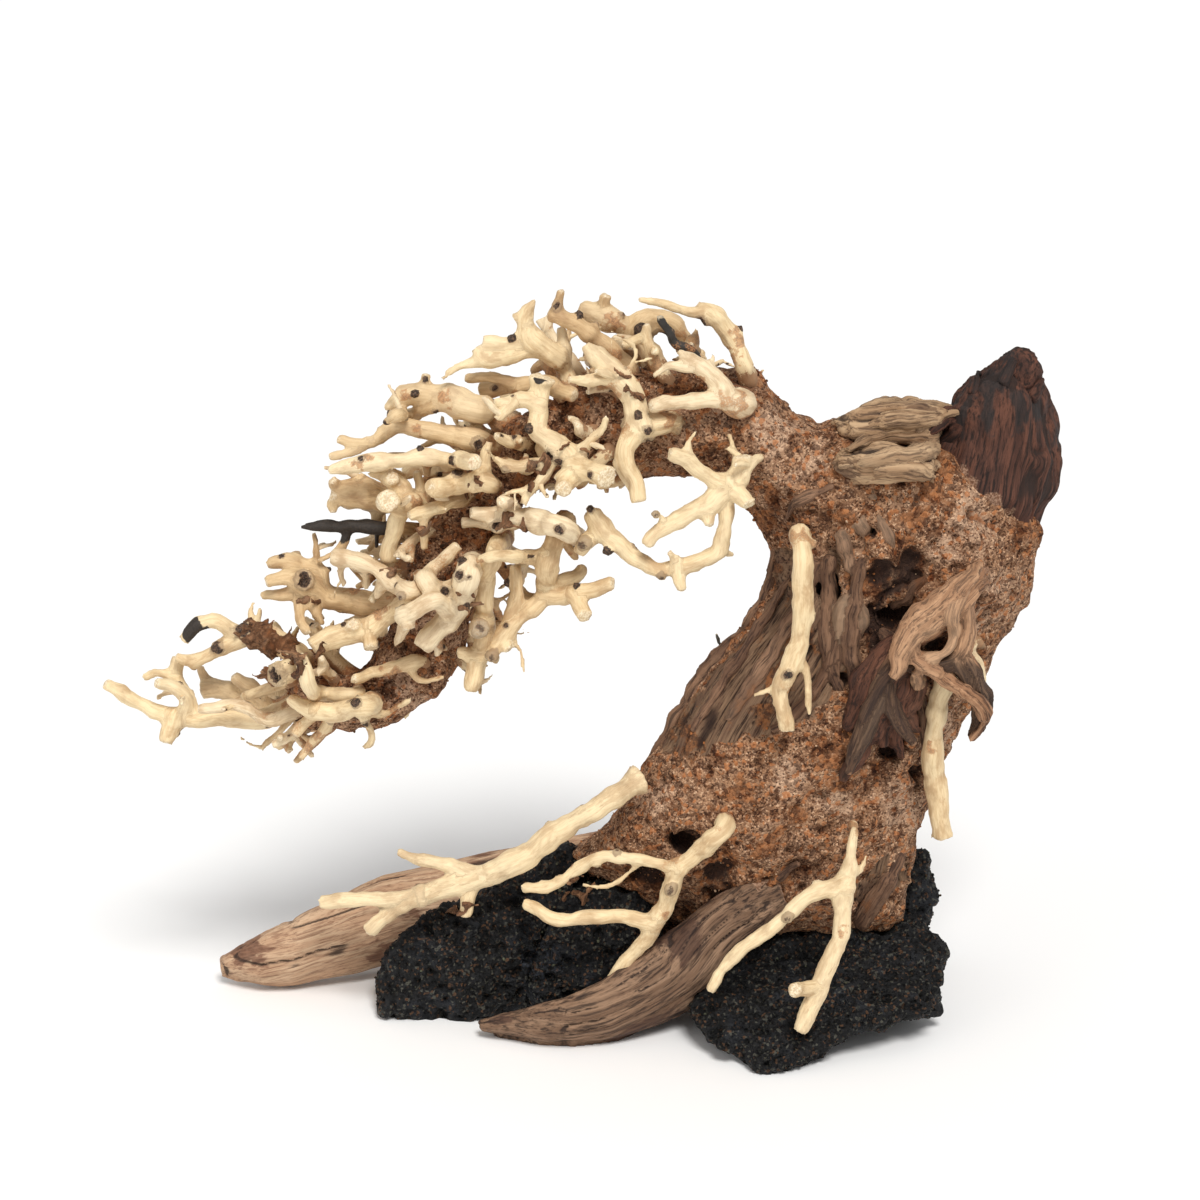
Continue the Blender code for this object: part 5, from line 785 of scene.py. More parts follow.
def copy_in_mm(node):
    """The node's mesh, merged, in the millimetres of the front view."""
    bm = bmesh.new()
    bm.from_mesh(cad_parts[node].data)
    bmesh.ops.remove_doubles(bm, verts=bm.verts, dist=1e-6)
    bmesh.ops.scale(bm, vec=(1 / MM, 1 / MM, 1 / MM), verts=bm.verts)
    bmesh.ops.translate(bm, vec=ORIGIN, verts=bm.verts)
    mesh = bpy.data.meshes.new(node + "_copy")
    bm.to_mesh(mesh)
    bm.free()
    return mesh


def node_tree(*nodes):
    """Search tree over the solids of some nodes, in the millimetres of the front view."""
    bm = bmesh.new()
    for node in nodes:
        mesh = copy_in_mm(node)
        bm.from_mesh(mesh)
        bpy.data.meshes.remove(mesh)
    tree = BVHTree.FromBMesh(bm)
    bm.free()
    return tree


def give(mesh, name, values):
    """Stores one number or one vector a point under a name that the materials read."""
    kind = "FLOAT_VECTOR" if values.ndim == 2 else "FLOAT"
    layer = mesh.attributes.new(name, kind, "POINT")
    field = "vector" if kind == "FLOAT_VECTOR" else "value"
    layer.data.foreach_set(field, np.ascontiguousarray(values).ravel())


def finished_piece(name, mesh, material, replaced=()):
    places = (points_of(mesh) - np.array(ORIGIN)) * MM
    set_points(mesh, places)
    mesh.materials.clear()
    mesh.materials.append(material)
    mesh.polygons.foreach_set("use_smooth", [True] * len(mesh.polygons))
    piece = object_with(mesh, name)
    mesh.name = name
    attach(piece, "root")
    if replaced:
        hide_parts(*replaced)
    return piece


class Samples:
    """All samples of some runs as one table, to find what a point of the skin belongs to."""

    def __init__(self, runs):
        self.runs = runs
        for name in ("points", "radii", "ahead", "side", "other", "along"):
            setattr(self, name, np.concatenate([getattr(run, name) for run in runs]))
        self.owner = np.concatenate([np.full(len(run.points), index) for index, run in enumerate(runs)])
        self.left = np.concatenate([run.along[-1] - run.along for run in runs])

    def nearest(self, places):
        """For each place the sample whose tube it lies on."""
        found = np.empty(len(places), dtype=int)
        block = max(1, 2000000 // len(self.points))
        for start in range(0, len(places), block):
            part = places[start:start + block]
            apart = np.linalg.norm(part[:, None] - self.points[None], axis=2) - self.radii[None]
            found[start:start + block] = np.argmin(apart, axis=1)
        return found

    def grain(self, places, index):
        """Place across and along the grain, in millimetres."""
        offset = places - self.points[index]
        across = np.sum(offset * self.side[index], axis=1)
        over = np.sum(offset * self.other[index], axis=1)
        along = self.along[index] + np.sum(offset * self.ahead[index], axis=1)
        return np.column_stack((across, over, along + 37.0 * self.owner[index]))


# Shader building

def math_node(operation, swapped=False):
    """An operator of Value: it adds the Math node of that operation."""
    def applied(self, other):
        pair = (other, self) if swapped else (self, other)
        return self.sum_with(operation, *pair)
    return applied


class Value:
    """A number socket in a sum: each operator adds its Math node."""

    def __init__(self, finish, socket):
        self.finish = finish
        self.socket = socket

    def sum_with(self, operation, first, second, clamp=False):
        settings = {"operation": operation, "use_clamp": clamp}
        node = self.finish.add("ShaderNodeMath", settings, {0: first, 1: second})
        return Value(self.finish, node.outputs[0])

    __add__ = math_node("ADD")
    __radd__ = math_node("ADD", swapped=True)
    __sub__ = math_node("SUBTRACT")
    __rsub__ = math_node("SUBTRACT", swapped=True)
    __mul__ = math_node("MULTIPLY")
    __rmul__ = math_node("MULTIPLY", swapped=True)

    def clamped(self):
        return self.sum_with("ADD", self, 0.0, clamp=True)

    def ramped(self, low, high):
        """0 below low, 1 above high, smooth between."""
        node = self.finish.add("ShaderNodeMapRange", {"interpolation_type": "SMOOTHSTEP"},
                               {"Value": self, "From Min": low, "From Max": high})
        return Value(self.finish, node.outputs[0])


class Finish:
    """One material: its nodes come from add(), and cover() lays one colour after another over the first."""

    def __init__(self, name):
        self.material = bpy.data.materials.new(name)
        self.material.use_nodes = True
        self.tree = self.material.node_tree
        self.shader = self.tree.nodes["Principled BSDF"]
        self.colour = None

    def add(self, kind, settings=None, inputs=None):
        """A node of that type, its settings first, then the values or links of its sockets."""
        node = self.tree.nodes.new(kind)
        for key, value in (settings or {}).items():
            setattr(node, key, value)
        for key, value in (inputs or {}).items():
            socket = None
            if isinstance(key, str):
                socket = next((s for s in node.inputs if s.identifier == key), None)
            self.put(socket or node.inputs[key], value)
        return node

    def put(self, socket, value):
        """Sets a socket, or links it where the value is one."""
        if isinstance(value, Value):
            self.tree.links.new(value.socket, socket)
        elif isinstance(value, bpy.types.NodeSocket):
            self.tree.links.new(value, socket)
        elif isinstance(value, (tuple, list)) and socket.type == "RGBA":
            socket.default_value = (*value[:3], 1.0)
        else:
            socket.default_value = value

    def attribute(self, name):
        return Value(self, self.add("ShaderNodeAttribute", {"attribute_name": name}).outputs["Fac"])

    def vector_attribute(self, name):
        return self.add("ShaderNodeAttribute", {"attribute_name": name}).outputs["Vector"]

    def object_mm(self):
        """Object coordinates in millimetres."""
        place = self.add("ShaderNodeTexCoord").outputs["Object"]
        return self.scaled(place, (1 / MM, 1 / MM, 1 / MM))

    def scaled(self, vector, factors):
        node = self.add("ShaderNodeVectorMath", {"operation": "MULTIPLY"}, {0: vector, 1: factors})
        return node.outputs[0]

    def noise(self, vector, size, detail=3.0, roughness=0.55, distortion=0.0):
        """Noise with blobs of about the size."""
        node = self.add("ShaderNodeTexNoise", {}, {"Vector": vector, "Scale": 1.0 / size, "Detail": detail,
                                                   "Roughness": roughness, "Distortion": distortion})
        return Value(self, node.outputs[0])

    def fibrous(self, grain, stretch, *noise_values):
        """Noise drawn out along the grain."""
        return self.noise(self.scaled(grain, (1.0, 1.0, stretch)), *noise_values)

    def ragged(self, name, noise, amount):
        """A stored value with its edge broken up by noise."""
        return self.attribute(name) + (noise - 0.5) * amount

    def cells(self, vector, size):
        """Scattered cells: distance from the middle and a random colour."""
        node = self.add("ShaderNodeTexVoronoi", {"feature": "F1"}, {"Vector": vector, "Scale": 1.0 / size})
        return Value(self, node.outputs["Distance"]), node.outputs.get("Color")

    def brightness(self, colour):
        node = self.add("ShaderNodeSeparateColor", {}, {0: colour})
        return Value(self, node.outputs[0])

    def mix(self, factor, first, second, blend="MIX"):
        node = self.add("ShaderNodeMix", {"data_type": "RGBA", "blend_type": blend},
                        {"Factor_Float": factor, "A_Color": first, "B_Color": second})
        return next(s for s in node.outputs if s.identifier == "Result_Color")

    def cover(self, share, colour):
        """Lays a colour over what the finish has so far."""
        self.colour = self.mix(share, self.colour, colour)

    def shaded(self, tint):
        """What the finish has so far, multiplied by a tint."""
        return self.mix(1.0, self.colour, tint, "MULTIPLY")

    def bump(self, height, distance, strength):
        """A Bump node, its distance in millimetres."""
        inputs = {"Height": height, "Distance": distance * MM, "Strength": strength}
        return self.add("ShaderNodeBump", {}, inputs).outputs[0]

    def done(self, colour, roughness, normal=None, specular=0.3):
        self.put(self.shader.inputs["Base Color"], colour)
        self.put(self.shader.inputs["Roughness"], roughness)
        self.shader.inputs["Specular IOR Level"].default_value = specular
        if normal is not None:
            self.put(self.shader.inputs["Normal"], normal)
        return self.material


def twig_finish(slot_name, light, middle, brown):
    """Peeled twig wood: fibres along the grain, brown skin left in patches, dark knots, pale cut ends, painted
    shade in knot hollows, and mortar dust with painted shade where a twig meets the trunk.
    """
    f = Finish(slot_name)
    grain = f.vector_attribute("grain")
    here = f.object_mm()
    fibres = f.fibrous(grain, 0.09, 0.8, 5.0, 0.62)
    fine = f.fibrous(grain, 0.07, 0.28, 3.0, 0.6)
    patches = f.fibrous(grain, 0.45, 5.5, 4.0, 0.6, 0.4)
    skin = f.fibrous(grain, 0.3, 2.6, 5.0, 0.66, 0.3)
    specks = f.noise(here, 0.7, 4.0, 0.6)
    f.colour = f.mix(0.35 + fibres.ramped(0.3, 0.62) * 0.65, middle, light)
    f.cover(patches.ramped(0.44, 0.66) * 0.75, f.mix(0.45, middle, brown))
    bark = (skin + f.attribute("bark") * 0.3).ramped(0.63, 0.75)
    f.cover(bark * 0.6, f.mix(fine.ramped(0.35, 0.65), f.mix(0.35, brown, middle), f.mix(0.7, brown, middle)))
    tone = f.attribute("tone")
    f.cover((tone * -0.5).clamped(), f.shaded((0.62, 0.47, 0.36)))
    f.cover((tone * 0.4).clamped(), (0.9, 0.78, 0.55))
    f.cover(fine.ramped(0.42, 0.3) * 0.35, f.shaded((0.55, 0.42, 0.32)))
    f.cover(f.attribute("cut") * 0.7, f.mix(specks.ramped(0.4, 0.6), (0.6, 0.44, 0.26), (0.9, 0.8, 0.6)))
    # Mortar dust and painted shade where a twig meets the trunk: darker brown on skin close to the trunk
    root = (f.attribute("root") * 0.8 + (specks - 0.5) * 1.1 + (skin - 0.5) * 1.4).ramped(0.4, 0.62)
    f.cover(root * 0.85, f.mix(patches, (0.2, 0.09, 0.045), (0.42, 0.21, 0.1)))
    rust = f.ragged("rust", specks, 1.3).ramped(0.3, 0.7)
    f.cover(rust * 0.75, f.mix(specks.ramped(0.4, 0.6), (0.22, 0.08, 0.03), (0.5, 0.24, 0.1)))
    f.cover(f.ragged("ring", specks, 0.9).ramped(0.3, 0.8) * 0.7, (0.26, 0.17, 0.1))
    # Dark knots and buds, and painted shade inside the hollows of H marks
    dark = f.ragged("dark", specks, 0.8).ramped(0.3, 0.6)
    f.cover(dark, f.mix(specks.ramped(0.4, 0.66), (0.022, 0.014, 0.01), (0.15, 0.085, 0.05)))
    burnt = f.ragged("burnt", specks, 0.6).ramped(0.3, 0.6)
    f.cover(burnt, f.mix(specks, (0.008, 0.007, 0.006), (0.06, 0.045, 0.035)))
    rough = 0.62 + (fibres - 0.5) * 0.3 + bark * 0.12 + root * 0.2
    height = fibres * 0.7 + fine * 0.35 - bark * 0.25 + specks * 0.25 * f.attribute("cut")
    height = height + dark * specks * 0.4
    return f.done(f.colour, rough, f.bump(height, 0.35, 0.8), 0.35)


def mortar_finish(settings):
    """Mortar made of coloured grains, rust and dark film in patches, painted shade in its recesses and hollows,
    bare wood where the mask says so.
    """
    f = Finish(MORTAR)
    here = f.object_mm()
    grains, grain_colour = f.cells(here, settings.grain_size / MM)
    large, large_colour = f.cells(here, settings.grain_size / MM * 2.6)
    pick = f.brightness(grain_colour)
    big_pick = f.brightness(large_colour)
    broad = f.noise(here, 19.0, 4.0, 0.6)
    patchy = f.noise(here, 7.0, 6.0, 0.7)
    dust = f.noise(here, 0.6, 2.0)
    f.colour = f.mix(pick.ramped(0.12, 0.88), (0.155, 0.07, 0.034), (0.44, 0.245, 0.13))
    f.cover(0.2, tuple(settings.mortar))
    pale = (broad.ramped(0.5, 0.68) * 0.4 - f.attribute("rust") * 1.2).clamped()
    f.cover(pale * 0.8, f.mix(pick, (0.4, 0.25, 0.16), (0.62, 0.41, 0.275)))
    f.cover(pick.ramped(0.86, 0.92) * 0.5, (0.74, 0.5, 0.33))
    f.cover(pick.ramped(0.16, 0.1) * 0.7, (0.05, 0.023, 0.013))
    f.cover(big_pick.ramped(0.82, 0.88) * 0.7, (0.45, 0.17, 0.06))
    f.cover(big_pick.ramped(0.16, 0.1) * 0.6, (0.07, 0.032, 0.02))
    rust = (patchy * 0.62 + broad * 0.38 + f.attribute("rust") * 0.2).ramped(0.56, 0.64)
    rust_grain = f.mix(big_pick, (0.075, 0.026, 0.011), (0.4, 0.165, 0.065))
    f.cover(rust * 0.8, rust_grain)
    shade = (broad * 0.35 + patchy * 0.65).ramped(0.48, 0.38)
    f.cover(shade * 0.9, f.shaded((0.32, 0.22, 0.16)))
    blotches = f.noise(here, 3.2, 5.0, 0.75)
    f.cover(blotches.ramped(0.48, 0.4) * 0.9, f.shaded((0.36, 0.25, 0.19)))
    f.cover(blotches.ramped(0.58, 0.68) * 0.45, (0.56, 0.34, 0.2))
    # Painted shade: darker where the skin is sunk or pitted
    low = f.ragged("low", patchy, 0.5).clamped()
    f.cover(low * 0.85, f.shaded((0.27, 0.18, 0.13)))
    grain = f.vector_attribute("grain")
    fibres = f.fibrous(grain, 0.07, 1.1, 6.0, 0.65)
    bands = f.fibrous(grain, 0.1, 4.0, 4.0, 0.6)
    bare = f.mix(fibres.ramped(0.3, 0.68), tuple(settings.bare_dark), tuple(settings.bare_light))
    bare = f.mix(bands.ramped(0.5, 0.62) * 0.6, bare, (0.12, 0.062, 0.04))
    bare = f.mix(bands.ramped(0.42, 0.34) * 0.5, bare, (0.27, 0.13, 0.055))
    bare = f.mix(fibres.ramped(0.48, 0.36) * 0.9, bare, (0.022, 0.012, 0.008))
    wood = (f.attribute("wood") + (patchy - 0.5) * 1.1 + (pick - 0.5) * 0.2).ramped(0.4, 0.6)
    f.cover(wood, bare)
    f.cover(wood * rust * 0.75, f.mix(blotches.ramped(0.4, 0.6), (0.05, 0.02, 0.011), (0.3, 0.115, 0.04)))
    # Painted shade: near-black in the trunk's hollows and in the cracks of its bare wood
    hollow_and_crack_shade = f.ragged("dark", patchy, 0.4).ramped(0.3, 0.8)
    f.cover(hollow_and_crack_shade * 0.85, (0.03, 0.017, 0.013))
    height = ((1.0 - grains.clamped()) * 0.55 + (1.0 - large.clamped()) + dust * 0.3) * (1.0 - wood)
    height = height + fibres * 1.5 * wood + patchy * 1.6
    return f.done(f.colour, 0.93, f.bump(height, 0.6, 0.95), 0.2)


def driftwood_finish(slot_name, light, middle, dark, extra, extra_share, rough=0.8):
    """Weathered wood: long grain, darker winter lines, painted shade in the grooves and cracks, and patches of
    another colour.
    """
    f = Finish(slot_name)
    grain = f.vector_attribute("grain")
    here = f.object_mm()
    fibres = f.fibrous(grain, 0.06, 0.9, 6.0, 0.66, 0.2)
    bands = f.fibrous(grain, 0.09, 3.2, 4.0, 0.6, 0.5)
    lines = f.fibrous(grain, 0.05, 0.4, 3.0, 0.6)
    patches = f.fibrous(grain, 0.4, 7.0, 5.0, 0.62, 0.5)
    specks = f.noise(here, 0.7, 3.0)
    f.colour = f.mix(bands.ramped(0.38, 0.64), middle, light)
    f.cover(fibres.ramped(0.54, 0.38) * 0.85, dark)
    f.cover(lines.ramped(0.42, 0.34) * 0.6, f.shaded((0.45, 0.36, 0.3)))
    patch = (patches + f.attribute("bark") * 0.35).ramped(0.66 - extra_share, 0.76 - extra_share)
    f.cover(patch * 0.8, f.mix(fibres.ramped(0.3, 0.7), f.mix(0.5, extra, (0.01, 0.008, 0.008)), extra))
    tone = f.attribute("tone")
    f.cover((tone * -0.9).clamped(), f.shaded((0.36, 0.28, 0.24)))
    f.cover((tone * 0.7).clamped(), f.mix(0.5, light, (0.42, 0.32, 0.21)))
    # Painted shade in the grooves and cracks of the shaped wood, and the darker lower part of the twisted
    # piece, both read from the low value
    groove_shade_and_lower_dark = f.ragged("low", fibres, -0.6).ramped(0.3, 0.8)
    f.cover(groove_shade_and_lower_dark * 0.85, (0.025, 0.015, 0.012))
    f.cover(f.attribute("cut") * 0.8, f.mix(specks, middle, light))
    f.cover(f.ragged("dark", specks, 0.5).ramped(0.35, 0.75) * 0.9, (0.03, 0.02, 0.017))
    root = f.ragged("root", specks, 0.6).ramped(0.3, 0.7)
    f.cover(root * 0.8, f.mix(specks.ramped(0.35, 0.65), (0.16, 0.07, 0.035), (0.42, 0.26, 0.17)))
    height = fibres * 0.9 + lines * 0.5 + bands * 0.5 + specks * 0.15
    return f.done(f.colour, rough, f.bump(height, 0.5, 0.85), 0.3)


def lava_finish():
    """Near-black stone with fine pores painted darker as shade, a few coloured specks and a patch of painted
    blue sheen.
    """
    f = Finish(LAVA)
    here = f.object_mm()
    fine, fine_colour = f.cells(here, 0.9)
    pores = f.cells(here, 2.3)[0]
    broad = f.noise(here, 12.0, 4.0)
    dust = f.noise(here, 1.4, 5.0, 0.7)
    f.colour = f.mix(dust.ramped(0.35, 0.7), (0.002, 0.002, 0.0022), (0.016, 0.016, 0.017))
    f.cover(broad.ramped(0.5, 0.66) * 0.4, (0.026, 0.029, 0.036))
    pick = f.brightness(fine_colour)
    f.cover(pick.ramped(0.9, 0.94) * 0.5, (0.12, 0.115, 0.09))
    f.cover(pick.ramped(0.09, 0.05) * 0.7, (0.12, 0.06, 0.03))
    # Painted shade: darker in the pores
    pore_shade = f.attribute("low").clamped()
    f.cover(pore_shade * 0.8, (0.003, 0.003, 0.003))
    # Painted sheen: a blue-grey patch where the rock's rust value is set
    blue_sheen = f.ragged("rust", dust, 0.5).ramped(0.3, 0.8)
    f.cover(blue_sheen * dust.ramped(0.45, 0.65) * 0.45, (0.05, 0.06, 0.08))
    height = pores.ramped(0.0, 0.5) * 0.8 + fine.ramped(0.0, 0.45) * 0.45 + dust * 0.5
    return f.done(f.colour, 0.62, f.bump(height, 1.2, 1.0), 0.2)


def crumb_finish(slot_name, dark, usual, rusty, pale):
    """Loose grains, each with its own colour out of four."""
    f = Finish(slot_name + "_grains")
    tint = f.attribute("tint")
    f.colour = f.mix(tint.ramped(0.0, 0.5), dark, usual)
    f.cover(tint.ramped(0.5, 0.75), rusty)
    f.cover(tint.ramped(0.85, 0.95), pale)
    dust = f.noise(f.object_mm(), 0.5, 3.0)
    f.cover(dust.ramped(0.3, 0.7) * 0.4, dark)
    return f.done(f.colour, 0.92, f.bump(dust, 0.2, 0.6), 0.2)


# Twigs

# What a mark leaves on the skin: value, strength, and at how many of its radii that is nothing and full
MARK_PRINTS = {
    "C": [("ring", 0.5, 0.45, 0.2)],
    "D": [("dark", 1.0, 1.1, 0.6), ("ring", 0.8, 1.8, 1.0)],
    "B": [("dark", 1.0, 1.5, 1.0)],
    "G": [("ring", 1.0, 1.6, 1.0), ("dark", 0.55, 0.8, 0.3)],
    # The dark print of H is painted shade inside its hollow
    "H": [("dark", 1.0, 0.85, 0.45), ("ring", 0.7, 1.6, 1.1)],
}
# Marks that sink in: depth in radii, and at how many radii it is nothing
MARK_SINKS = {"D": (0.22, 0.7), "H": (0.75, 0.75)}
# How far a mark stands out and how wide its stub is, in radii
MARK_REACH = {"D": 0.5, "B": 1.0, "G": 0.85, "C": 0.8, "H": 0.4, "R": 0.0, "O": 0.0, "K": 0.0}
MARK_WIDTH = {"D": 0.95, "B": 0.9, "G": 1.0, "C": 1.0, "H": 1.1}


class Mark:
    """A knot, bud, stub or spot on a twig's skin."""

    def __init__(self, kind, skin, outward, radius):
        self.kind = kind
        self.outward = outward
        self.radius = radius
        reach = MARK_REACH[kind] * radius
        self.root = skin - outward * min(1.5, radius)
        self.tip = skin + outward * reach

    def run(self):
        """The short stub that makes the mark stand out, or None for a spot of colour."""
        if self.kind in "ROK":
            return None
        rows = [self.root + (self.tip - self.root) * part for part in (0.0, 0.5, 1.0)]
        wide = MARK_WIDTH[self.kind]
        return Run(rows, [self.radius * wide * 1.1, self.radius * wide, self.radius * wide * 0.92])


def sight_towards(u, v):
    return np.array((place(u, v, 0.0) - EYE).normalized())


def solved_twigs():
    """Names, slots and chains of all twigs, at the depths that the part gives them."""
    tree = node_tree("trunk")
    entries = TWIGS + [far_entry(number, stem) for number, stem in enumerate(FAR_STEMS)]
    twigs = [twig_chains(entry) for entry in entries]
    bend_clear(twigs, tree)
    return {entry[0]: (entry[1], chains) for entry, chains in zip(entries, twigs)}, tree


def chain_curve(chain, settings):
    """Smooth path and radii of one stem or arm."""
    rows = [(*place(u, v, y), r) for u, v, y, r in zip(chain["u"], chain["v"], chain["y"], chain["r"])]
    return curve_through(rows, settings.path_step / MM)


def twig_runs(name, chains, settings):
    """Paths of a twig's stem and arms, a little crooked and uneven, thicker where they fork."""
    pick = random.Random(name)
    seed = pick.randrange(1000)
    runs = []
    own_tone = pick.uniform(-0.25, 0.45)
    for number, chain in enumerate(chains):
        curve = chain_curve(chain, settings)
        points = curve[:, :3]
        radii = np.maximum(settings.least_radius / MM, curve[:, 3] * settings.swell)
        along = np.concatenate(([0.0], np.cumsum(np.linalg.norm(np.diff(points, axis=0), axis=1))))
        wobble = np.column_stack([soft_noise(points, 6.0, seed + axis) for axis in range(3)])
        points = points + wobble * (settings.wobble / MM) * ramp(along, -1.0, 4.0)[:, None]
        uneven = 1.0 + 0.2 * soft_noise(points, 6.0, seed + 3)
        radii = radii * (uneven + 0.1 * soft_noise(points, 2.0, seed + 4))
        reach = 3.5 if chain["hold"] else 1.8
        radii = radii * (1.0 + 0.32 * np.exp(-along / reach))
        runs.append(Run(points, radii, own_tone + pick.uniform(-0.3, 0.3)))
    return runs


def front_marks(twigs):
    """Finds the twig that the front view shows at each mark's place, and its skin there."""
    names = list(twigs)
    samples = {name: Samples(twigs[name]) for name in names}
    points = np.concatenate([samples[name].points for name in names])
    radii = np.concatenate([samples[name].radii for name in names])
    owner = np.concatenate([np.full(len(samples[name].points), index) for index, name in enumerate(names)])
    found = {name: [] for name in names}
    for kind, u, v, radius in MARKS:
        sight = sight_towards(u, v)
        away = points - np.array(EYE)
        ahead = away @ sight
        beside = np.linalg.norm(away - ahead[:, None] * sight, axis=1)
        near = np.nonzero(beside < radii + 0.6)[0]
        if len(near) == 0:
            continue
        best = near[np.argmin(ahead[near] - np.sqrt(np.maximum(0.0, radii[near] ** 2 - beside[near] ** 2)))]
        offset = np.array(EYE) + sight * ahead[best] - points[best]
        outward = offset - sight * math.sqrt(max(0.0, radii[best] ** 2 - beside[best] ** 2))
        outward = outward / max(1e-6, np.linalg.norm(outward))
        skin = points[best] + outward * radii[best]
        found[names[owner[best]]].append(Mark(kind, skin, outward, radius * 1.3))
    return found


def seeded_marks(name, runs, spacing, front_too):
    """Marks on the sides of a twig that the front view doesn't show."""
    pick = random.Random(name + " marks")
    marks = []
    for run in runs:
        at = pick.uniform(0.2, 1.0) * spacing
        while at < run.along[-1] - 1.5:
            index = int(np.searchsorted(run.along, at))
            angle = pick.uniform(0.0, 2.0 * math.pi)
            outward = run.side[index] * math.cos(angle) + run.other[index] * math.sin(angle)
            sight = np.array((Vector(run.points[index]) - EYE).normalized())
            if front_too or outward @ sight > -0.1:
                radius = run.radii[index] * pick.uniform(0.3, 0.62)
                skin = run.points[index] + outward * run.radii[index]
                marks.append(Mark(pick.choice(SEEDED_KINDS), skin, outward, max(0.7, radius)))
            at += spacing * pick.uniform(0.5, 1.5)
    return marks


def mark_values(marks, places, normals):
    """Values that the marks leave on the skin, and how far it sinks in."""
    names = ("dark", "ring", "cut", "rust", "sink")
    values = {name: np.zeros(len(places)) for name in names}
    ragged = 0.28 * soft_noise(places, 1.6, 61) + 0.2 * soft_noise(places, 0.8, 62)
    for mark in marks:
        apart = np.linalg.norm(places - mark.tip, axis=1) / mark.radius + ragged
        prints = [(name, amount * ramp(apart, none_at, full_at))
                  for name, amount, none_at, full_at in MARK_PRINTS.get(mark.kind, ())]
        if mark.kind in "RO":
            prints.append(("rust", 0.9 * ramp(apart + 2.0 * ragged, 2.0, 0.1)))
        if mark.kind == "C":
            prints.append(("cut", ramp(apart, 1.5, 1.1) * ramp(normals @ mark.outward, 0.4, 0.75)))
        if mark.kind in MARK_SINKS:
            deep, none_at = MARK_SINKS[mark.kind]
            prints.append(("sink", deep * mark.radius * ramp(apart, none_at, 0.2)))
        for name, amount in prints:
            values[name] = np.maximum(values[name], amount)
    return [values[name] for name in names]


def burnt_share(marks, places):
    """1 on skin that is burnt black, fading to 0 beyond the burnt marks."""
    share = np.zeros(len(places))
    for mark in marks:
        if mark.kind == "K":
            apart = np.linalg.norm(places - mark.tip, axis=1) / mark.radius
            apart = apart + 0.3 * soft_noise(places, 2.2, 63)
            share = np.maximum(share, ramp(apart, 1.15, 0.75))
    return share


def closeness(tree, places, reach):
    """1 on the tree's surface, 0 at the reach from it and beyond, and 0 without a tree."""
    values = np.zeros(len(places))
    if tree is None:
        return values
    for index, point in enumerate(places):
        near = tree.find_nearest(Vector(point), reach)
        if near[0] is not None:
            values[index] = 1.0 - near[3] / reach
    return values


def twig_piece(name, runs, marks, tree, settings, material, replaced, relief=1.0):
    """One twig: its tubes fused, smoothed, given lumps and fibres and the values its finish reads."""
    stubs = [stub for stub in (mark.run() for mark in marks) if stub]
    tubes = tube_object(runs + stubs, settings.tube_sides)
    mesh = grown_together(evaluated_mesh(tubes), settings.mesh_step / MM, 3)
    places = points_of(mesh)
    normals = normals_of(mesh)
    samples = Samples(runs)
    index = samples.nearest(places)
    grain = samples.grain(places, index)
    facing_end = np.sum(normals * samples.ahead[index], axis=1)
    cut = ramp(samples.left[index], 1.2, 0.4) * ramp(facing_end, 0.35, 0.7)
    dark, ring, stub_cut, rust, sink = mark_values(marks, places, normals)
    cut = np.maximum(cut, stub_cut)
    seed = random.Random(name + " skin").randrange(1000)
    fibres = soft_noise(drawn_out(grain, 0.11), 0.9, seed)
    lumps = soft_noise(places, 3.2, seed + 1)
    fine = soft_noise(places, 1.3, seed + 2)
    rough = 0.06 + 0.22 * cut + 0.15 * dark
    push = relief * fibres * 0.13 * (1.0 - cut) + lumps * 0.38 + fine * rough - sink
    set_points(mesh, places + normals * push[:, None])
    tones = np.array([run.tone for run in runs])[samples.owner[index]]
    give(mesh, "grain", grain)
    give(mesh, "tone", np.clip(tones + 0.3 * soft_noise(places, 14.0, seed + 3), -1.0, 1.0))
    give(mesh, "bark", np.clip(soft_noise(places, 20.0, seed + 4) - 0.1, -1.0, 1.0))
    give(mesh, "dark", dark)
    give(mesh, "ring", ring)
    give(mesh, "cut", cut)
    near = closeness(tree, places, 26.0)
    crumbs = soft_noise(places, 8.0, seed + 5) + 0.6 * soft_noise(places, 2.5, seed + 6)
    give(mesh, "rust", np.maximum(rust, 0.9 * ramp(crumbs, 0.15, 0.55) * ramp(near, 0.2, 0.75)))
    # Mortar dust and painted shade: the root value is 1 on skin close to the trunk
    give(mesh, "root", ramp(near, 0.72, 0.98))
    give(mesh, "burnt", burnt_share(marks, places))
    return finished_piece(name + "_wood", mesh, material, replaced)


def laid_piece(name, runs, settings, material, relief):
    """Loose wood laid on other pieces: it has no marks, no mortar at its foot and no solid of its own."""
    return twig_piece(name, runs, [], None, settings, material, (), relief)


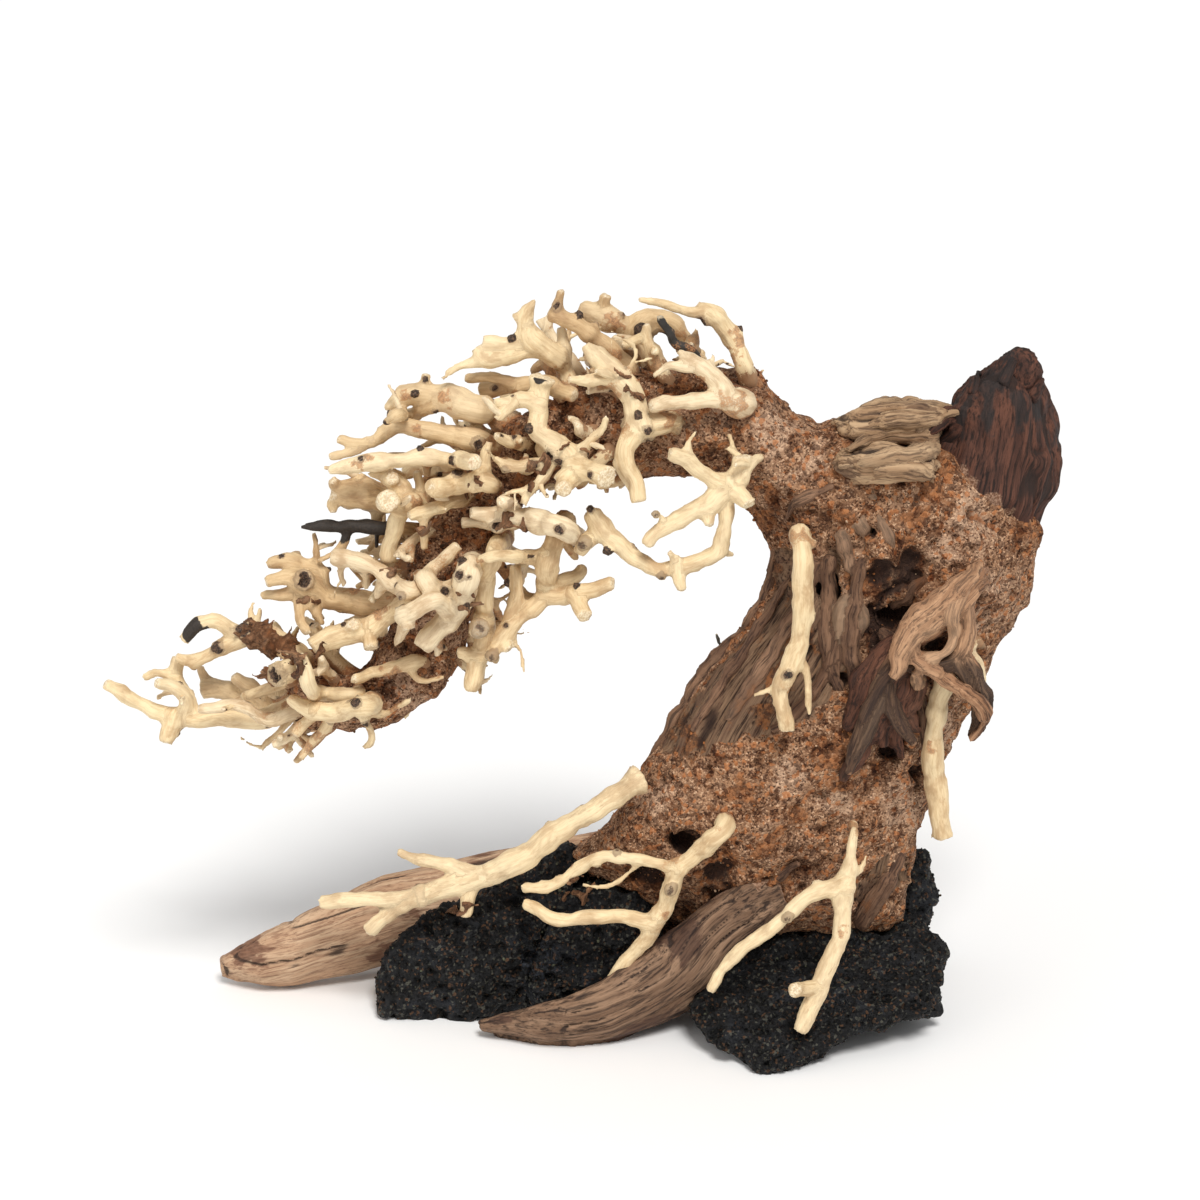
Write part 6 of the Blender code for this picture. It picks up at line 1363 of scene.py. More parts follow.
def fill_twig(pick, spot, limb, tree):
    """A small forked twig that starts on the limb at the sample, or None where it would miss the limb."""
    angle = pick.uniform(0.0, 2.0 * math.pi)
    outward = limb.side[spot] * math.cos(angle) + limb.other[spot] * math.sin(angle)
    outward = outward + limb.ahead[spot] * pick.uniform(0.1, 0.9) + np.array([-0.25, 0.0, 0.0])
    outward /= np.linalg.norm(outward)
    hit = tree.ray_cast(Vector(limb.points[spot] + outward * 60.0), Vector(-outward))[0]
    if hit is None:
        return None
    skin = np.array(hit)
    reach = pick.uniform(*FILL_REACH)
    bend = np.array([pick.uniform(-0.6, 0.6) for axis in range(3)])
    width = pick.uniform(*FILL_RADIUS)
    rows = [(*(skin - outward * 2.0), width * 1.25)]
    spots = [skin + (outward * part + bend * part * part * 0.6) * reach for part in (0.33, 0.66, 1.0)]
    rows += [(*spots[0], width * 1.05), (*spots[1], width * 0.95), (*spots[2], width * 0.7)]
    chains = [rows]
    for arm in range(pick.choice((1, 2, 2, 3))):
        start = spots[arm % 2] + (spots[arm % 2 + 1] - spots[arm % 2]) * pick.uniform(0.0, 0.8)
        aside = np.cross(outward, np.array([pick.uniform(-1, 1) for axis in range(3)]))
        aside = aside / max(0.1, np.linalg.norm(aside)) + outward * pick.uniform(0.1, 0.8)
        end = start + aside * pick.uniform(5.0, 10.0)
        middle = (start + end) / 2.0 + bend * 1.5
        tip_width = width * pick.uniform(0.35, 0.66)
        chains.append([(*start, width * 0.85), (*middle, width * 0.72), (*end, tip_width)])
    return chains


class Taken:
    """Places that twigs already fill, and the outline that they make in the front view."""

    def __init__(self, runs):
        self.points = np.concatenate([run.points[::2] for run in runs])
        self.radii = np.concatenate([run.radii[::2] for run in runs])
        self.u, self.v = seen_at(self.points)[:2]

    def touched_by(self, free, others=slice(None)):
        """Whether rows of places and radii come too near to what is taken."""
        apart = np.linalg.norm(free[:, None, :3] - self.points[others][None], axis=2)
        return (apart - free[:, None, 3] - self.radii[others][None]).min() < LEAST_ROOM

    def strayed_by(self, free):
        """How far the rows stray in the view from the twigs that the part holds."""
        u, v = seen_at(free[:, :3])[:2]
        return np.hypot(u[:, None] - self.u[None], v[:, None] - self.v[None]).min(axis=1).max()

    def add(self, rows):
        self.points = np.concatenate((self.points, rows[::2, :3]))
        self.radii = np.concatenate((self.radii, rows[::2, 3]))


def fill_runs(runs, tree, settings):
    """Small twigs for the gaps: they touch no other, and stay within the outline of the front view."""
    pick = random.Random(SEED)
    line = grain_run("trunk")
    first = int(np.argmax(line.points[:, 0] < FILL_FROM_X))
    taken = Taken(runs)
    made = []
    for attempt in range(settings.fill_tries):
        chains = fill_twig(pick, pick.randrange(first, len(line.points)), line, tree)
        if chains is None:
            continue
        curves = [curve_through(chain, settings.path_step / MM) for chain in chains]
        rows = np.concatenate(curves)
        free = rows[np.linalg.norm(rows[:, :3] - rows[0, :3], axis=1) > FILL_ROOT]
        if taken.touched_by(free):
            continue
        if min(tree.find_nearest(Vector(row[:3]))[3] - row[3] for row in free[::3]) < 0.0:
            continue
        if taken.strayed_by(free) > FILL_OUTLINE:
            continue
        tone = pick.uniform(-0.4, 0.4)
        made.append([Run(curve[:, :3], curve[:, 3], tone) for curve in curves])
        taken.add(rows)
        if len(made) == settings.fill_most:
            break
    return made


def shoot_runs(hosts, tree, settings):
    """Short side shoots on the twigs, clear of every other twig and within the outline of the front view."""
    pick = random.Random(SEED + 1)
    taken = Taken(hosts)
    made = []
    for attempt in range(settings.shoot_tries):
        host = pick.choice(hosts)
        spot = pick.randrange(len(host.points) // 4, len(host.points))
        angle = pick.uniform(0.0, 2.0 * math.pi)
        outward = host.side[spot] * math.cos(angle) + host.other[spot] * math.sin(angle)
        outward = outward + host.ahead[spot] * pick.uniform(0.0, 0.9)
        outward /= np.linalg.norm(outward)
        width = min(host.radii[spot] * 0.7, pick.uniform(1.1, 2.1))
        reach = host.radii[spot] + pick.uniform(*SHOOT_REACH)
        bend = np.array([pick.uniform(-0.3, 0.3) for axis in range(3)])
        start = host.points[spot]
        rows = [(*(start + (outward + bend * part) * reach * part), width * (1.1 - 0.4 * part))
                for part in (0.0, 0.5, 1.0)]
        curve = curve_through(rows, settings.path_step / MM)
        free = curve[np.linalg.norm(curve[:, :3] - start, axis=1) > host.radii[spot] + 2.0]
        others = np.linalg.norm(taken.points - start, axis=1) > host.radii[spot] + 3.0
        if len(free) < 3 or taken.touched_by(free, others):
            continue
        if min(tree.find_nearest(Vector(row[:3]))[3] - row[3] for row in free) < 0.3:
            continue
        if taken.strayed_by(free) > SHOOT_OUTLINE:
            continue
        made.append(Run(curve[:, :3], curve[:, 3], host.tone))
        taken.add(curve)
        if len(made) == settings.shoot_most:
            break
    return made


def scrap_runs(tree, table, path_step):
    """Crumpled scraps of bark: short crooked runs over what the front view shows at each place."""
    pick = random.Random(SEED + 2)
    runs = []
    for u, v, spread, count in table:
        for scrap in range(count):
            spot_u = u + pick.uniform(-spread, spread)
            spot_v = v + pick.uniform(-spread, spread)
            sight = Vector(sight_towards(spot_u, spot_v))
            hit = tree.ray_cast(EYE, sight)[0]
            if hit is None:
                continue
            spot = np.array(hit)
            lean = np.array([pick.uniform(-1.0, 1.0) for axis in range(3)]) - 0.5 * np.array(sight)
            turn = np.array([pick.uniform(-1.0, 1.0) for axis in range(3)])
            reach = pick.uniform(2.0, 5.5)
            width = pick.uniform(0.5, 1.2)
            rows = [(*(spot + (lean * part + turn * part * part * 0.7) * reach), width * (1.15 - 0.4 * part))
                    for part in (-0.4, 0.2, 0.6, 1.0)]
            curve = curve_through(rows, path_step)
            runs.append(Run(curve[:, :3], curve[:, 3], pick.uniform(-0.6, 0.4)))
    return runs


def laid_runs(tree, table, stoutness, lift=0.0):
    """Ridges and shards laid on what the front view shows at their places, raised towards it by the lift."""
    runs = []
    for number, (rows, tone) in enumerate(table):
        path = []
        for u, v, radius in rows:
            sight = Vector(sight_towards(u, v))
            hit = tree.ray_cast(EYE, sight)[0] or tree.find_nearest(place(u, v, LAID_DEPTH))[0]
            path.append((*(hit + sight * (radius * 0.2 - lift)), radius * stoutness))
        curve = curve_through(path, 1.2)
        strays = np.column_stack([soft_noise(curve[:, :3], 5.0, number + axis) for axis in range(3)])
        curve[:, :3] += strays * 0.8
        curve[:, 3] *= 1.0 + 0.35 * soft_noise(curve[:, :3], 4.0, number + 40)
        runs.append(Run(curve[:, :3], curve[:, 3], tone))
    return runs


def strand_runs(chains, settings):
    """Each stem of the twisted piece as strands wound round each other."""
    runs = []
    for number, chain in enumerate(chains):
        curve = chain_curve(chain, settings)
        core = Run(curve[:, :3], curve[:, 3] * 0.72, 0.1)
        runs.append(core)
        for strand in range(5):
            turn = core.along * 0.045 + strand * 1.257 + number
            offset = core.side * np.cos(turn)[:, None] + core.other * (0.8 * np.sin(turn))[:, None]
            away = 0.78 + 0.3 * soft_noise(core.points, 9.0, strand + 9 * number)
            points = core.points + offset * (curve[:, 3] * 0.72 * away)[:, None]
            radii = curve[:, 3] * (0.34 + 0.1 * soft_noise(points, 6.0, strand + 5 * number))
            thin = 1.0 - 0.5 * ramp(core.along / core.along[-1], 0.75, 1.0)
            runs.append(Run(points, np.maximum(0.7, radii * thin), 0.5 * (strand - 2) / 2.0))
    return runs


# Trunk, shaped wood and rocks

def apart_from(u, v, u0, v0, u1, v1):
    """Distance in the view from places to the line between two ends."""
    du, dv = u1 - u0, v1 - v0
    part = np.clip(((u - u0) * du + (v - v0) * dv) / (du * du + dv * dv), 0.0, 1.0)
    return np.hypot(u0 + du * part - u, v0 + dv * part - v)


def inside_by(u, v, outline):
    """How far places of the view lie inside an outline, negative outside."""
    corners = np.array(outline, dtype=float)
    after = np.roll(corners, -1, axis=0)
    inside = np.zeros(len(u), dtype=bool)
    apart = np.full(len(u), 1e9)
    for (u0, v0), (u1, v1) in zip(corners, after):
        apart = np.minimum(apart, apart_from(u, v, u0, v0, u1, v1))
        crosses = (v0 > v) != (v1 > v)
        if v1 != v0:
            inside ^= crosses & (u < u0 + (v - v0) * (u1 - u0) / (v1 - v0))
    return np.where(inside, apart, -apart)


def facing_eye(places, normals):
    sight = places - np.array(EYE)
    sight /= np.linalg.norm(sight, axis=1)[:, None]
    return -np.sum(sight * normals, axis=1)


def grain_run(node):
    points = curve_through([tuple(place(*spot)) for spot in GRAIN_LINES[node]], 2.0)
    return Run(points, np.full(len(points), 1.0))


def spots_at(u, v, spots):
    value = np.zeros(len(u))
    for middle_u, middle_v, radius in spots:
        value = np.maximum(value, ramp(np.hypot(u - middle_u, v - middle_v), radius * 1.3, radius * 0.4))
    return value


def stand_flat(places, low_before):
    """Points that were on the ground go back to it, and none go below it."""
    places[:, 2] = np.where(low_before, 0.0, np.maximum(0.0, places[:, 2]))
    return places


def trunk_piece(settings, collars, neighbours, material):
    """The mortar skin, lumpy and grained, bare grooved wood on its flank, raised round the twigs' roots."""
    mesh = grown_together(copy_in_mm("trunk"), settings.mesh_step / MM, 14)
    places = points_of(mesh)
    normals = normals_of(mesh)
    samples = Samples([grain_run("trunk")])
    grain = samples.grain(places, samples.nearest(places))
    u, v = seen_at(places)[:2]
    facing = facing_eye(places, normals)
    front = ramp(facing, 0.0, 0.25)
    u = u + 4.0 * soft_noise(places, 8.0, 21) + 2.0 * soft_noise(places, 3.0, 23)
    v = v + 4.0 * soft_noise(places, 8.0, 22) + 2.0 * soft_noise(places, 3.0, 24)
    wood = ramp(inside_by(u, v, FLANK), -3.0, 3.0) * front
    for u0, v0, u1, v1, half, side in WOOD_STREAKS:
        apart = apart_from(u, v, u0, v0, u1, v1)
        wood = np.maximum(wood, ramp(apart, half, half * 0.4) * ramp(facing * side, 0.0, 0.25))
    wood = np.clip(wood + 0.35 * soft_noise(places, 7.0, 5) * (wood > 0.02), 0.0, 1.0)
    # Painted shade: the hollows are sunk, and marked so that the finish paints the shade in them dark
    dark = spots_at(u, v, HOLLOW_SHADE_SPOTS) * front
    ridges = 1.0 - 2.2 * np.abs(soft_noise(drawn_out(grain, 0.3), 13.0, 25))
    bumps = (1.5 * soft_noise(places, 22.0, 1) + 1.2 * soft_noise(places, 9.0, 2)
             + 0.9 * soft_noise(places, 4.2, 3) + 0.55 * soft_noise(places, 2.1, 4)
             + 1.5 * ridges - 1.4 * ramp(nearest_centre(places, 11.0, 26), 0.3, 0.1))
    long = drawn_out(grain, 0.06)
    grooves = 2.2 * soft_noise(long, 7.0, 6) + 1.1 * soft_noise(long, 2.6, 7) - 1.0
    cracks = ramp(np.abs(soft_noise(drawn_out(grain, 0.018), 7.0, 8)), 0.1, 0.0)
    grooves = grooves - 1.6 * cracks
    collar = np.zeros(len(places))
    for root in collars:
        collar = np.maximum(collar, ramp(np.linalg.norm(places - root, axis=1), 9.0, 3.0))
    fillet = ramp(closeness(neighbours, places, 7.0), 0.0, 0.8)
    raised = collar * (1.4 + 0.8 * soft_noise(places, 3.0, 9))
    push = bumps * (1.0 - wood) + grooves * wood + raised * (1.0 - wood)
    pits = ramp(nearest_centre(places + 1.5 * bumps[:, None], 6.5, 27), 0.34, 0.12)
    push = push + fillet * (2.6 + 0.8 * soft_noise(places, 4.0, 28)) - dark * 5.0 - 1.6 * pits * (1.0 - wood)
    # Painted shade: the low value is where the skin is pushed in, with the pits; the finish darkens it as the
    # shade in these recesses
    low = ramp(-push, 0.6, 2.4)
    set_points(mesh, stand_flat(places + normals * push[:, None], places[:, 2] < 0.2))
    give(mesh, "grain", grain)
    give(mesh, "wood", wood)
    # The dark value holds the painted shade of the hollows and of the cracks in the bare wood
    give(mesh, "dark", np.maximum(dark, cracks * wood))
    give(mesh, "low", np.maximum(low, 0.8 * pits))
    give(mesh, "rust", np.clip(0.5 * fillet + spots_at(u, v, RUST_SPOTS) - spots_at(u, v, PALE_SPOTS)
         + 0.4 * collar + 0.3 * soft_noise(places, 12.0, 10), -1, 1))
    return finished_piece("trunk_mortar", mesh, material, ("trunk",)), wood, collar


def shaped_wood(node, material, step, depth, tree, split_top=0.0, split_reach=9.0,
                split_start=0.0, plates=0.0, split_size=3.0):
    """A shaped wood piece with grooves and cracks along its grain."""
    mesh = grown_together(copy_in_mm(node), step, 3)
    places = points_of(mesh)
    normals = normals_of(mesh)
    low_before = (places[:, 2] < 1.2) & (normals[:, 2] < -0.5)
    samples = Samples([grain_run(node)])
    index = samples.nearest(places)
    grain = samples.grain(places, index)
    seed = random.Random(node).randrange(1000)
    long = drawn_out(grain, 0.07)
    grooves = (soft_noise(long, 4.6, seed) + 0.7 * soft_noise(long, 2.0, seed + 1)
               + 0.35 * soft_noise(long, 1.0, seed + 2))
    levels = 2.2 * soft_noise(drawn_out(grain, 0.12), 8.0, seed + 7)
    terraces = np.floor(levels) + ramp(levels - np.floor(levels), 0.42, 0.58)
    grooves = grooves * (1.0 - 0.4 * plates) + plates * terraces
    cracks = ramp(np.abs(soft_noise(drawn_out(grain, 0.016), 6.0, seed + 3)), 0.1 * step + 0.03, 0.0)
    cracks = cracks * ramp(soft_noise(places, 14.0, seed + 8), -0.2, 0.3)
    lumps = soft_noise(places, 11.0, seed + 4)
    push = depth * (grooves * 0.8 + lumps * (0.9 + 1.6 * plates) - cracks * 1.5)
    moved = places + normals * push[:, None]
    ends = ramp(samples.left[index], split_reach, 1.0)
    starts = ramp(samples.along[index], split_reach, 1.0) * (samples.along[index] < split_reach)
    if split_top > 0.0:
        splinters = soft_noise(drawn_out(grain, 0.02), split_size, seed + 5)
        split = splinters * split_top * (ends - starts * split_start)
        moved = moved + samples.ahead[index] * split[:, None]
    set_points(mesh, stand_flat(moved, low_before))
    give(mesh, "grain", grain)
    # Painted shade: the low value marks the deep grooves and cracks, and the finish darkens them as the shade
    # in them
    give(mesh, "low", np.clip(ramp(-grooves, 0.5, 1.5) + cracks, 0.0, 1.0))
    give(mesh, "bark", soft_noise(places, 16.0, seed + 6))
    give(mesh, "cut", np.zeros(len(places)))
    give(mesh, "dark", np.zeros(len(places)))
    stained = closeness(tree, places, 9.0) + 0.35 * soft_noise(places, 3.0, seed + 9)
    give(mesh, "root", ramp(stained, 0.45, 0.95))
    return finished_piece(node + "_grained", mesh, material, (node,))


def rock_piece(node, material, settings):
    """A rock pitted with pores of three sizes."""
    mesh = grown_together(copy_in_mm(node), settings.mesh_step / MM, 3)
    places = points_of(mesh)
    normals = normals_of(mesh)
    low_before = (places[:, 2] < 1.2) & (normals[:, 2] < -0.5)
    seed = random.Random(node).randrange(1000)
    rough = 1.5 * soft_noise(places, 12.0, seed) + 0.9 * soft_noise(places, 4.5, seed + 1)
    rough = rough + 0.5 * soft_noise(places, 1.9, seed + 2)
    wide = ramp(nearest_centre(places, 7.5, seed + 3), 0.4, 0.15)
    middle = ramp(nearest_centre(places, 3.6, seed + 4), 0.45, 0.15)
    small = ramp(nearest_centre(places, 2.0, seed + 5), 0.45, 0.15)
    push = 1.7 * rough - 3.0 * wide - 1.8 * middle - 0.8 * small
    set_points(mesh, stand_flat(places + normals * push[:, None], low_before))
    # Painted shade: the low value marks the pores, and the finish darkens them as the shade in them
    give(mesh, "low", np.clip(0.8 * wide + 0.6 * middle + 0.3 * small, 0.0, 1.0))
    u, v = seen_at(places)[:2]
    # Painted sheen: on the rocks this rust value places the patch of blue sheen
    give(mesh, "rust", spots_at(u, v, [(-20.0, 41.0, 9.0)]))
    return finished_piece(node + "_pitted", mesh, material, (node,))


CRUMB_BATCH = 60


def crumb_batch(drawn, first_corner, places, normals, least, most, pick):
    """A mesh with one grain for each drawn face; a batch stays small because each grain reads it whole."""
    bm = bmesh.new()
    tint = bm.verts.layers.float.new("tint")
    for face in drawn:
        spot = first_corner[face]
        radius = least + (most - least) * pick.random() ** 2.2
        size = Vector((pick.uniform(0.7, 1.2), pick.uniform(0.7, 1.2), pick.uniform(0.6, 1.0))) * radius
        turn = Matrix.Rotation(pick.uniform(0.0, 6.28), 4, Vector((pick.random(), pick.random(), 1.0)))
        where = Vector(places[spot]) + Vector(normals[spot]) * radius * pick.uniform(-0.1, 0.5)
        matrix = Matrix.Translation(where) @ turn @ Matrix.Diagonal((*size, 1.0))
        made = bmesh.ops.create_icosphere(bm, subdivisions=1, radius=1.0, matrix=matrix)
        tone = pick.random()
        for vert in made["verts"]:
            vert[tint] = tone
    mesh = bpy.data.meshes.new("grains")
    bm.to_mesh(mesh)
    bm.free()
    return mesh


def crumbs_piece(name, base, weights, count, least, most, material, seed):
    """Small round grains scattered over a piece's faces, with as many as their weights ask for."""
    mesh = base.data
    faces = len(mesh.polygons)
    corners = np.empty(len(mesh.loops), dtype=int)
    mesh.loops.foreach_get("vertex_index", corners)
    starts = np.empty(faces, dtype=int)
    mesh.polygons.foreach_get("loop_start", starts)
    areas = np.empty(faces)
    mesh.polygons.foreach_get("area", areas)
    chance = areas * weights[corners[starts]]
    chance = chance / chance.sum()
    drawn = np.random.default_rng(seed).choice(faces, size=count, p=chance)
    places = points_of(mesh)
    normals = normals_of(mesh)
    pick = random.Random(seed)
    result = bpy.data.meshes.new(name)
    whole = bmesh.new()
    for first in range(0, count, CRUMB_BATCH):
        batch = drawn[first:first + CRUMB_BATCH]
        whole.from_mesh(crumb_batch(batch, corners[starts], places, normals, least, most, pick))
    whole.to_mesh(result)
    whole.free()
    result.materials.append(material)
    result.polygons.foreach_set("use_smooth", [True] * len(result.polygons))
    piece = object_with(result, name)
    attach(piece, "root")
    return piece


# Settings

def shade(name, description, default):
    return bpy.props.FloatVectorProperty(name=name, description=description, default=default, subtype="COLOR",
                                         size=3, min=0.0, max=1.0)


def length(name, description, default, most=0.1):
    return bpy.props.FloatProperty(name=name, description=description, default=default, min=0.00005, max=most,
                                   precision=5, unit="LENGTH")


def strength(name, description, default, least, most):
    return bpy.props.FloatProperty(name=name, description=description, default=default, min=least, max=most)


def count(name, description, default, least, most):
    return bpy.props.IntProperty(name=name, description=description, default=default, min=least, max=most)


class TwigSettings(bpy.types.PropertyGroup):
    """Sizes and colours of the twigs."""

    mesh_step: length("Mesh step", "Edge length of a twig's skin", 0.00096)
    path_step: length("Path step", "Distance between the samples of a twig's path", 0.0012)
    wobble: length("Wobble", "How far a twig strays from its smooth path", 0.0007)
    least_radius: length("Least radius", "Radius of the thinnest arms", 0.0008)
    knot_spacing: length("Knot spacing", "Distance between seeded knots along a twig", 0.0085)
    swell: strength("Swell", "Radius against the one read in the view", 0.98, 0.8, 1.4)
    fill_tries: count("Fill tries", "Places tried for small twigs in the gaps", 2600, 1, 20000)
    fill_most: count("Fill twigs", "Most small twigs in the gaps", 84, 1, 200)
    shoot_tries: count("Shoot tries", "Places tried for side shoots", 900, 1, 20000)
    shoot_most: count("Side shoots", "Most short side shoots", 110, 1, 400)
    tube_sides: count("Tube sides", "Resolution of a tube before it is fused", 2, 1, 8)
    light: shade("Light wood", "Palest fibres of the cream twigs", (0.84, 0.67, 0.41))
    middle: shade("Middle wood", "Usual colour of the cream twigs", (0.63, 0.435, 0.225))
    brown: shade("Skin", "Brown skin left on the twigs", (0.3, 0.15, 0.07))


class MortarSettings(bpy.types.PropertyGroup):
    """Sizes and colours of the mortar coat."""

    mesh_step: length("Mesh step", "Edge length of the coat's skin", 0.0013)
    grain_size: length("Grain size", "Usual width of a mortar grain", 0.0006)
    least_crumb: length("Least crumb", "Radius of the smallest loose grain", 0.0002)
    most_crumb: length("Largest crumb", "Radius of the largest loose grain", 0.0007)
    crumbs: count("Crumbs", "Loose grains on the coat", 4300, 10, 9000)
    mortar: shade("Mortar", "Usual colour of the mortar", (0.27, 0.155, 0.105))
    bare_light: shade("Bare wood, light", "Pale fibres of the bare flank", (0.26, 0.16, 0.095))
    bare_dark: shade("Bare wood, dark", "Dark fibres of the bare flank", (0.075, 0.042, 0.028))


class RockSettings(bpy.types.PropertyGroup):
    """Sizes of the lava rocks."""

    mesh_step: length("Mesh step", "Edge length of a rock's skin", 0.00125)
    least_grain: length("Least grain", "Radius of the smallest grain on a rock", 0.00025)
    most_grain: length("Largest grain", "Radius of the largest grain on a rock", 0.0008)
    grains: count("Grains", "Grains on each rock", 550, 10, 9000)


class StageSettings(bpy.types.PropertyGroup):
    """Floor, light and camera."""

    floor_width: length("Floor width", "Side of the square floor", 14.0, 40.0)
    floor: shade("Floor", "Colour of the floor", (0.93, 0.93, 0.93))
    key: strength("Key light", "Strength of the sun from the upper right", 2.5, 0.0, 100.0)
    fill: strength("Fill light", "Strength of the square light on the left", 4.0, 0.0, 1000.0)
    sky: strength("Surroundings", "Strength of the even light all round", 0.5, 0.0, 10.0)


# Operators

WORK = {}


class DRIFTWOOD_OT_prepare(bpy.types.Operator):
    """Works out where every twig runs"""
    bl_idname = "driftwood.prepare"
    bl_label = "Prepare twig paths"

    def execute(self, context):
        settings = context.scene.driftwood_twigs
        twigs, tree = solved_twigs()
        WORK["tree"] = tree
        WORK["slots"] = {name: twig[0] for name, twig in twigs.items()}
        WORK["chains"] = {name: twig[1] for name, twig in twigs.items()}
        WORK["runs"] = {name: twig_runs(name, twig[1], settings) for name, twig in twigs.items()
                        if name != "twisted_driftwood"}
        WORK["marks"] = front_marks(WORK["runs"])
        return {"FINISHED"}


class DRIFTWOOD_OT_twigs(bpy.types.Operator):
    """Models every peeled twig and root"""
    bl_idname = "driftwood.twigs"
    bl_label = "Twigs and roots"

    def execute(self, context):
        settings = context.scene.driftwood_twigs
        light, middle, brown = tuple(settings.light), tuple(settings.middle), tuple(settings.brown)
        finishes = {
            CREAM: twig_finish(CREAM, light, middle, brown),
            PALE: twig_finish(PALE, (0.86, 0.71, 0.48), (0.64, 0.46, 0.26), (0.3, 0.15, 0.07)),
            TAN: twig_finish(TAN, (0.72, 0.53, 0.3), (0.55, 0.36, 0.18), (0.24, 0.12, 0.06)),
            BLACK: twig_finish(BLACK, (0.05, 0.045, 0.04), (0.02, 0.017, 0.015), (0.008, 0.007, 0.006)),
        }
        WORK["finishes"] = finishes
        for name, runs in WORK["runs"].items():
            slot_name = WORK["slots"][name]
            marks = WORK["marks"][name] + seeded_marks(name, runs, settings.knot_spacing / MM, "far" in name)
            twig_piece(name, runs, marks, WORK["tree"], settings, finishes[slot_name], (name,))
        return {"FINISHED"}


class DRIFTWOOD_OT_fill(bpy.types.Operator):
    """Models the small twigs that fill the gaps along the limb, and the side shoots"""
    bl_idname = "driftwood.fill"
    bl_label = "Small twigs in the gaps"

    def execute(self, context):
        settings = context.scene.driftwood_twigs
        taken = [run for runs in WORK["runs"].values() for run in runs]
        made = fill_runs(taken, WORK["tree"], settings)
        for group in range(FILL_GROUPS):
            name = f"small_twigs_{group + 1:02d}"
            runs = [run for twig in made[group::FILL_GROUPS] for run in twig]
            marks = seeded_marks(name, runs, settings.knot_spacing / MM, True)
            slot_name = (CREAM, TAN, CREAM, PALE)[group % 4]
            twig_piece(name, runs, marks, WORK["tree"], settings, WORK["finishes"][slot_name], ())
        hosts = [run for name, runs in WORK["runs"].items() if "root" not in name and "trunk" not in name
                 and WORK["slots"][name] != BLACK for run in runs]
        shoots = shoot_runs(hosts + [run for twig in made for run in twig], WORK["tree"], settings)
        for number, slot_name in enumerate((CREAM, PALE)):
            name = f"side_shoots_{number + 1}"
            runs = shoots[number::2]
            twig_piece(name, runs, seeded_marks(name, runs, settings.knot_spacing / MM, True),
                       WORK["tree"], settings, WORK["finishes"][slot_name], ())
        return {"FINISHED"}


class DRIFTWOOD_OT_trunk(bpy.types.Operator):
    """Models the trunk's mortar coat, bare flank and loose grains"""
    bl_idname = "driftwood.trunk"
    bl_label = "Trunk and mortar"

    def execute(self, context):
        settings = context.scene.driftwood_mortar
        collars = [run[0].points[0] for run in WORK["runs"].values()]
        neighbours = node_tree("crown_stump", "weathered_slab_upper", "weathered_slab_lower",
                               "twisted_driftwood", "front_leg")
        trunk, wood, collar = trunk_piece(settings, collars, neighbours, mortar_finish(settings))
        rust = np.empty(len(wood))
        trunk.data.attributes["rust"].data.foreach_get("value", rust)
        weights = (1.0 - 0.7 * wood) * (0.1 + 1.2 * np.maximum(rust, 0.0) ** 2 + 0.6 * collar)
        loose = crumb_finish(MORTAR, (0.06, 0.026, 0.014), (0.31, 0.16, 0.085), (0.38, 0.14, 0.045),
                             (0.62, 0.42, 0.27))
        crumbs_piece("mortar_grains", trunk, weights, settings.crumbs, settings.least_crumb,
                     settings.most_crumb, loose, 3)
        return {"FINISHED"}


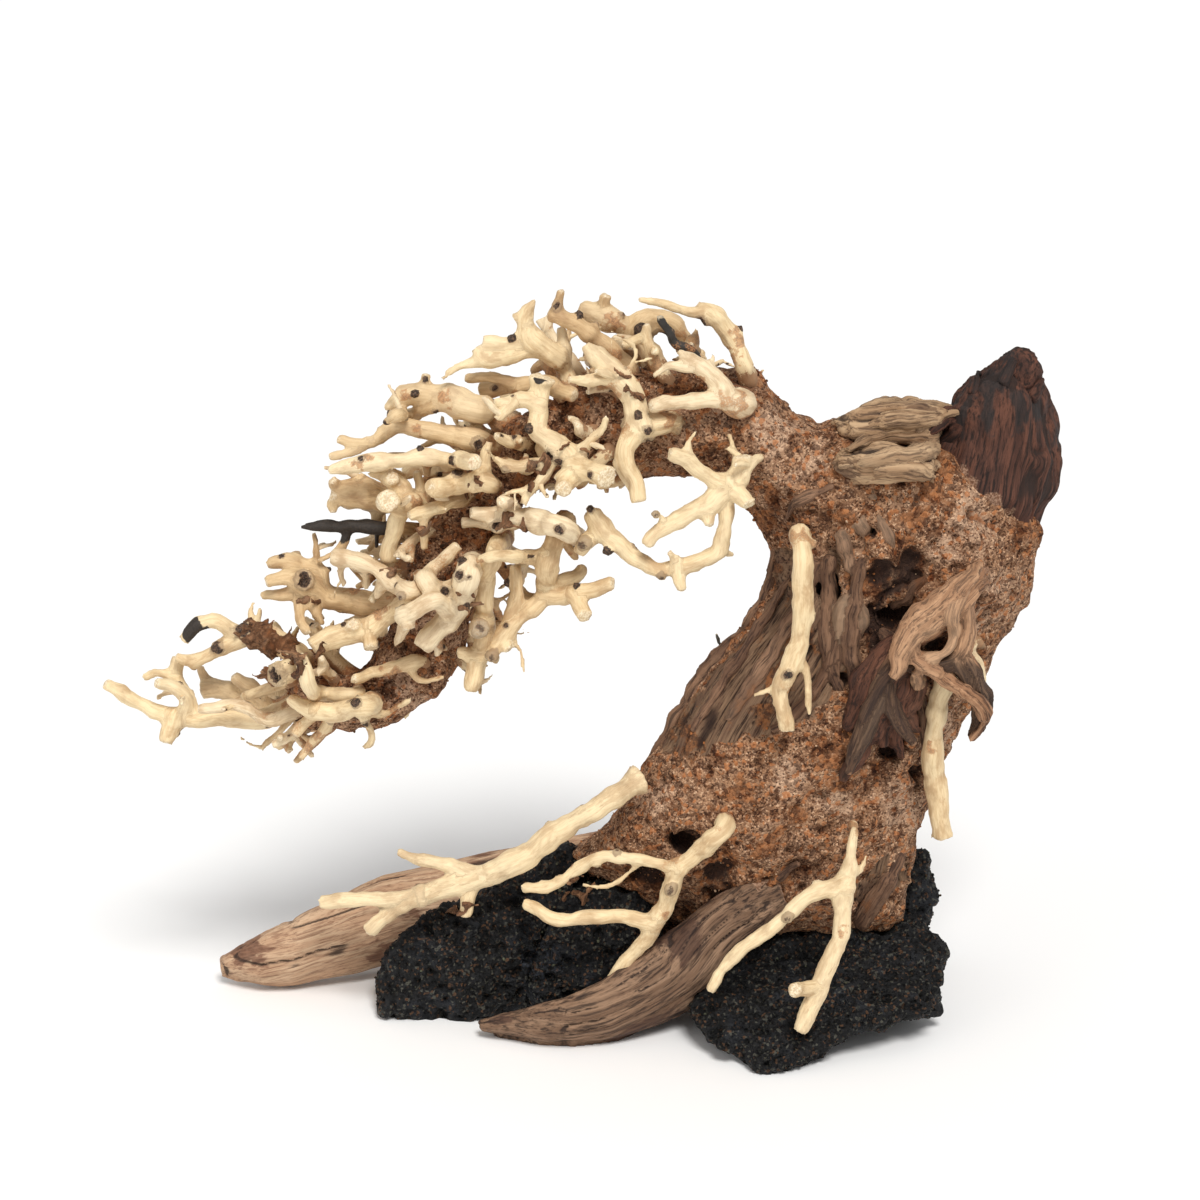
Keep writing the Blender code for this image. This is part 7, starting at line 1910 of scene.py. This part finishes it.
class DRIFTWOOD_OT_wood(bpy.types.Operator):
    """Models the stump, the slabs, the leg, the foot, the twisted driftwood and what lies on them"""
    bl_idname = "driftwood.wood"
    bl_label = "Shaped wood"

    def execute(self, context):
        tree = WORK["tree"]
        stump = driftwood_finish(STUMP, (0.13, 0.052, 0.032), (0.06, 0.025, 0.017), (0.009, 0.006, 0.005),
                                 (0.028, 0.024, 0.023), 0.12)
        shaped_wood("crown_stump", stump, 0.85, 1.2, tree, 7.0, 16.0, 0.0, 1.0, 7.5)
        slab = driftwood_finish(SLAB, (0.52, 0.35, 0.205), (0.33, 0.2, 0.108), (0.075, 0.04, 0.024),
                                (0.15, 0.08, 0.045), 0.04)
        shaped_wood("weathered_slab_upper", slab, 0.75, 1.7, tree, 4.0, 10.0, 1.0, 0.6)
        shaped_wood("weathered_slab_lower", slab, 0.75, 1.5, tree, 3.5, 9.0, 1.0, 0.6)
        leg = driftwood_finish(GREY_WOOD, (0.3, 0.185, 0.115), (0.175, 0.1, 0.06), (0.035, 0.02, 0.014),
                               (0.085, 0.04, 0.026), 0.03)
        shaped_wood("front_leg", leg, 1.0, 0.7, tree)
        foot = driftwood_finish(FOOT_WOOD, (0.58, 0.4, 0.26), (0.48, 0.3, 0.185), (0.27, 0.15, 0.09),
                                (0.2, 0.085, 0.05), -0.01)
        shaped_wood("left_foot", foot, 1.05, 0.7, tree)
        shard = driftwood_finish(BROWN_WOOD, (0.3, 0.17, 0.1), (0.16, 0.085, 0.05), (0.04, 0.02, 0.014),
                                 (0.26, 0.11, 0.045), 0.02)
        settings = context.scene.driftwood_twigs
        laid_piece("trunk_splinters", laid_runs(tree, SPLINTERS, 1.25), settings, shard, 4.0)
        crown = node_tree("trunk", "weathered_slab_upper", "weathered_slab_lower", "crown_stump")
        laid_piece("slab_splinters", laid_runs(crown, SLAB_SHARDS, 1.1), settings, slab, 4.0)
        laid_piece("stump_splinters", laid_runs(crown, STUMP_SHARDS, 1.1), settings, stump, 4.0)
        twiglet = curve_through([(*place(u, v, y), radius) for u, v, y, radius in FLANK_TWIGLET], 1.0)
        twiglet = [Run(twiglet[:, :3], twiglet[:, 3])]
        laid_piece("flank_twiglet", twiglet, settings, WORK["finishes"][BLACK], 1.0)
        scraps = scrap_runs(node_tree("trunk", *ROCK_NODES, *WORK["slots"]), BARK_SCRAPS, 1.0)
        crumpled = driftwood_finish(BROWN_WOOD, (0.36, 0.19, 0.095), (0.18, 0.08, 0.038), (0.03, 0.015, 0.01),
                                    (0.28, 0.11, 0.04), 0.02)
        laid_piece("bark_scraps", scraps, settings, crumpled, 3.0)
        twist = driftwood_finish(BROWN_WOOD, (0.56, 0.32, 0.18), (0.34, 0.175, 0.092), (0.06, 0.027, 0.017),
                                 (0.1, 0.05, 0.035), -0.02)
        runs = strand_runs(WORK["chains"]["twisted_driftwood"], settings)
        piece = twig_piece("twisted_driftwood", runs, [], tree, settings, twist,
                           ("twisted_driftwood",), 3.0)
        torn = driftwood_finish(BROWN_WOOD, (0.17, 0.07, 0.04), (0.085, 0.034, 0.02), (0.015, 0.008, 0.006),
                                (0.05, 0.022, 0.014), 0.0)
        laid_piece("torn_layers", laid_runs(tree, DARK_SHARDS, 1.35, 4.2), settings, torn, 5.0)
        layered = node_tree("trunk", "twisted_driftwood")
        layers = laid_runs(layered, TWIST_SHARDS, 1.2, 0.8)
        laid_piece("twist_layers", layers, settings, twist, 4.0)
        # The twisted piece turns darker towards the bottom of the view, through its low value
        places = points_of(piece.data) / MM
        heights = seen_at(places + np.array(ORIGIN))[1] + 4.0 * soft_noise(places, 5.0, 71)
        give(piece.data, "low", 0.75 * ramp(heights, 156.0, 144.0))
        return {"FINISHED"}


class DRIFTWOOD_OT_rocks(bpy.types.Operator):
    """Models the lava rocks with their pores and loose grains"""
    bl_idname = "driftwood.rocks"
    bl_label = "Lava rocks"

    def execute(self, context):
        settings = context.scene.driftwood_rocks
        material = lava_finish()
        loose = crumb_finish(LAVA, (0.004, 0.004, 0.004), (0.014, 0.014, 0.015), (0.05, 0.03, 0.018),
                             (0.11, 0.115, 0.075))
        for number, node in enumerate(ROCK_NODES):
            rock = rock_piece(node, material, settings)
            weights = (points_of(rock.data)[:, 2] > 0.002).astype(float)
            crumbs_piece(node + "_grains", rock, weights, settings.grains, settings.least_grain,
                         settings.most_grain, loose, 20 + number)
        return {"FINISHED"}


def area_light(name, place_at, aim, width, power, colour):
    lamp = bpy.data.lights.new(name, "AREA")
    lamp.shape = "SQUARE"
    lamp.size = width
    lamp.energy = power
    lamp.color = colour
    holder = bpy.data.objects.new(name, lamp)
    holder.location = place_at
    holder.rotation_euler = (Vector(aim) - Vector(place_at)).to_track_quat("-Z", "Y").to_euler()
    bpy.context.scene.collection.objects.link(holder)


class DRIFTWOOD_OT_stage(bpy.types.Operator):
    """Makes the floor, the lights and the camera"""
    bl_idname = "driftwood.stage"
    bl_label = "Floor, light and camera"

    def execute(self, context):
        settings = context.scene.driftwood_stage
        bm = bmesh.new()
        bmesh.ops.create_grid(bm, x_segments=1, y_segments=1, size=settings.floor_width / 2.0)
        mesh = bpy.data.meshes.new("floor")
        bm.to_mesh(mesh)
        bm.free()
        floor = object_with(mesh, "floor")
        pale = Finish("pale_floor")
        mesh.materials.append(pale.done(tuple(settings.floor), 0.9))
        middle = (Vector((0.0, 0.0, AIM_Z)) - ORIGIN) * MM
        area_light("fill", middle + FILL_LIGHT_PLACE, middle, FILL_LIGHT_WIDTH, settings.fill,
                   (1.0, 0.99, 0.97))
        sun_data = bpy.data.lights.new("key", "SUN")
        sun_data.energy = settings.key
        sun_data.angle = SUN_WIDTH
        sun_data.color = (1.0, 0.985, 0.96)
        sun = bpy.data.objects.new("key", sun_data)
        sun.rotation_euler = SUN_DIRECTION.to_track_quat("-Z", "Y").to_euler()
        context.scene.collection.objects.link(sun)
        world = bpy.data.worlds.new("surroundings")
        world.use_nodes = True
        backdrop = world.node_tree.nodes["Background"]
        backdrop.inputs["Color"].default_value = (1.0, 1.0, 1.0, 1.0)
        backdrop.inputs["Strength"].default_value = settings.sky
        context.scene.world = world
        context.scene.view_settings.view_transform = "Standard"
        camera_data = bpy.data.cameras.new("camera")
        camera_data.sensor_width = 36.0
        camera_data.lens = camera_data.sensor_width * SIGHT_RANGE / FIELD_WIDTH
        camera_data.clip_end = 100.0
        camera = bpy.data.objects.new("camera", camera_data)
        camera.location = (EYE - ORIGIN) * MM
        camera.rotation_euler = (math.pi / 2.0 - SIGHT_ANGLE, 0.0, 0.0)
        context.scene.collection.objects.link(camera)
        context.scene.camera = camera
        return {"FINISHED"}


class DRIFTWOOD_PT_panel(bpy.types.Panel):
    """Steps that dress the driftwood"""
    bl_label = "Bonsai driftwood"
    bl_idname = "DRIFTWOOD_PT_panel"
    bl_space_type = "VIEW_3D"
    bl_region_type = "UI"
    bl_category = "Driftwood"

    def draw(self, context):
        for step in STEPS:
            self.layout.operator(step.bl_idname)
        for group in GROUPS.values():
            column = self.layout.column()
            for name in group.__annotations__:
                column.prop(getattr(context.scene, group_holder(group)), name)


STEPS = (DRIFTWOOD_OT_prepare, DRIFTWOOD_OT_twigs, DRIFTWOOD_OT_fill, DRIFTWOOD_OT_trunk,
         DRIFTWOOD_OT_wood, DRIFTWOOD_OT_rocks, DRIFTWOOD_OT_stage)
GROUPS = {
    "driftwood_twigs": TwigSettings,
    "driftwood_mortar": MortarSettings,
    "driftwood_rocks": RockSettings,
    "driftwood_stage": StageSettings,
}


def group_holder(group):
    return next(name for name, other in GROUPS.items() if other is group)


def register():
    for group in GROUPS.values():
        bpy.utils.register_class(group)
    for name, group in GROUPS.items():
        setattr(bpy.types.Scene, name, bpy.props.PointerProperty(type=group))
    for step in STEPS:
        bpy.utils.register_class(step)
    bpy.utils.register_class(DRIFTWOOD_PT_panel)


def unregister():
    bpy.utils.unregister_class(DRIFTWOOD_PT_panel)
    for step in reversed(STEPS):
        bpy.utils.unregister_class(step)
    for name in GROUPS:
        delattr(bpy.types.Scene, name)
    for group in GROUPS.values():
        bpy.utils.unregister_class(group)


def main():
    register()
    bpy.ops.driftwood.prepare()
    bpy.ops.driftwood.twigs()
    bpy.ops.driftwood.fill()
    bpy.ops.driftwood.trunk()
    bpy.ops.driftwood.wood()
    bpy.ops.driftwood.rocks()
    bpy.ops.driftwood.stage()


if __name__ == "__main__":
    main()
